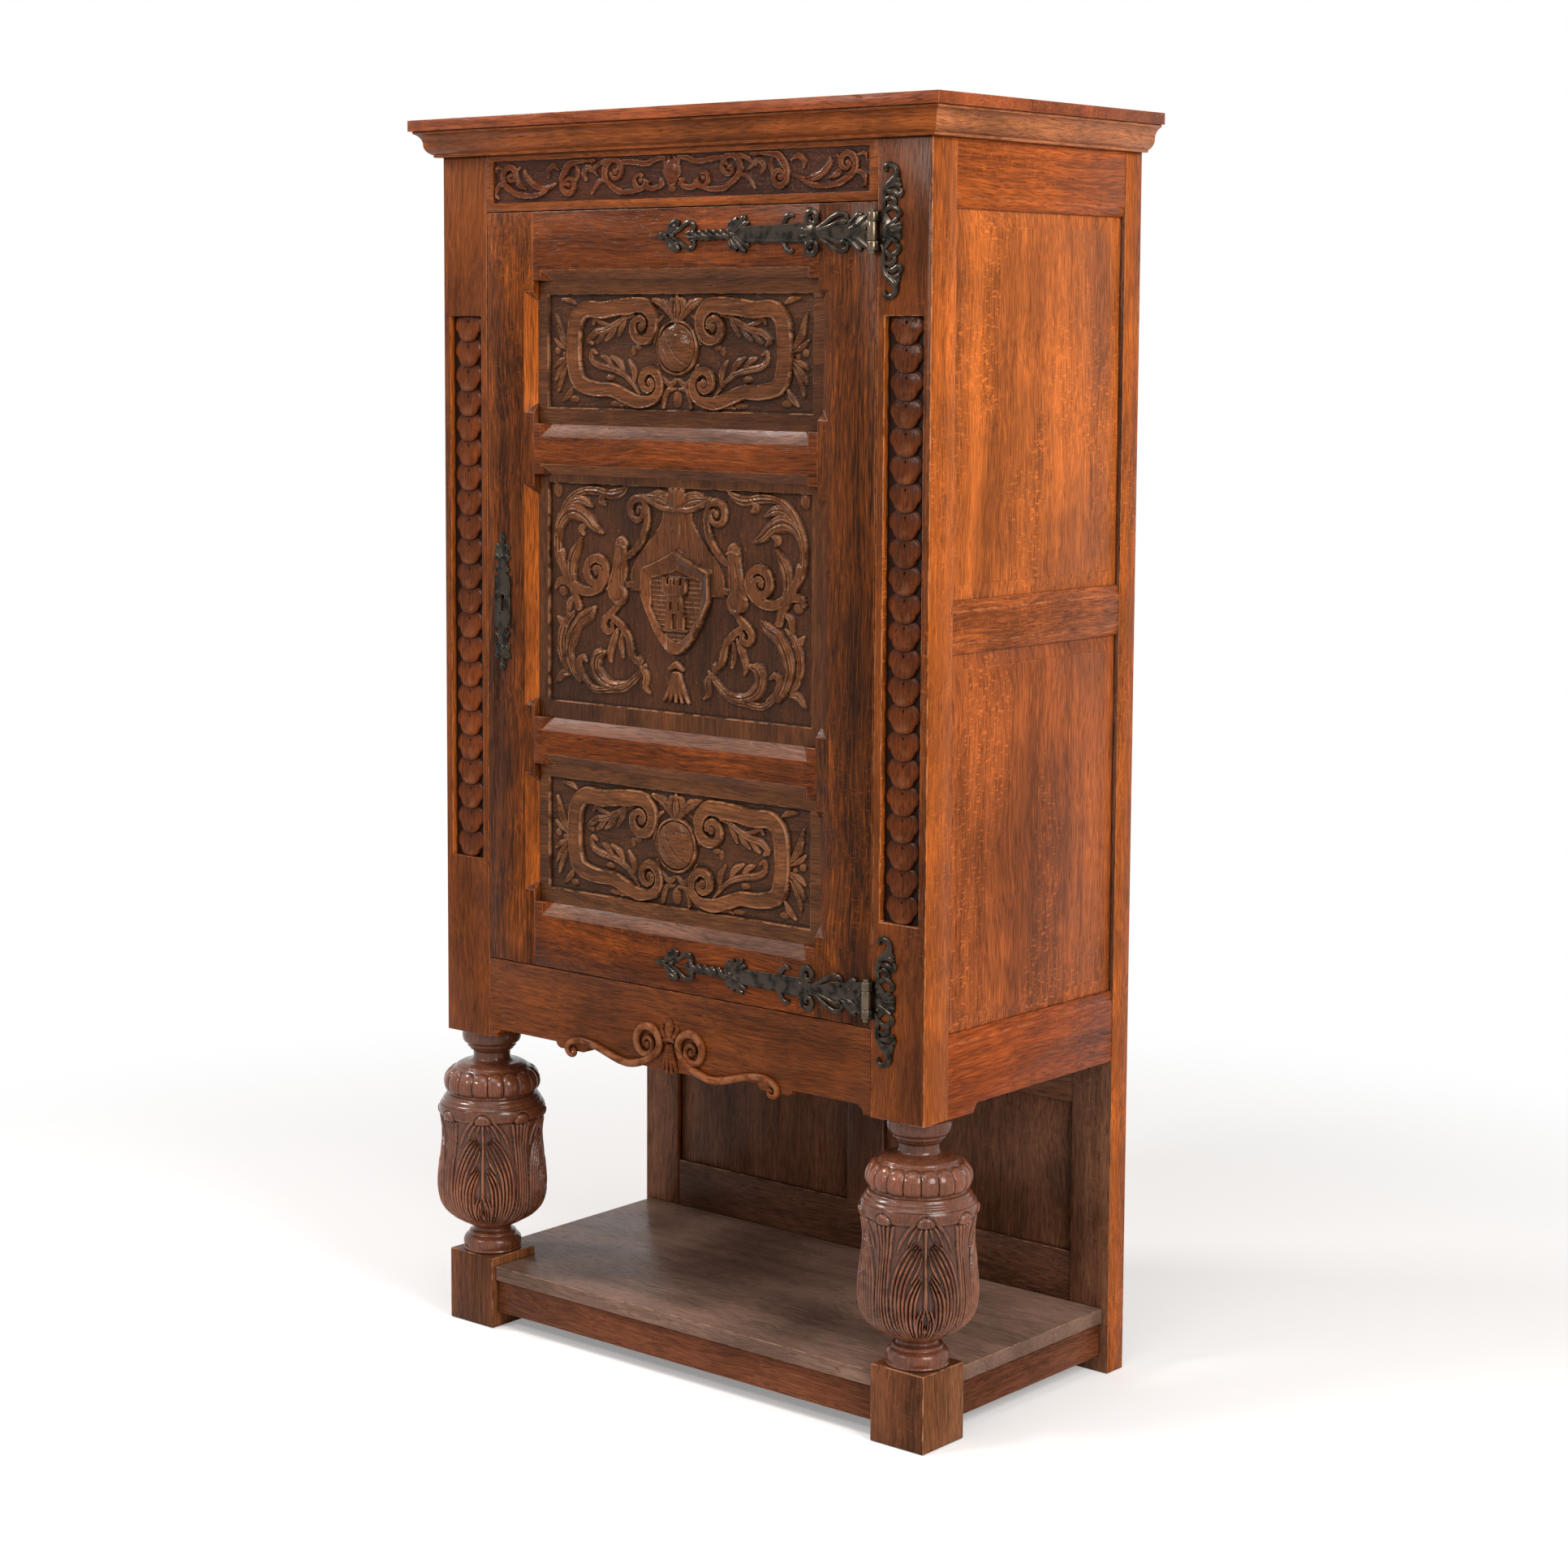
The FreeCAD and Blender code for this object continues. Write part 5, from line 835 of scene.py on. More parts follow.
# %% The design of an end panel
def end_panel_design(board):
    """Strapwork about the panel's middle: the right half, its twin, then what is between."""
    stroke, dome, cut = board.stroke, board.dome, board.cut
    upper = spiral(68.5, 36, 540, -1, (7, 11.5, 15.5, 19, 22, 29), (3, 4.2, 5.2, 6.4, 8.5, 12.2))
    sweep = [(113, 64, 11.5), (146, 59.5, 11.5), (178, 61, 11.5), (197, 46, 12), (202, 18, 12.2),
             (202, -15, 12.2), (192, -44, 11.5), (160, -54, 10), (126, -55, 9.5),
             (98, -64, 9.5), (74, -71, 9)]
    lower = spiral(51.5, -43, -90, -1, (26, 18.5, 17.5, 15, 11, 7), (7.6, 6.4, 5.6, 4.8, 3.8, 3))
    stroke(strap, 7.6, *upper, *sweep, *lower)
    dome(68.5, 36, 8, 8, 5, 0.5, 1.6)
    dome(51.5, -43, 7.5, 7.5, 5, 0.5, 1.6)
    # spray in the upper half of the strap
    stroke(leaf, 4.6, (84, 52, 2), (100, 50, 4), (120, 40, 5.4), (142, 31, 5.8), (160, 28, 5.4),
           (174, 17, 4.6), (168, 12, 3))
    stroke(leaf, 3.8, (100, 48, 2), (108, 36, 4.8), (116, 23, 2.5))
    stroke(leaf, 4, (118, 40, 2), (128, 27, 5), (140, 17, 2.5))
    stroke(leaf, 4, (138, 33, 2), (150, 20, 4.6), (158, 14, 2.5))
    stroke(rounded, 4.2, (132, 38, 2), (148, 42, 3.6), (160, 47, 3.6), (165, 40, 2.2))
    # spray in the lower half
    stroke(leaf, 4.6, (72, -62, 2), (88, -44, 3.4), (108, -31, 4.4), (132, -24, 5), (154, -20, 5),
           (168, -12, 4.4), (168, 1, 3.4), (160, -2, 2.4))
    stroke(leaf, 4.2, (84, -44, 2.2), (84, -28, 5.4), (94, -12, 2.2))
    stroke(leaf, 4.4, (104, -30, 2.2), (112, -16, 5.4), (128, -7, 2.4))
    stroke(leaf, 4, (126, -24, 2.2), (136, -12, 4.8), (148, -7, 2.4))
    dome(132, -37, 9, 5.5, 3.6)
    dome(76, 7, 7, 4.5, 3.2)
    dome(86, 2, 4.5, 7, 3)
    # palmette over the boss and leaves beside it
    stroke(leaf, 4.8, (6, 44, 2), (16, 58, 6.5), (28, 68, 7.5), (46, 74, 4), lobes=4)
    stroke(rounded, 5.4, (3, 42, 2), (12, 58, 4.6), (10, 72, 4.6), (4, 76, 2))
    stroke(leaf, 3.8, (26, 52, 2), (38, 44, 4), (40, 28, 3), (44, 12, 2))
    # shell under the boss
    stroke(rounded, 4.8, (4, -52, 2), (18, -54, 3.8), (25, -66, 4), (26, -78, 2.5))
    stroke(leaf, 3.6, (2, -38, 3), (14, -46, 4.8), (30, -34, 3.2), (38, -18, 2))
    # leaves outside the strap
    for (a, b), (c, d), width in (
            ((216, 8), (240, 54), 5), ((217, 6), (238, 36), 4.6), ((217, 2), (243, 18), 4.4),
            ((217, -8), (243, -22), 4.6), ((217, -12), (241, -42), 4.8),
            ((216, -18), (236, -58), 4.6)):
        stroke(leaf, 4.4, (a, b, 1.6), ((a + c) / 2 + 3, (b + d) / 2, width), (c, d, 2))
    dome(238, 1, 6, 6, 4.6)
    dome(224, -4, 4.5, 4.5, 3.6)
    stroke(leaf, 4, (200, 68, 1.6), (212, 74, 4.6), (228, 76, 1.8))
    stroke(leaf, 4.2, (206, -50, 1.6), (214, -62, 5.4), (226, -72, 2))
    dome(204, -69, 9, 5.5, 3.6)
    dome(120, -74, 12, 5, 3.6)
    stroke(leaf, 3, (88, -78, 1.6), (100, -75, 3), (110, -78, 1.6))
    board.twin()
    # the palmette's middle leaf, the shell's middle and the boss
    stroke(leaf, 6, (0, 42, 3), (0, 60, 7), (0, 78, 3.5))
    dome(0, -66, 8.5, 13, 5.4)
    stroke(rounded, 6, (-38, 7, 2), (-27, 34, 2), (0, 44, 2), (27, 34, 2), (38, 7, 2), (27, -20, 2),
           (0, -31, 2), (-27, -20, 2), (-38, 7, 2))
    dome(0, 6.5, 36.5, 34.5, 10.5, 0.42, 1.2)
    cut(2.2, (-22, 34, 1.6), (-8, 12, 1.6), (8, -8, 1.6), (26, -18, 1.4))
    cut(1.6, (-10, 12, 1.3), (2, 26, 1.5), (20, 26, 1.3))
    cut(1.6, (-30, 22, 1.3), (-16, 0, 1.5), (2, -20, 1.3), (16, -27, 1.2))


# %% Boards with a border, and the end panels
FIELD_LEFT, FIELD_RIGHT = -258.0, 252.5
PANEL_X = (FIELD_LEFT + FIELD_RIGHT) / 2
BORDER = FRONT + 12.5
GROUND = FRONT + 18.0
TONGUE = 7.5  # how far a panel reaches into the grooves of its frame


def panel_board(name, foot, head, pitch, design, origin, swell, seed, lift, finish):
    """A whole door panel: the flat border, the sloping step and the carved field.
    The field is drawn from foot to head, and its ends are then lifted by two lengths."""
    low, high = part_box(name)
    relief = Relief(FIELD_LEFT + 2, FIELD_RIGHT - 2, foot + 2, head - 2, pitch, origin, swell)
    design(relief)
    by_hand(relief, seed)
    share_up = (relief.z - foot) / (head - foot)
    foot, head = foot + lift[0], head + lift[1]
    relief.z = foot + share_up * (head - foot)
    left, right = low.x / MM + TONGUE, high.x / MM - TONGUE
    bottom, top = low.z / MM + TONGUE, high.z / MM - TONGUE
    relief.x = np.concatenate([[left, FIELD_LEFT - 0.5, FIELD_LEFT], relief.x,
                               [FIELD_RIGHT, FIELD_RIGHT + 0.5, right]])
    relief.z = np.concatenate([[bottom, foot - 0.5, foot], relief.z, [head, head + 0.5, top]])
    relief.height = np.pad(relief.height, 3, constant_values=GROUND - BORDER)
    # the border is darkened a little by painted shade, where the frame shades it
    panel = carved(name.replace("_panel", "_carving"), relief, GROUND, high.y / MM, 0.3)
    settle(panel, "door", "carved_oak", finish, name)


for place, foot, head, seed, lift, tone in (("top", 1418, 1584, 3, (5, 6), "carved"),
                                            ("bottom", 701, 867, 5, (3, 7), "carved_low")):
    panel_board(place + "_door_panel", foot, head, 1.15, end_panel_design,
                (PANEL_X, (foot + head) / 2), 1.12, seed, lift,
                carved_finish(place + "_carving_finish", "x", tone))

# %% [markdown]
# ## The middle panel
# A shield with a tower hangs in a cartouche between two horns, and acanthus scrolls
# fill the corners. The right half is carved and mirrored, then the shield and the shell
# go in the middle.

# %% The middle panel's design
DRAWING = (-465, 0)             # where x and z are 0 in the drawings that follow
MIDDLE = PANEL_X - DRAWING[0]   # the door's middle in them


def middle_panel_design(board):
    """Scrolls, horn and cartouche of the right half, their twin, then cloth and shield."""
    stroke, dome, cut = board.stroke, board.dome, board.cut
    # great acanthus of the upper corner
    stroke(blade, 7, (558, 1299, 2), (572, 1289, 5), (594, 1285, 6), (622, 1289, 5), (650, 1287, 5),
           (676, 1272, 5.5), (692, 1248, 6), (699, 1218, 6), (696, 1190, 5), (684, 1170, 4.5),
           lobes=5)
    stroke(leaf, 7.6, (700, 1222, 3), (690, 1246, 7.5), (668, 1258, 9.5), (644, 1252, 9),
           (626, 1238, 6), (610, 1229, 2.5), lobes=3)
    stroke(leaf, 6, (688, 1256, 3), (668, 1272, 6), (648, 1274, 6), (630, 1266, 2.5), lobes=3)
    stroke(leaf, 5, (606, 1284, 2), (612, 1276, 5), (604, 1270, 2))
    stroke(leaf, 4.6, (640, 1240, 2), (652, 1234, 5), (648, 1226, 2.5))
    dome(701, 1289, 9, 12, 5)
    cut(1.6, (696, 1296, 1), (700, 1288, 1.4), (706, 1280, 1))
    # scroll that rolls under it
    stroke(strap, 6.6, (694, 1196, 3.5), (682, 1168, 5), (666, 1152, 5.5), (644, 1144, 5.5),
           (620, 1148, 5.5),
           *spiral(621, 1172, 225, -1, (20, 21, 19, 17, 13, 9, 6),
                   (5.5, 5.4, 5, 4.4, 3.8, 3.2, 2.6)))
    dome(621, 1172, 6, 6, 4.4, 0.5, 1)
    stroke(leaf, 7, (664, 1154, 3), (672, 1172, 7.5), (668, 1194, 8), (656, 1212, 4),
           (652, 1220, 2), lobes=2)
    stroke(leaf, 5, (676, 1164, 2.5), (688, 1182, 6), (690, 1200, 3))
    # side scroll
    stroke(strap, 6, (702, 1148, 3), (694, 1156, 4.4), (678, 1156, 5), (664, 1142, 5.2),
           (656, 1120, 4))
    dome(690, 1143, 9, 9, 5.4)
    stroke(leaf, 4.6, (664, 1134, 2.5), (676, 1126, 5), (680, 1110, 3))
    # lower acanthus
    stroke(leaf, 7.4, (624, 1122, 2.5), (634, 1112, 7), (652, 1102, 8.5), (668, 1082, 8.5),
           (676, 1056, 7.5), (668, 1030, 5), (654, 1014, 3), lobes=3)
    stroke(blade, 6, (668, 1112, 2.5), (684, 1096, 5.5), (694, 1070, 6), (690, 1044, 5),
           (678, 1026, 3), lobes=4)
    stroke(leaf, 4.4, (700, 1104, 2), (692, 1096, 5), (682, 1090, 2))
    stroke(rounded, 5.6, (636, 1012, 3), (650, 1022, 5), (658, 1038, 5), (650, 1048, 4),
           (641, 1044, 2.4))
    stroke(leaf, 7.4, (603, 1058, 3), (618, 1052, 8), (622, 1036, 9), (610, 1020, 8),
           (586, 1012, 5), (562, 1016, 3.5), lobes=3)
    stroke(blade, 6, (524, 1044, 2.5), (540, 1028, 4.4), (566, 1010, 4.8), (594, 1006, 4.8),
           (622, 1003, 4.2), (642, 1012, 3), (656, 1024, 2))
    stroke(leaf, 4.4, (676, 1022, 2), (690, 1022, 5.5), (704, 1008, 2), lobes=2)
    # strap from the horn's foot to the husk
    stroke(strap, 5.6, (572, 1132, 3), (590, 1116, 4.2),
           *spiral(594, 1098, 60, -1, (12, 11, 8, 5.5), (4.2, 3.8, 3.2, 2.6)))
    stroke(strap, 5.6, (586, 1108, 3.6), (570, 1098, 4.2), (556, 1082, 4.2), (550, 1060, 4),
           (540, 1050, 3.4))
    dome(536, 1050, 8, 8, 5.4)
    stroke(leaf, 5.2, (578, 1094, 2), (586, 1078, 5.5), (594, 1058, 4.5), (592, 1046, 2), lobes=2)
    stroke(leaf, 4.2, (570, 1088, 2), (572, 1072, 4.4), (568, 1054, 2))
    stroke(leaf, 5, (532, 1042, 2.5), (522, 1030, 5.5), (524, 1014, 4), (516, 1006, 2))
    # the horn
    stroke(rounded, 8.6, (571, 1214, 9), (572, 1196, 9.4), (575, 1176, 11), (581, 1156, 12.5),
           (582, 1146, 12))
    stroke(rounded, 9.4, (562, 1211, 2), (571, 1214, 2), (580, 1211, 2))
    cut(2.4, (567, 1198, 1.2), (570, 1170, 1.6), (568, 1150, 1.2))
    cut(2.4, (577, 1198, 1.2), (584, 1170, 1.6), (592, 1150, 1.2))
    stroke(rounded, 7.8, (596, 1150, 2.5),
           *spiral(578, 1141, 40, 1, (17, 15, 12, 9, 6), (4.4, 4, 3.4, 2.8, 2.4)))
    dome(578, 1141, 4.5, 4.5, 6)
    # cartouche: rib, volute and the roll over its top
    stroke(strap, 6, (562, 1196, 3), (548, 1204, 4), (532, 1220, 4), (522, 1242, 4),
           (520, 1262, 4.4))
    stroke(rounded, 6.6, (520, 1262, 4.4),
           *spiral(537, 1264, 135, -1, (17, 18, 15, 11, 7.5), (4.4, 4.4, 3.8, 3.2, 2.6)))
    dome(537, 1264, 5, 6.5, 5.4)
    stroke(rounded, 6.6, (462, 1268, 3.2), (486, 1269, 3.2), (508, 1275, 3.2), (526, 1284, 3.2))
    stroke(leaf, 5.2, (470, 1272, 3), (488, 1281, 6.5), (508, 1284, 5.5), (526, 1284, 2), lobes=4)
    stroke(leaf, 4.2, (478, 1288, 3), (498, 1290, 5), (516, 1287, 2), lobes=3)
    stroke(strap, 3.6, (560, 1158, 3), (548, 1158, 4), (540, 1152, 2))
    board.twin()
    # the cloth behind the shield, with a fold down its middle
    x, z = np.meshgrid(board.x - DRAWING[0], board.z)
    half = 28 + 62 * eased((1262 - z) / 90)
    cloth = (np.abs(x - MIDDLE) < half) & (z < 1268) & (z > 1150)
    sag = 2.6 + 0.5 * np.cos((x - MIDDLE) / 9)
    board.height = np.where(cloth, np.maximum(board.height, sag), board.height)
    stroke(rounded, 4.8, (466, 1262, 2.2), (468, 1240, 2.2), (464, 1214, 2.2))
    stroke(rounded, 5, (463, 1212, 2), (452, 1204, 2.4), (430, 1192, 2.4), (398, 1184, 2.2))
    stroke(rounded, 5, (463, 1212, 2), (474, 1204, 2.4), (496, 1192, 2.4), (528, 1184, 2.2))
    dome(454, 1240, 4, 4, 1.2, 0.5, 3)
    # shell
    for k in range(5):
        lean = math.radians(90 + (k - 2) * 32)
        stroke(rounded, 7.6 - 0.6 * abs(k - 2), (MIDDLE, 1272, 2.5),
               (MIDDLE + 12 * math.cos(lean), 1276 + 11 * math.sin(lean), 5.4),
               (MIDDLE + 20 * math.cos(lean), 1280 + 18 * math.sin(lean), 3.6))
    # husk
    stroke(rounded, 6, (450, 1044, 2.5), (462, 1050, 4), (474, 1044, 2.5))
    for k in range(5):
        lean = (k - 2) * 5.4
        stroke(rounded, 6.6 - 0.5 * abs(k - 2), (MIDDLE + lean * 0.5, 1038, 2.2),
               (MIDDLE + lean, 1018, 4.2 - 0.3 * abs(k - 2)), (MIDDLE + lean * 2.2, 998, 1.6))
    shield(board)


# %% The shield
def shield(board):
    """A bevelled shield with a tower on a hatched ground."""
    x, z = np.meshgrid(board.x - PANEL_X, board.z)
    along = np.abs(x)

    def inside(top, corner, wide, tip):
        """How far inside the outline a point lies, in millimetres; negative outside."""
        head = top - (top - corner) * (along / wide) ** 0.8
        narrowing = np.sqrt(np.clip((z - tip) / (corner - 40 - tip), 0, 1)) ** 1.1
        side = np.where(z > corner - 40, wide, wide * narrowing)
        return np.minimum(np.minimum(head - z, side - along), (z - tip) * 0.75)

    outer = inside(1213, 1184, 66, 1064)
    inner = inside(1183, 1170, 49, 1082)
    # a frame that slopes down to the field, a ruled field, a raised tower
    plate = np.clip(outer / 1.4, 0, 1) * (10.2 - 4.6 * np.clip((outer - 2.5) / 13, 0, 1))
    rules = 0.9 * (np.abs((z % 6.8) - 3.4) < 0.85)
    plate = np.where(inner > 0, 3.2 + rules, plate)
    board.height = np.where(outer > 0, np.maximum(plate, 2.6), board.height)
    tower = (along < 13 + 6 * eased((1154 - z) / 50)) & (z > 1100) & (z < 1154)
    head = (along < 22 - 7 * eased((1154 - z) / 8)) & (z >= 1148) & (z < 1163)
    merlon = (along < 22) & (z >= 1163) & (z < 1173) & (((x + 22) % 12.2) < 7.4)
    door = (along < 4.8) & (z > 1100) & (z < 1118 + np.sqrt(np.clip(23 - x * x, 0, 23)))
    slits = (np.abs(along - 8) < 1.5) & (z > 1126) & (z < 1139)
    ground_line = (inner > 2) & (z < 1101) & (z > 1096)
    rise = np.select([ground_line, door | slits, head | merlon, tower], [7.2, 5.4, 9.6, 8.4])
    board.height = np.where((rise > 0) & (inner > 1), rise, board.height)


panel_board("middle_door_panel", 981, 1299, 1.36, middle_panel_design, DRAWING, 1.38, 11,
            (7, 15), carved_finish("middle_carving_finish", "z", "carved"))

# %% [markdown]
# ## The frieze
# A running scroll fills the sunk field over the door, out from a cabochon.

# %% The frieze's carving
def frieze_design(board):
    """The right half of the scroll, its twin, then the cabochon."""
    stroke, dome = board.stroke, board.dome
    stroke(strap, 4, (474, 1770, 2), (478, 1781, 3.2), (492, 1780, 3.6), (510, 1774, 3.6),
           (536, 1777, 3.6), (558, 1777, 3.4), (566, 1768, 2.4))
    stroke(strap, 4.4, (478, 1744, 2.4), (492, 1739, 3.4), (508, 1740, 3.4),
           *spiral(522, 1751, 200, 1, (13, 12, 10, 7), (3.4, 3.2, 2.6, 2.2)))
    dome(522, 1751, 4.5, 4.5, 3.6)
    dome(481, 1748, 6, 6, 4)
    stroke(strap, 4.6, (520, 1738, 2.4), (540, 1735, 3.4), (562, 1736, 3.6), (580, 1746, 3.6),
           *spiral(572, 1764, -20, 1, (20, 18, 14, 10, 7), (3.8, 3.6, 3, 2.6, 2.2)))
    dome(572, 1764, 5.5, 5.5, 4.2)
    stroke(leaf, 4, (556, 1772, 2), (566, 1780, 4.4), (584, 1781, 4.6), (604, 1776, 3.6),
           (620, 1766, 2), lobes=3)
    stroke(leaf, 3.6, (588, 1752, 2), (602, 1752, 3.4), (612, 1742, 3), (618, 1734, 1.6))
    stroke(leaf, 4.2, (606, 1760, 1.6), (624, 1772, 4.4), (634, 1764, 4.2), (630, 1754, 2))
    stroke(strap, 4.8, (612, 1781, 2), (638, 1783, 4), (660, 1778, 4.8), (674, 1762, 5),
           *spiral(664, 1748, 0, -1, (12, 12, 11, 9, 6), (4.2, 4, 3.4, 2.8, 2.2)))
    dome(664, 1748, 5.5, 5.5, 4.2)
    stroke(leaf, 4, (650, 1776, 2), (646, 1764, 4.4), (652, 1752, 2))
    stroke(rounded, 4, (684, 1770, 1.6), (696, 1776, 4), (706, 1770, 4), (706, 1760, 1.8))
    stroke(leaf, 4.4, (690, 1750, 1.6), (712, 1744, 4), (736, 1750, 5.4), (752, 1764, 4),
           (754, 1772, 1.8), lobes=3)
    stroke(strap, 4.8, (700, 1746, 1.6), (722, 1736, 3.2), (748, 1734, 3.6), (772, 1738, 3.8),
           (792, 1750, 4.4), *spiral(783, 1764, -10, 1, (14, 13, 11, 8, 5), (4.4, 4, 3.4, 2.6, 2)))
    dome(783, 1764, 4.5, 4.5, 4.2)
    stroke(leaf, 4.4, (752, 1744, 1.6), (768, 1752, 4.6), (772, 1768, 3.4), (764, 1776, 1.8),
           lobes=2)
    stroke(leaf, 3.8, (796, 1752, 1.6), (808, 1750, 4), (816, 1738, 3.4), (810, 1732, 1.8))
    stroke(leaf, 3, (800, 1774, 1.6), (812, 1776, 3), (818, 1768, 1.6))
    board.twin()
    stroke(rounded, 3, (447, 1762, 2), (462, 1785, 2), (477, 1762, 2), (462, 1741, 2),
           (447, 1762, 2))
    dome(MIDDLE, 1762, 15, 18, 4.4, 0.45, 0.8)
    dome(MIDDLE, 1738, 7, 6, 3.4)


frieze = Relief(-358.5, 353.0, 1725, 1785.5, 1.12, DRAWING, 1.2)
frieze_design(frieze)
by_hand(frieze, 17, 0.15)
column, row = frieze.x[None, :], frieze.z[:, None]
field = (column > -356) & (column < 351) & (row > 1727) & (row < 1783.5)
frieze.height = np.where(field, frieze.height, 0)
settle(carved("frieze_carving", frieze, FRONT + 4.6, FRONT + 7), "carcase", "carved_oak",
       carved_finish("frieze_carving_finish", "x", "frieze"))


# %% [markdown]
# ## The balusters
# A baluster is turned first and carved after. The turned profile is a line of radius
# against height; a grid is wrapped round the axis along it. Then the carver's work moves
# each point: eighteen gadroons on the cover, and round the cup four great acanthus leaves
# with reeds between them, under eight curled tips. One eighth of the cup is drawn flat,
# folded about the leaf's midrib. The cup is a piece of its own, so that its grid is finer.

# %% The turned profile and the carved leaf
PROFILE = [
    (0, 459.8), (42, 459.8), (45, 456), (45.6, 449), (43.4, 441), (38.4, 437.8), (37.6, 433.5),
    (34.6, 431.4), (33.6, 428.6), (29.4, 426), (28.6, 421), (28.8, 416), (31, 411.8),
    (37, 409.4), (45.6, 408), (54, 404), (55.6, 401.6), (63.8, 398), (69.4, 393), (73.6, 386),
    (75.2, 378), (74.6, 371.5), (71.6, 365.6), (67.6, 363.6), (67.4, 360.4), (71, 358.6),
    (72.4, 355.4), (75.4, 352.6), (75.8, 349.4), (78.4, 347), (81.2, 342), (82.4, 336),
    (81.6, 328), (80.2, 318), (78.4, 304), (77.8, 292), (79, 276), (80.8, 260), (82.3, 244),
    (83.6, 230), (84.1, 217), (83.2, 205), (80.8, 192), (76.4, 181), (70.4, 173.6), (62, 166),
    (52, 159.6), (42, 154), (32.4, 149.6), (29.6, 147), (29.2, 144), (31.6, 141.4),
    (35.8, 139.6), (36.2, 136.4), (40.4, 133.4), (43.6, 129.4), (45, 123), (43.8, 116),
    (41, 111.2), (0, 111.2)]


def even_steps(line, count, closed=False):
    """The first two columns of a line, at even steps along it."""
    length = np.concatenate([[0], np.cumsum(np.hypot(*np.diff(line[:, :2], axis=0).T))])
    steps = np.linspace(0, length[-1], count, endpoint=not closed)
    return np.interp(steps, length, line[:, 0]), np.interp(steps, length, line[:, 1])


def leaf_half():
    """Half of one leaf and of the reeds beside it, drawn flat: x is the arc from the
    midrib, z the height."""
    board = Relief(-4, 67, 140, 350, 0.5)
    stroke = board.stroke

    def flutes(count, rise, outer, inner):
        """Rounded flutes side by side, from an outer line to an inner one."""
        for k in np.linspace(0, 1, count):
            stroke(rounded, rise, *((1 - k) * np.array(outer) + k * np.array(inner)), step=1.5)

    # the reeds between two leaves fan out under a curled tip
    flutes(3, 3.4, [(62.8, 328, 2.9), (62.8, 300, 2.6), (62.8, 262, 2.2), (62.8, 205, 2.1),
                    (62.8, 160, 2.3)],
           [(47.5, 322, 2.3), (51.4, 300, 2.2), (54, 262, 1.8), (53.4, 205, 1.8), (48, 162, 1.8)])
    # the folds that hang from the leaf's own tip
    flutes(3, 3.0, [(14, 330, 2), (25, 319, 2.6), (36, 302, 2.4), (42, 286, 1.2)],
           [(4, 326, 1.6), (7.5, 318, 2), (9.5, 311, 1.6), (11, 305, 1)])
    # the great wing, its flutes turning in to a tip beside the midrib
    flutes(4, 3.7, [(34, 162, 1.7), (44, 185, 2.1), (47.2, 215, 2.3), (45.6, 245, 2.3),
                    (38.5, 270, 2.1), (27, 290, 1.7), (14, 302, 0.9)],
           [(23, 162, 1.4), (29, 185, 2.1), (31, 212, 2.3), (28.6, 240, 2.3), (20.6, 262, 2),
            (12, 280, 1.6), (6.6, 294, 0.9)])
    stroke(rounded, 3.4, (21, 246, 1.2), (14, 258, 2), (8, 272, 1.8), (4.6, 286, 1))
    # the lower wing, nearer the midrib and higher
    flutes(3, 4.3, [(19.5, 163, 1.4), (25, 185, 2.1), (26, 205, 2.4), (24, 226, 2.3),
                    (17, 243, 1.8), (9, 256, 1)],
           [(12, 163, 1), (14.6, 185, 1.6), (14.8, 204, 2.3), (13.4, 222, 2.2), (9.6, 236, 1.7),
            (5.4, 248, 1)])
    # the small wing over its foot
    flutes(2, 4.8, [(10, 162, 1.2), (12.4, 178, 2), (11.4, 194, 2.2), (7, 208, 1.6)],
           [(5.5, 163, 1), (7.6, 178, 1.6), (7, 192, 1.8), (4.6, 204, 1)])
    # the midrib, forked at its foot round a bead
    stroke(rounded, 4.5, (0, 326, 2.6), (0, 290, 2), (0, 240, 2.4), (0, 216, 3))
    stroke(rounded, 4.8, (0, 216, 1.5), (3.2, 200, 1.4), (3.6, 184, 1.3), (1.5, 173, 1.1))
    stroke(rounded, 4.8, (0, 186, 1.2), (0, 178, 2), (0, 170, 1.2))
    return board


# %% The carver's work on a baluster
GADROONS = 18
ARC = 80  # mm of the drawing for each radian round the cup


def gadroons_and_leaves(turn, z, start):
    """How far the carving stands out at an angle and a height, where it lies on the cover
    and on the cup, and where the ground between the leaves is. A midrib is at start."""
    rib = np.abs(np.cos(turn * GADROONS / 2))
    cover = eased((z - 362.5) / 3.5) * eased((401.5 - z) / 3.5)
    arch = eased((400 - z - 7 * (1 - rib ** 0.6)) / 2.5)
    swell = -3.6 * cover * (1 - rib ** 0.36 * arch)
    # acanthus, found in the drawing by the arc from the nearest midrib and the height
    drawn = leaf_half()
    fold = np.abs((turn - start + math.pi / 4) % (math.pi / 2) - math.pi / 4) * ARC
    i = np.rint((fold - drawn.x[0]) / drawn.pitch).astype(int)
    j = np.rint((z - drawn.z[0]) / (drawn.z[1] - drawn.z[0])).astype(int)
    found = drawn.height[np.clip(j, 0, len(drawn.z) - 1), np.clip(i, 0, len(drawn.x) - 1)]
    cup = eased((z - 158) / 8) * eased((329 - z) / 5)
    leaves = (found - 3.2) * cup
    # curled tips, each in a small moat
    tip = np.minimum(fold, math.pi * ARC / 4 - fold)
    curl = (tip / 12) ** 2 + ((z - 331 + 0.02 * tip ** 2) / 7.5) ** 2
    knob = np.clip(1 - curl, 0, 1) ** 0.5 * 3.1
    moat = 1.8 * np.exp(-((np.sqrt(curl) - 1.18) / 0.16) ** 2)
    carving = swell + np.where(knob > 0, np.maximum(leaves, knob), leaves) - moat
    return carving, cover, cup, (cup > 0.5) & (leaves < -2)


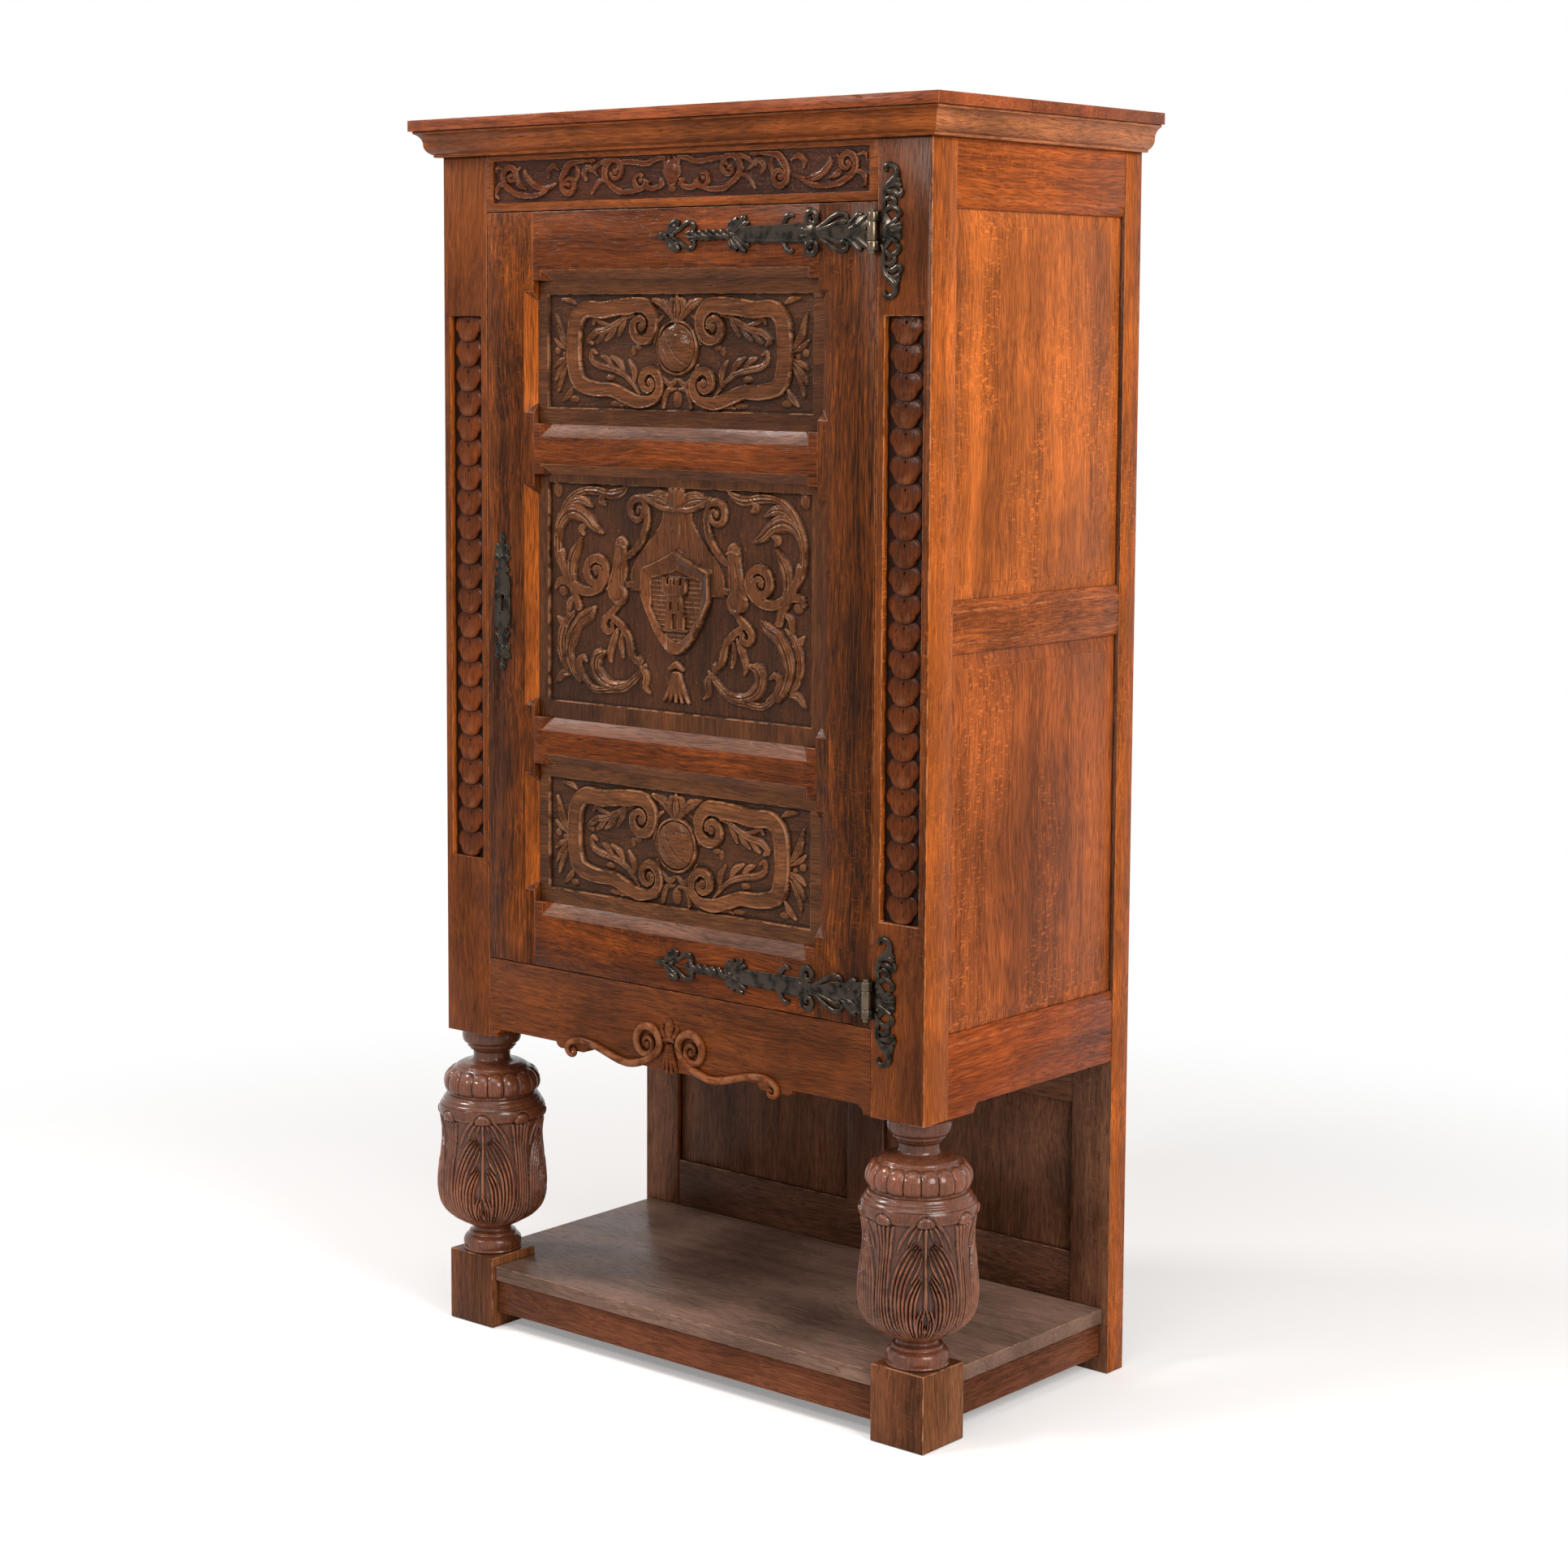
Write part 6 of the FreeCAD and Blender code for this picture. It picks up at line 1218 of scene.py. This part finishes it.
# %% A turned and carved baluster
AXIS_X, AXIS_Y = 420, -177.5
WIDEST = 85.4  # the carving stops at this radius


def baluster(name, side_sign, seed, foot, head, around, rows):
    """The part of a baluster between two heights, as a grid of points round its axis."""
    line = through([(r, z, 0) for r, z in PROFILE], 0.6)
    line = line[(line[:, 1] >= foot) & (line[:, 1] <= head)]
    radius, height = even_steps(line, rows)
    angle = np.linspace(0, 2 * math.pi, around + 1)
    turn, r = np.meshgrid(angle, np.clip(radius, 0, None))
    z = np.meshgrid(angle, height)[1]
    carving, cover, cup, sunk = gadroons_and_leaves(
        turn, z, math.radians(-50 + 5 * side_sign))
    # the unevenness of handwork
    draw = np.random.default_rng(seed)
    wave = sum(draw.uniform(0.05, 0.12)
               * np.sin(turn * k + z / draw.uniform(14, 30) + draw.uniform(0, 6))
               for k in range(3, 9))
    cut = np.minimum(np.where(r > 24, r + carving + wave * (cup + cover), r), WIDEST)

    def spread(n):
        """The carving averaged over squares of 2 n + 1 points."""
        return averaged(averaged(carving, even(2 * n + 1), 0), even(2 * n + 1), 1, "wrap")

    # hollow darkens the recesses and the ground between the leaves, grime and painted shade, and
    # darkens the turned parts a little; ridge pales the crests, worn varnish and a painted
    # highlight
    ground = np.where(sunk, 0.35, 0) + 0.32 * (1 - cup) * (1 - cover)
    hollow = np.clip((spread(3) - carving) / 1.3 + ground, 0, 1)
    ridge = np.clip((carving - spread(2)) / 0.9 - 0.15, 0, 1)
    piece, a, b = grid_points(around + 1, rows)
    piece.name = name
    turned = angle[a] % (2 * math.pi)
    a = a % around
    shape_grid(piece, side_sign * AXIS_X + cut[b, a] * np.cos(turned),
               AXIS_Y + cut[b, a] * np.sin(turned), height[b], hollow[b, a], ridge[b, a])
    # the seam is merged and the open ends are closed
    edit_all(piece)
    bpy.ops.mesh.remove_doubles(threshold=0.00001)
    select_rims()
    bpy.ops.mesh.edge_face_add()
    bpy.ops.mesh.select_all(action="SELECT")
    bpy.ops.mesh.normals_make_consistent(inside=False)
    bpy.ops.object.mode_set(mode="OBJECT")
    bpy.ops.object.shade_smooth_by_angle(angle=math.radians(60))
    print(name, len(piece.data.polygons), "faces")
    return piece


for side_name, side_sign, seed in (("left", -1, 21), ("right", 1, 22)):
    turned_oak = oak(side_name + "_baluster_finish", "z", "baluster", 0.15, 0.35, 0.85, 0.0002,
                     0.42, contrast=0.7, polish=0.18)
    for part, foot, head, around, rows in (("head", 344, 461, 360, 170),
                                           ("cup", 150, 344, 480, 200),
                                           ("foot", 110, 150, 192, 90)):
        whole = side_name + "_baluster"
        settle(baluster(whole + "_" + part, side_sign, seed, foot, head, around, rows),
               "carcase", "carved_oak", turned_oak, whole)


# %% [markdown]
# ## The scales in the posts
# Each pocket holds twenty-two overlapping scales. One scale is a disc whose rim is moved
# to the scale's outline, inset three times to round its face, thickened, and tipped so
# that its lobe rides over the next one. A small lozenge is cut under the lobe above. The
# others are copies, one pitch lower each.

# %% One scale
SCALES = 22
SCALE_PITCH = 37.4
SCALE_HEAD = 1558.0
RIM_POINTS = 60
# round shoulders, a notch, and a narrower round lobe
HALF_RIM = [(0, 5, 0), (12, 5.2, 0), (20, 3, 0), (25.4, -2, 0), (28.2, -9, 0), (28, -16, 0),
            (25.4, -21, 0), (21.6, -23.6, 0), (20.2, -26.2, 0), (17.4, -31, 0),
            (12.4, -35.4, 0), (6.4, -37.5, 0), (0, -38, 0)]


def cut_out(piece, cutter):
    """Cuts one solid out of a piece and removes the cutter."""
    alone(piece)
    cut = piece.modifiers.new("cut", "BOOLEAN")
    cut.object = cutter
    cut.operation = "DIFFERENCE"
    cut.solver = "EXACT"
    bpy.ops.object.modifier_apply(modifier="cut")
    bpy.data.objects.remove(cutter)


def new_scale():
    """One scale under the origin, its face toward -Y, tipped outward at the lobe."""
    line = through(HALF_RIM, 0.7)
    whole = np.vstack([line, (line * (-1, 1, 1))[::-1][1:]])
    bpy.ops.object.select_all(action="DESELECT")
    bpy.ops.mesh.primitive_circle_add(vertices=RIM_POINTS, radius=1, fill_type="NGON")
    scale = bpy.context.active_object
    for vertex, x, z in zip(scale.data.vertices, *even_steps(whole, RIM_POINTS, True)):
        vertex.co = (x * MM, 0, z * MM)
    edit_all(scale)
    for rim, rise in ((0.0005, -0.0011), (0.0012, -0.0010), (0.0040, -0.0008)):
        bpy.ops.mesh.inset(thickness=rim, depth=0)
        bpy.ops.transform.translate(value=(0, rise, 0))
    select_rims()
    bpy.ops.mesh.extrude_edges_move(TRANSFORM_OT_translate={"value": (0, 0.0048, 0)})
    bpy.ops.mesh.edge_face_add()
    bpy.ops.mesh.select_all(action="SELECT")
    bpy.ops.mesh.normals_make_consistent(inside=False)
    bpy.ops.object.mode_set(mode="OBJECT")
    bpy.ops.mesh.primitive_cone_add(vertices=4, radius1=0.0062, radius2=0, depth=0.006,
                                    location=(0, -0.0028, -0.0072),
                                    rotation=(math.radians(-90), 0, 0))
    lozenge = bpy.context.active_object
    lozenge.scale = (0.72, 1.2, 1)
    cut_out(scale, lozenge)
    return moved(scale, lambda x, y, z: (x, y + (0.0016 + z * 0.115), z))


# %% The copies in each pocket, on a ground darkened by painted shade
POCKET_FOOT, POCKET_HEAD = 735.3, 1557.7
LEDGE = FRONT + 7.6


def scale_strip(name, middle, finish):
    """One pocket's scales and the board behind them."""
    first = new_scale()
    copies = []
    for k in range(SCALES):
        drop = SCALE_HEAD - k * SCALE_PITCH - 1.0
        copies.append(moved(placed("scale", first.data.copy()), lambda x, y, z: (
            x + middle * MM, y + LEDGE * MM, min(z / MM + drop, SCALE_HEAD - 0.6) * MM)))
    bpy.data.objects.remove(first)
    bpy.ops.object.select_all(action="DESELECT")
    bpy.ops.mesh.primitive_cube_add(size=1)
    strip = moved(bpy.context.active_object, lambda x, y, z: (
        middle * MM + x * 0.0655, (FRONT + 10.2) * MM + y * 0.0014,
        ((POCKET_FOOT + POCKET_HEAD) / 2 + z * (POCKET_HEAD - POCKET_FOOT)) * MM))
    for scale in copies:
        scale.select_set(True)
    bpy.ops.object.join()
    strip.name = name + "_scales"
    # painted shade: the deeper a point lies, the darker, so the gaps between scales and the board
    # behind them are shaded in the colour; the foremost faces get worn varnish and a painted
    # highlight
    depth = np.array([v.co.y / MM - FRONT for v in strip.data.vertices])
    point_value(strip, "hollow", np.clip((depth - 4.5) / 4.5, 0, 1))
    point_value(strip, "edge", np.clip((3.2 - depth) / 1.4, 0, 0.8))
    alone(strip)
    bpy.ops.object.shade_smooth_by_angle(angle=math.radians(38))
    print(strip.name, len(strip.data.polygons), "faces")
    settle(strip, "carcase", "carved_oak", finish, name)


for side_name, middle in (("left", -419), ("right", 419)):
    scale_strip(side_name + "_scale_strip", middle, oak(
        side_name + "_scales_finish", "z", "scales", 0.15, 0.6, 1.0, shine=0.1, polish=0.14))


# %% [markdown]
# ## Wrought iron
# Blackened iron shows a dark bloom in random patches, and is brighter and smoother between them.
# The scrolls of the hinges are bars that the smith drew out and rolled, so each is a curve
# with a round section and a radius at every point, pressed flat on the board behind it.

# %% The iron finish
def iron(name, tone, dim=0.28):
    """Forged metal, bare in patches and dulled elsewhere down to dim times its tone."""
    finish, tree, metal = new_finish(name, Metallic=0.85)
    place = node(tree, "ShaderNodeTexCoord").outputs["Object"]
    bloom = noise(tree, place, 70, 3).outputs["Fac"]
    grit = sums(tree, "MULTIPLY", noise(tree, place, 700).outputs["Fac"], 0.5)
    link(tree, mixed(tree, between(tree, bloom, 0.42, 0.64), share(tone, 1.25),
                     share(tone, dim)), metal.inputs["Base Color"])
    link(tree, between(tree, bloom, 0.35, 0.7, 0.14, 0.3), metal.inputs["Roughness"])
    bumped(tree, metal, sums(tree, "ADD", bloom, grit), 0.3, 0.00012)
    return finish


BLACK_IRON = iron("black_iron", srgb(58, 50, 42))
BRIGHT_STEEL = iron("bright_steel", srgb(98, 84, 68), 0.75)

# %% Drawn bars, balls and plates
PIN_X = 370.0  # the hinge pins


def rolled(line, thickness, sides=3, flat=0.62, lift=1.2):
    """A round bar along (x, y, z, radius) points, flattened onto the board, all in mm."""
    data = bpy.data.curves.new("bar", "CURVE")
    data.dimensions = "3D"
    data.bevel_depth = thickness
    data.bevel_resolution = sides
    data.use_fill_caps = True
    spline = data.splines.new("POLY")
    spline.points.add(len(line) - 1)
    for point, (x, y, z, radius) in zip(spline.points, line):
        point.co = (x, y, z, 1)
        point.radius = radius
    alone(placed("bar", data))
    bpy.ops.object.convert(target="MESH")
    return moved(bpy.context.active_object,
                 lambda x, y, z: (x * MM, (FRONT - lift + y * flat) * MM, z * MM))


def bar(points, flat=0.62, lift=1.2, sides=3):
    """A tapered bar along (x, z, radius) points."""
    line = [(x, 0, z, max(radius, 0.25)) for x, z, radius in through(points, 1.6)]
    return rolled(line, 1, sides, flat, lift)


def ball(x, z, radius, flat=0.8, lift=1.2):
    """A flattened ball that stands on the board."""
    bpy.ops.object.select_all(action="DESELECT")
    bpy.ops.mesh.primitive_uv_sphere_add(segments=14, ring_count=8, radius=radius * MM)
    return moved(bpy.context.active_object, lambda a, b, c: (
        a + x * MM, b * flat + (FRONT - lift) * MM, c + z * MM))


def plate(outline, thickness, arris):
    """A flat plate from a closed outline of (x, z), with a soft arris, all in mm."""
    bpy.ops.object.select_all(action="DESELECT")
    bpy.ops.mesh.primitive_circle_add(vertices=len(outline), radius=1, fill_type="NGON")
    made = bpy.context.active_object
    for vertex, (x, z) in zip(made.data.vertices, outline):
        vertex.co = (x * MM, (FRONT - 0.05) * MM, z * MM)
    edit_all(made)
    bpy.ops.mesh.extrude_region_move(TRANSFORM_OT_translate={"value": (0, -thickness * MM, 0)})
    bpy.ops.mesh.select_all(action="SELECT")
    bpy.ops.mesh.normals_make_consistent(inside=False)
    bpy.ops.object.mode_set(mode="OBJECT")
    eased_arrises(made, arris)
    return made


# %% Knuckles, and parts joined into one piece
def knuckle(middle, low, high):
    """A rolled barrel round the pin between two heights, with softened ends."""
    bpy.ops.object.select_all(action="DESELECT")
    bpy.ops.mesh.primitive_cylinder_add(
        vertices=36, radius=6.8 * MM, depth=(high - low - 0.5) * MM,
        location=(PIN_X * MM, (FRONT - 8) * MM, (middle + (low + high) / 2) * MM))
    made = bpy.context.active_object
    bpy.ops.object.transform_apply(location=True, rotation=True, scale=True)
    eased_arrises(made, 0.9, 3)
    made.data.materials.append(BRIGHT_STEEL)
    return made


def joined(name, parts, finish=None):
    """One piece from several; the parts without a finish of their own get the given one."""
    bpy.ops.object.select_all(action="DESELECT")
    for part in parts:
        if finish and not part.data.materials:
            part.data.materials.append(finish)
        part.select_set(True)
    bpy.context.view_layer.objects.active = parts[0]
    bpy.ops.object.join()
    made = bpy.context.active_object
    made.name = name
    bpy.ops.object.shade_smooth_by_angle(angle=math.radians(42))
    return made


def forged(root, middle, rows):
    """A bar for each (lift, points) row, and one for its mirror image below the middle."""
    return [bar([(root + s, middle + way * z, r) for s, z, r in points], lift=lift)
            for lift, *points in rows for way in (1, -1)]


def symmetric(root, middle, half):
    """A closed outline from its upper half."""
    whole = list(half) + [(s, -z) for s, z in reversed(half) if z]
    return [(root + s, middle + z) for s, z in whole]


# %% A strap hinge on the door
def twisted_bar(tip, middle):
    """Two strands round each other."""
    strands = []
    for phase in (0, math.pi):
        line = []
        for s in 74 + 68 * np.arange(49) / 48:
            way = phase + s * 0.235
            line.append((tip + s, 2.6 * math.cos(way), middle + 3.9 * math.sin(way), 1))
        strands.append(rolled(line, 4.2, lift=3.4))
    return strands


def strap_hinge(name, middle):
    """Arrow, leaf head, twisted bar, palmette, strap, horns, rosettes and leaf plate."""
    tip = PIN_X - 400
    rosette = [(290 + r * math.cos(a), 19 + r * math.sin(a), w) for r, a, w in (
        (10, 3.4, 3.8), (10.4, 2.4, 4), (10, 1.4, 4), (9.4, 0.4, 3.8), (8.4, -0.6, 3.4),
        (6.4, -1.6, 3), (4.4, -2.8, 2.6), (2.6, -4.2, 2.4))]
    parts = [plate(symmetric(tip, middle, half), thickness, arris) for half, thickness, arris in (
        (((0, 0), (12, 5.4), (18, 4), (22, 2)), 3.2, 1.0),
        (((150, 8), (176, 9.4), (276, 11), (292, 12)), 3.0, 0.6),
        (((288, 8), (312, 9), (336, 12), (352, 16), (368, 20), (392, 24)), 2.6, 0.6),
        (((391, 12.6), (399, 12.6)), 8, 0.4))]
    parts += twisted_bar(tip, middle)
    parts += forged(tip, middle, (
        # leaf head: two rolled leaves round a hollow
        (2, (20, 0, 2), (26, 9, 3.4), (32, 16, 4), (40, 19.5, 3.8), (48, 18, 3)),
        (2, (24, 3, 2), (32, 8, 3), (40, 12, 3), (45, 9, 2.6)),
        (2.6, (46, 19, 3), (42, 14, 3), (36, 13, 2.4)),
        (2.2, (34, 3, 2), (46, 8, 3), (58, 16, 3.4), (68, 18.5, 3.6), (75, 14, 3.2), (74, 8, 3),
         (69, 10, 2.4)),
        (1.8, (60, 3, 2), (68, 4, 3), (78, 2.6, 2.6)),
        # palmette: five fingers each side of the bar's end
        (2, (142, 2, 3), (146, 11, 4), (150, 17, 4.4), (156, 21, 4)),
        (2.4, (148, 4, 3), (158, 14, 3.6), (166, 22, 4), (172, 23, 3)),
        (2.2, (152, 3, 3), (164, 11, 3.4), (173, 16, 3.4), (177, 14, 2.6)),
        (1.8, (140, 6, 2.6), (141, 14, 3.4), (145, 18, 2.6)),
        # the strap's raised rims and its horns
        (2.6, (158, 6, 2), (178, 9, 2.2), (236, 10, 2.2), (248, 11, 2.2), (278, 11.4, 2.2),
         (292, 12, 2)),
        (2.2, (236, 10, 2), (241, 16, 3.6), (246, 23, 3.8), (254, 25, 3.2), (257, 22, 2.4)),
        # rosettes: a rolled scroll each side
        (2.2, (276, 8, 2.4), (281, 16, 3.6), *rosette),
        (2, (270, 4, 2), (276, 5, 3.4), (282, 3, 2.4)),
        # leaves on the plate before the knuckle
        (2.4, (300, 6, 2.2), (312, 12, 2.8), (326, 20, 3.2), (340, 25, 3.4), (350, 23, 3.2),
         (352, 16, 3), (346, 14, 2.6)),
        (3, (300, 3, 2), (318, 7, 2.6), (334, 12, 3), (346, 14, 3)),
        (2.4, (338, 8, 2), (352, 9, 3), (362, 15, 3.6), (372, 23, 3.4), (378, 22, 2.6)),
        (2.6, (356, 4, 2), (368, 8, 3), (378, 14, 3.4), (388, 21, 3))))
    for s, z, radius, flat, lift in (
            (31, 16, 4.2, 0.8, 2), (31, -16, 4.2, 0.8, 2), (33, 0, 4, 0.8, 2),
            (146, 0, 5, 0.8, 2), (347, 14, 5, 0.8, 3), (347, -14, 5, 0.8, 3),
            (366, 9, 3, 0.7, 3.2), (384, 4, 3, 0.7, 3.2), (366, -9, 3, 0.7, 3.2)):
        parts.append(ball(tip + s, middle + z, radius, flat, lift))
    parts.append(knuckle(middle, -13, 13))
    settle(joined(name + "_iron", parts, BLACK_IRON), "door", "hinge_iron", None, name)


# %% The scrolled leaf on the post
def frame_leaf(name, middle):
    """A fan in the middle and a scrolled leaf above and below, like two wings."""
    root = 377.5
    fan_plate = symmetric(root, middle, ((0, 24), (12, 24), (20, 15), (28, 9), (38, 11)))
    parts = [plate(fan_plate, 2.6, 0.6)]
    for lean, reach in ((0, 40), (13, 41), (-13, 41), (27, 38), (-27, 38)):
        way = math.radians(lean)
        parts.append(bar([(root + s * math.cos(way), middle + s * math.sin(way), radius)
                          for s, radius in ((12, 1.6), (26, 2.8), (reach - 3, 3.6))], lift=2.2))
    # wings
    parts += forged(root, middle, (
        (2.4, (4, 18, 2.6), (8, 30, 3.4), (7, 44, 3.6), (12, 58, 4.4), (22, 66, 5.2),
         (29, 74, 5), (26, 84, 4), (16, 88, 3.6), (9, 84, 3), (12, 79, 2.4)),
        (2.4, (10, 26, 2.4), (18, 32, 3.6), (28, 30, 3.8), (35, 23, 3.4), (30, 18, 2.6)),
        (2.2, (10, 42, 2.4), (20, 44, 3.6), (27, 38, 3.4), (24, 33, 2.4)),
        (2.4, (14, 52, 2.6), (24, 52, 4), (34, 47, 4), (38, 52, 3), (34, 56, 2.4)),
        (2.2, (18, 60, 2.4), (28, 62, 4), (36, 58, 3.2)),
        (2, (24, 72, 2.4), (31, 68, 3.2), (34, 63, 2.4))))
    for s, z in ((8, 12), (8, -12), (22, 0)):
        parts.append(ball(root + s, middle + z, 3.2, 0.7, 2.8))
    for low, high in ((-26, -13), (13, 26)):
        parts.append(plate([(x, middle + z) for x, z in (
            (373.2, high), (379, high), (379, low), (373.2, low))], 8, 0.4))
        parts.append(knuckle(middle, low, high))
    settle(joined(name + "_iron", parts, BLACK_IRON), "carcase", "hinge_iron", None, name)


HINGE_HEIGHTS = {"upper": 1671.0, "lower": 625.0}
for word, middle in HINGE_HEIGHTS.items():
    strap_hinge(word + "_strap_hinge", middle)
    frame_leaf(word + "_frame_leaf", middle)
print("two strap hinges and two frame leaves")

# %% The pins and the lock keep their solids
for name in ("hinge_pins", "lock_case", "lock_bolt", "strike_plate"):
    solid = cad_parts[name]
    solid.data.materials.clear()
    solid.data.materials.append(BRIGHT_STEEL)

# %% [markdown]
# ## The escutcheon
# A sawn plate with a scalloped crown and foot, two nails, and a real keyhole.

# %% Escutcheon
KEY_X, KEY_Z = -340.5, 1130.0
SHIELD_Z = KEY_Z + 1.5
CROWN = [(0, 105), (4, 102.5), (6.6, 97), (5, 91), (3.4, 88), (7, 84), (12, 86.5), (16.4, 84),
         (15.6, 79), (12.6, 75.5), (15.2, 71), (17, 66), (13.4, 61.5), (9, 61), (8.4, 57),
         (11.6, 53.6), (15, 50), (12.2, 46), (7.6, 44.4), (8.4, 40), (12, 38.6), (17, 40)]
half = CROWN + [(16.4, 30), (16.2, 0), (16.4, -30)] + [(x, -z) for x, z in CROWN[::-1]]
outline = half + [(-x, z) for x, z in half[::-1] if x]
parts = [plate([(KEY_X + x, SHIELD_Z + z) for x, z in outline], 1.7, 0.45)]
bpy.ops.object.select_all(action="DESELECT")
bpy.ops.mesh.primitive_cylinder_add(vertices=32, radius=4 * MM, depth=0.03,
                                    location=(KEY_X * MM, FRONT * MM, (KEY_Z + 9) * MM),
                                    rotation=(math.radians(90), 0, 0))
hole = bpy.context.active_object
bpy.ops.mesh.primitive_cube_add(size=1, location=(KEY_X * MM, FRONT * MM, (KEY_Z - 2) * MM))
slit = bpy.context.active_object
slit.scale = (0.0042, 0.03, 0.022)
cut_out(parts[0], hole)
cut_out(parts[0], slit)


def raised(points, flat, lift):
    """A thin bar on the plate, drawn from the plate's middle."""
    parts.append(bar([(KEY_X + x, SHIELD_Z + z, r) for x, z, r in points], flat, lift))


for hand in (-1, 1):
    raised([(hand * 15.6, z, r) for z, r in ((-38, 1.2), (-20, 1.3), (0, 1.4), (20, 1.3),
                                            (38, 1.2))], 0.8, 1.7)
    for z, reach in ((48, 12), (66, 12), (82, 10)):
        for way in (1, -1):
            raised([(hand * x, way * (z + rise), r) for x, rise, r in (
                (5, 0, 1.2), (9, 3, 1.7), (reach + 1.5, 0.5, 1.7), (reach + 1, -3, 1.2))],
                0.7, 1.9)
rim = [(5.6 * math.sin(a), 7.5 + 5.4 * math.cos(a), 0.8) for a in np.linspace(-2.6, 2.6, 15)]
raised(rim + [(3.2, -13.5, 0.8), (0, -15.5, 0.8), (-3.2, -13.5, 0.8)], 0.8, 1.7)
for z, radius, flat, lift in ((70, 3.6, 0.7, 1.9), (-67, 3.6, 0.7, 1.9), (98, 4.4, 0.6, 1.6),
                              (-96, 4.4, 0.6, 1.6)):
    parts.append(ball(KEY_X, KEY_Z + z, radius, flat, lift))
settle(joined("escutcheon_iron", parts), "door", "hinge_iron", BLACK_IRON, "escutcheon")

# %% [markdown]
# ## The apron's scroll
# The raised work is cut off a copy of the apron's solid, so the board is plain, and a
# rounded band is laid along its lower edge, rolled into a volute on each side of a husk.

# %% Apron
CURL = [(197.5, 467, 2.4), (193, 470, 2.8), (190, 466, 3.2), (193, 461, 3.6), (200, 460.6, 4),
        (205.5, 467, 4.6), (203, 476, 5)]
RUN = [(192, 482, 5.2), (175, 484.5, 5.4), (150, 481.5, 5.6), (120, 473, 5.8), (96, 467, 6),
       (75, 466.5, 6), (52, 473, 6), (34, 483, 6)]
ROLL_IN = [(22, 494, 6.2), (18.6, 505, 6.4), (23, 518, 6.6), (35, 526, 6.6), (49, 525.5, 6.4),
           (60, 517, 6.2), (64.5, 504, 6), (60, 491, 5.6), (50, 484.5, 5), (39, 487, 4.6),
           (32.5, 496, 4.4), (34, 506, 4.2), (42, 510.5, 3.8), (49.5, 506, 3.2),
           (49.5, 498, 2.6)]
apron = copied("apron_rail")
edit_all(apron)
bpy.ops.mesh.bisect(plane_co=(0, (FRONT + 0.3) * MM, 0), plane_no=(0, -1, 0), use_fill=True,
                    clear_outer=True)
bpy.ops.object.mode_set(mode="OBJECT")
eased_arrises(apron, 1.0, sharp=35, clamp=False)
parts = [apron]
for hand in (-1, 1):
    for points, flat, lift, sides in (
            (CURL + RUN + ROLL_IN, 1.0, 1.8, 5),
            ([(3, 512, 3), (10, 518, 5), (15, 527, 4.4), (12, 534, 2.4)], 0.8, 1, 3),
            ([(3, 506, 3), (8, 486, 4.2), (13.5, 466, 2.6)], 0.8, 1, 3),
            ([(1.5, 506, 3), (3, 486, 3.8), (5, 463, 2.4)], 0.9, 1.6, 3)):
        parts.append(bar([(hand * x, z, r) for x, z, r in points], flat, lift, sides))
    parts.append(ball(hand * 42.5, 499, 6.4, 0.7, 0.8))
parts.append(bar([(0, 514, 5), (0, 528, 8.4), (0, 538, 6), (0, 543, 3)], 0.7, 1.2))
parts.append(bar([(-11, 510, 3), (0, 513.5, 4.2), (11, 510, 3)], 0.9, 2))
apron = joined("apron_carving", parts)
# the scroll's foremost faces get worn varnish and a painted highlight
point_value(apron, "hollow", [0.0] * len(apron.data.vertices))
point_value(apron, "edge", [min(max((FRONT - v.co.y / MM - 4.5) / 3, 0), 0.6)
                            for v in apron.data.vertices])
settle(apron, "carcase", "carved_oak", oak("apron_finish", "x", "front", 0.2, 0.7), "apron_rail")
print("apron with its scroll,", len(apron.data.polygons), "faces")
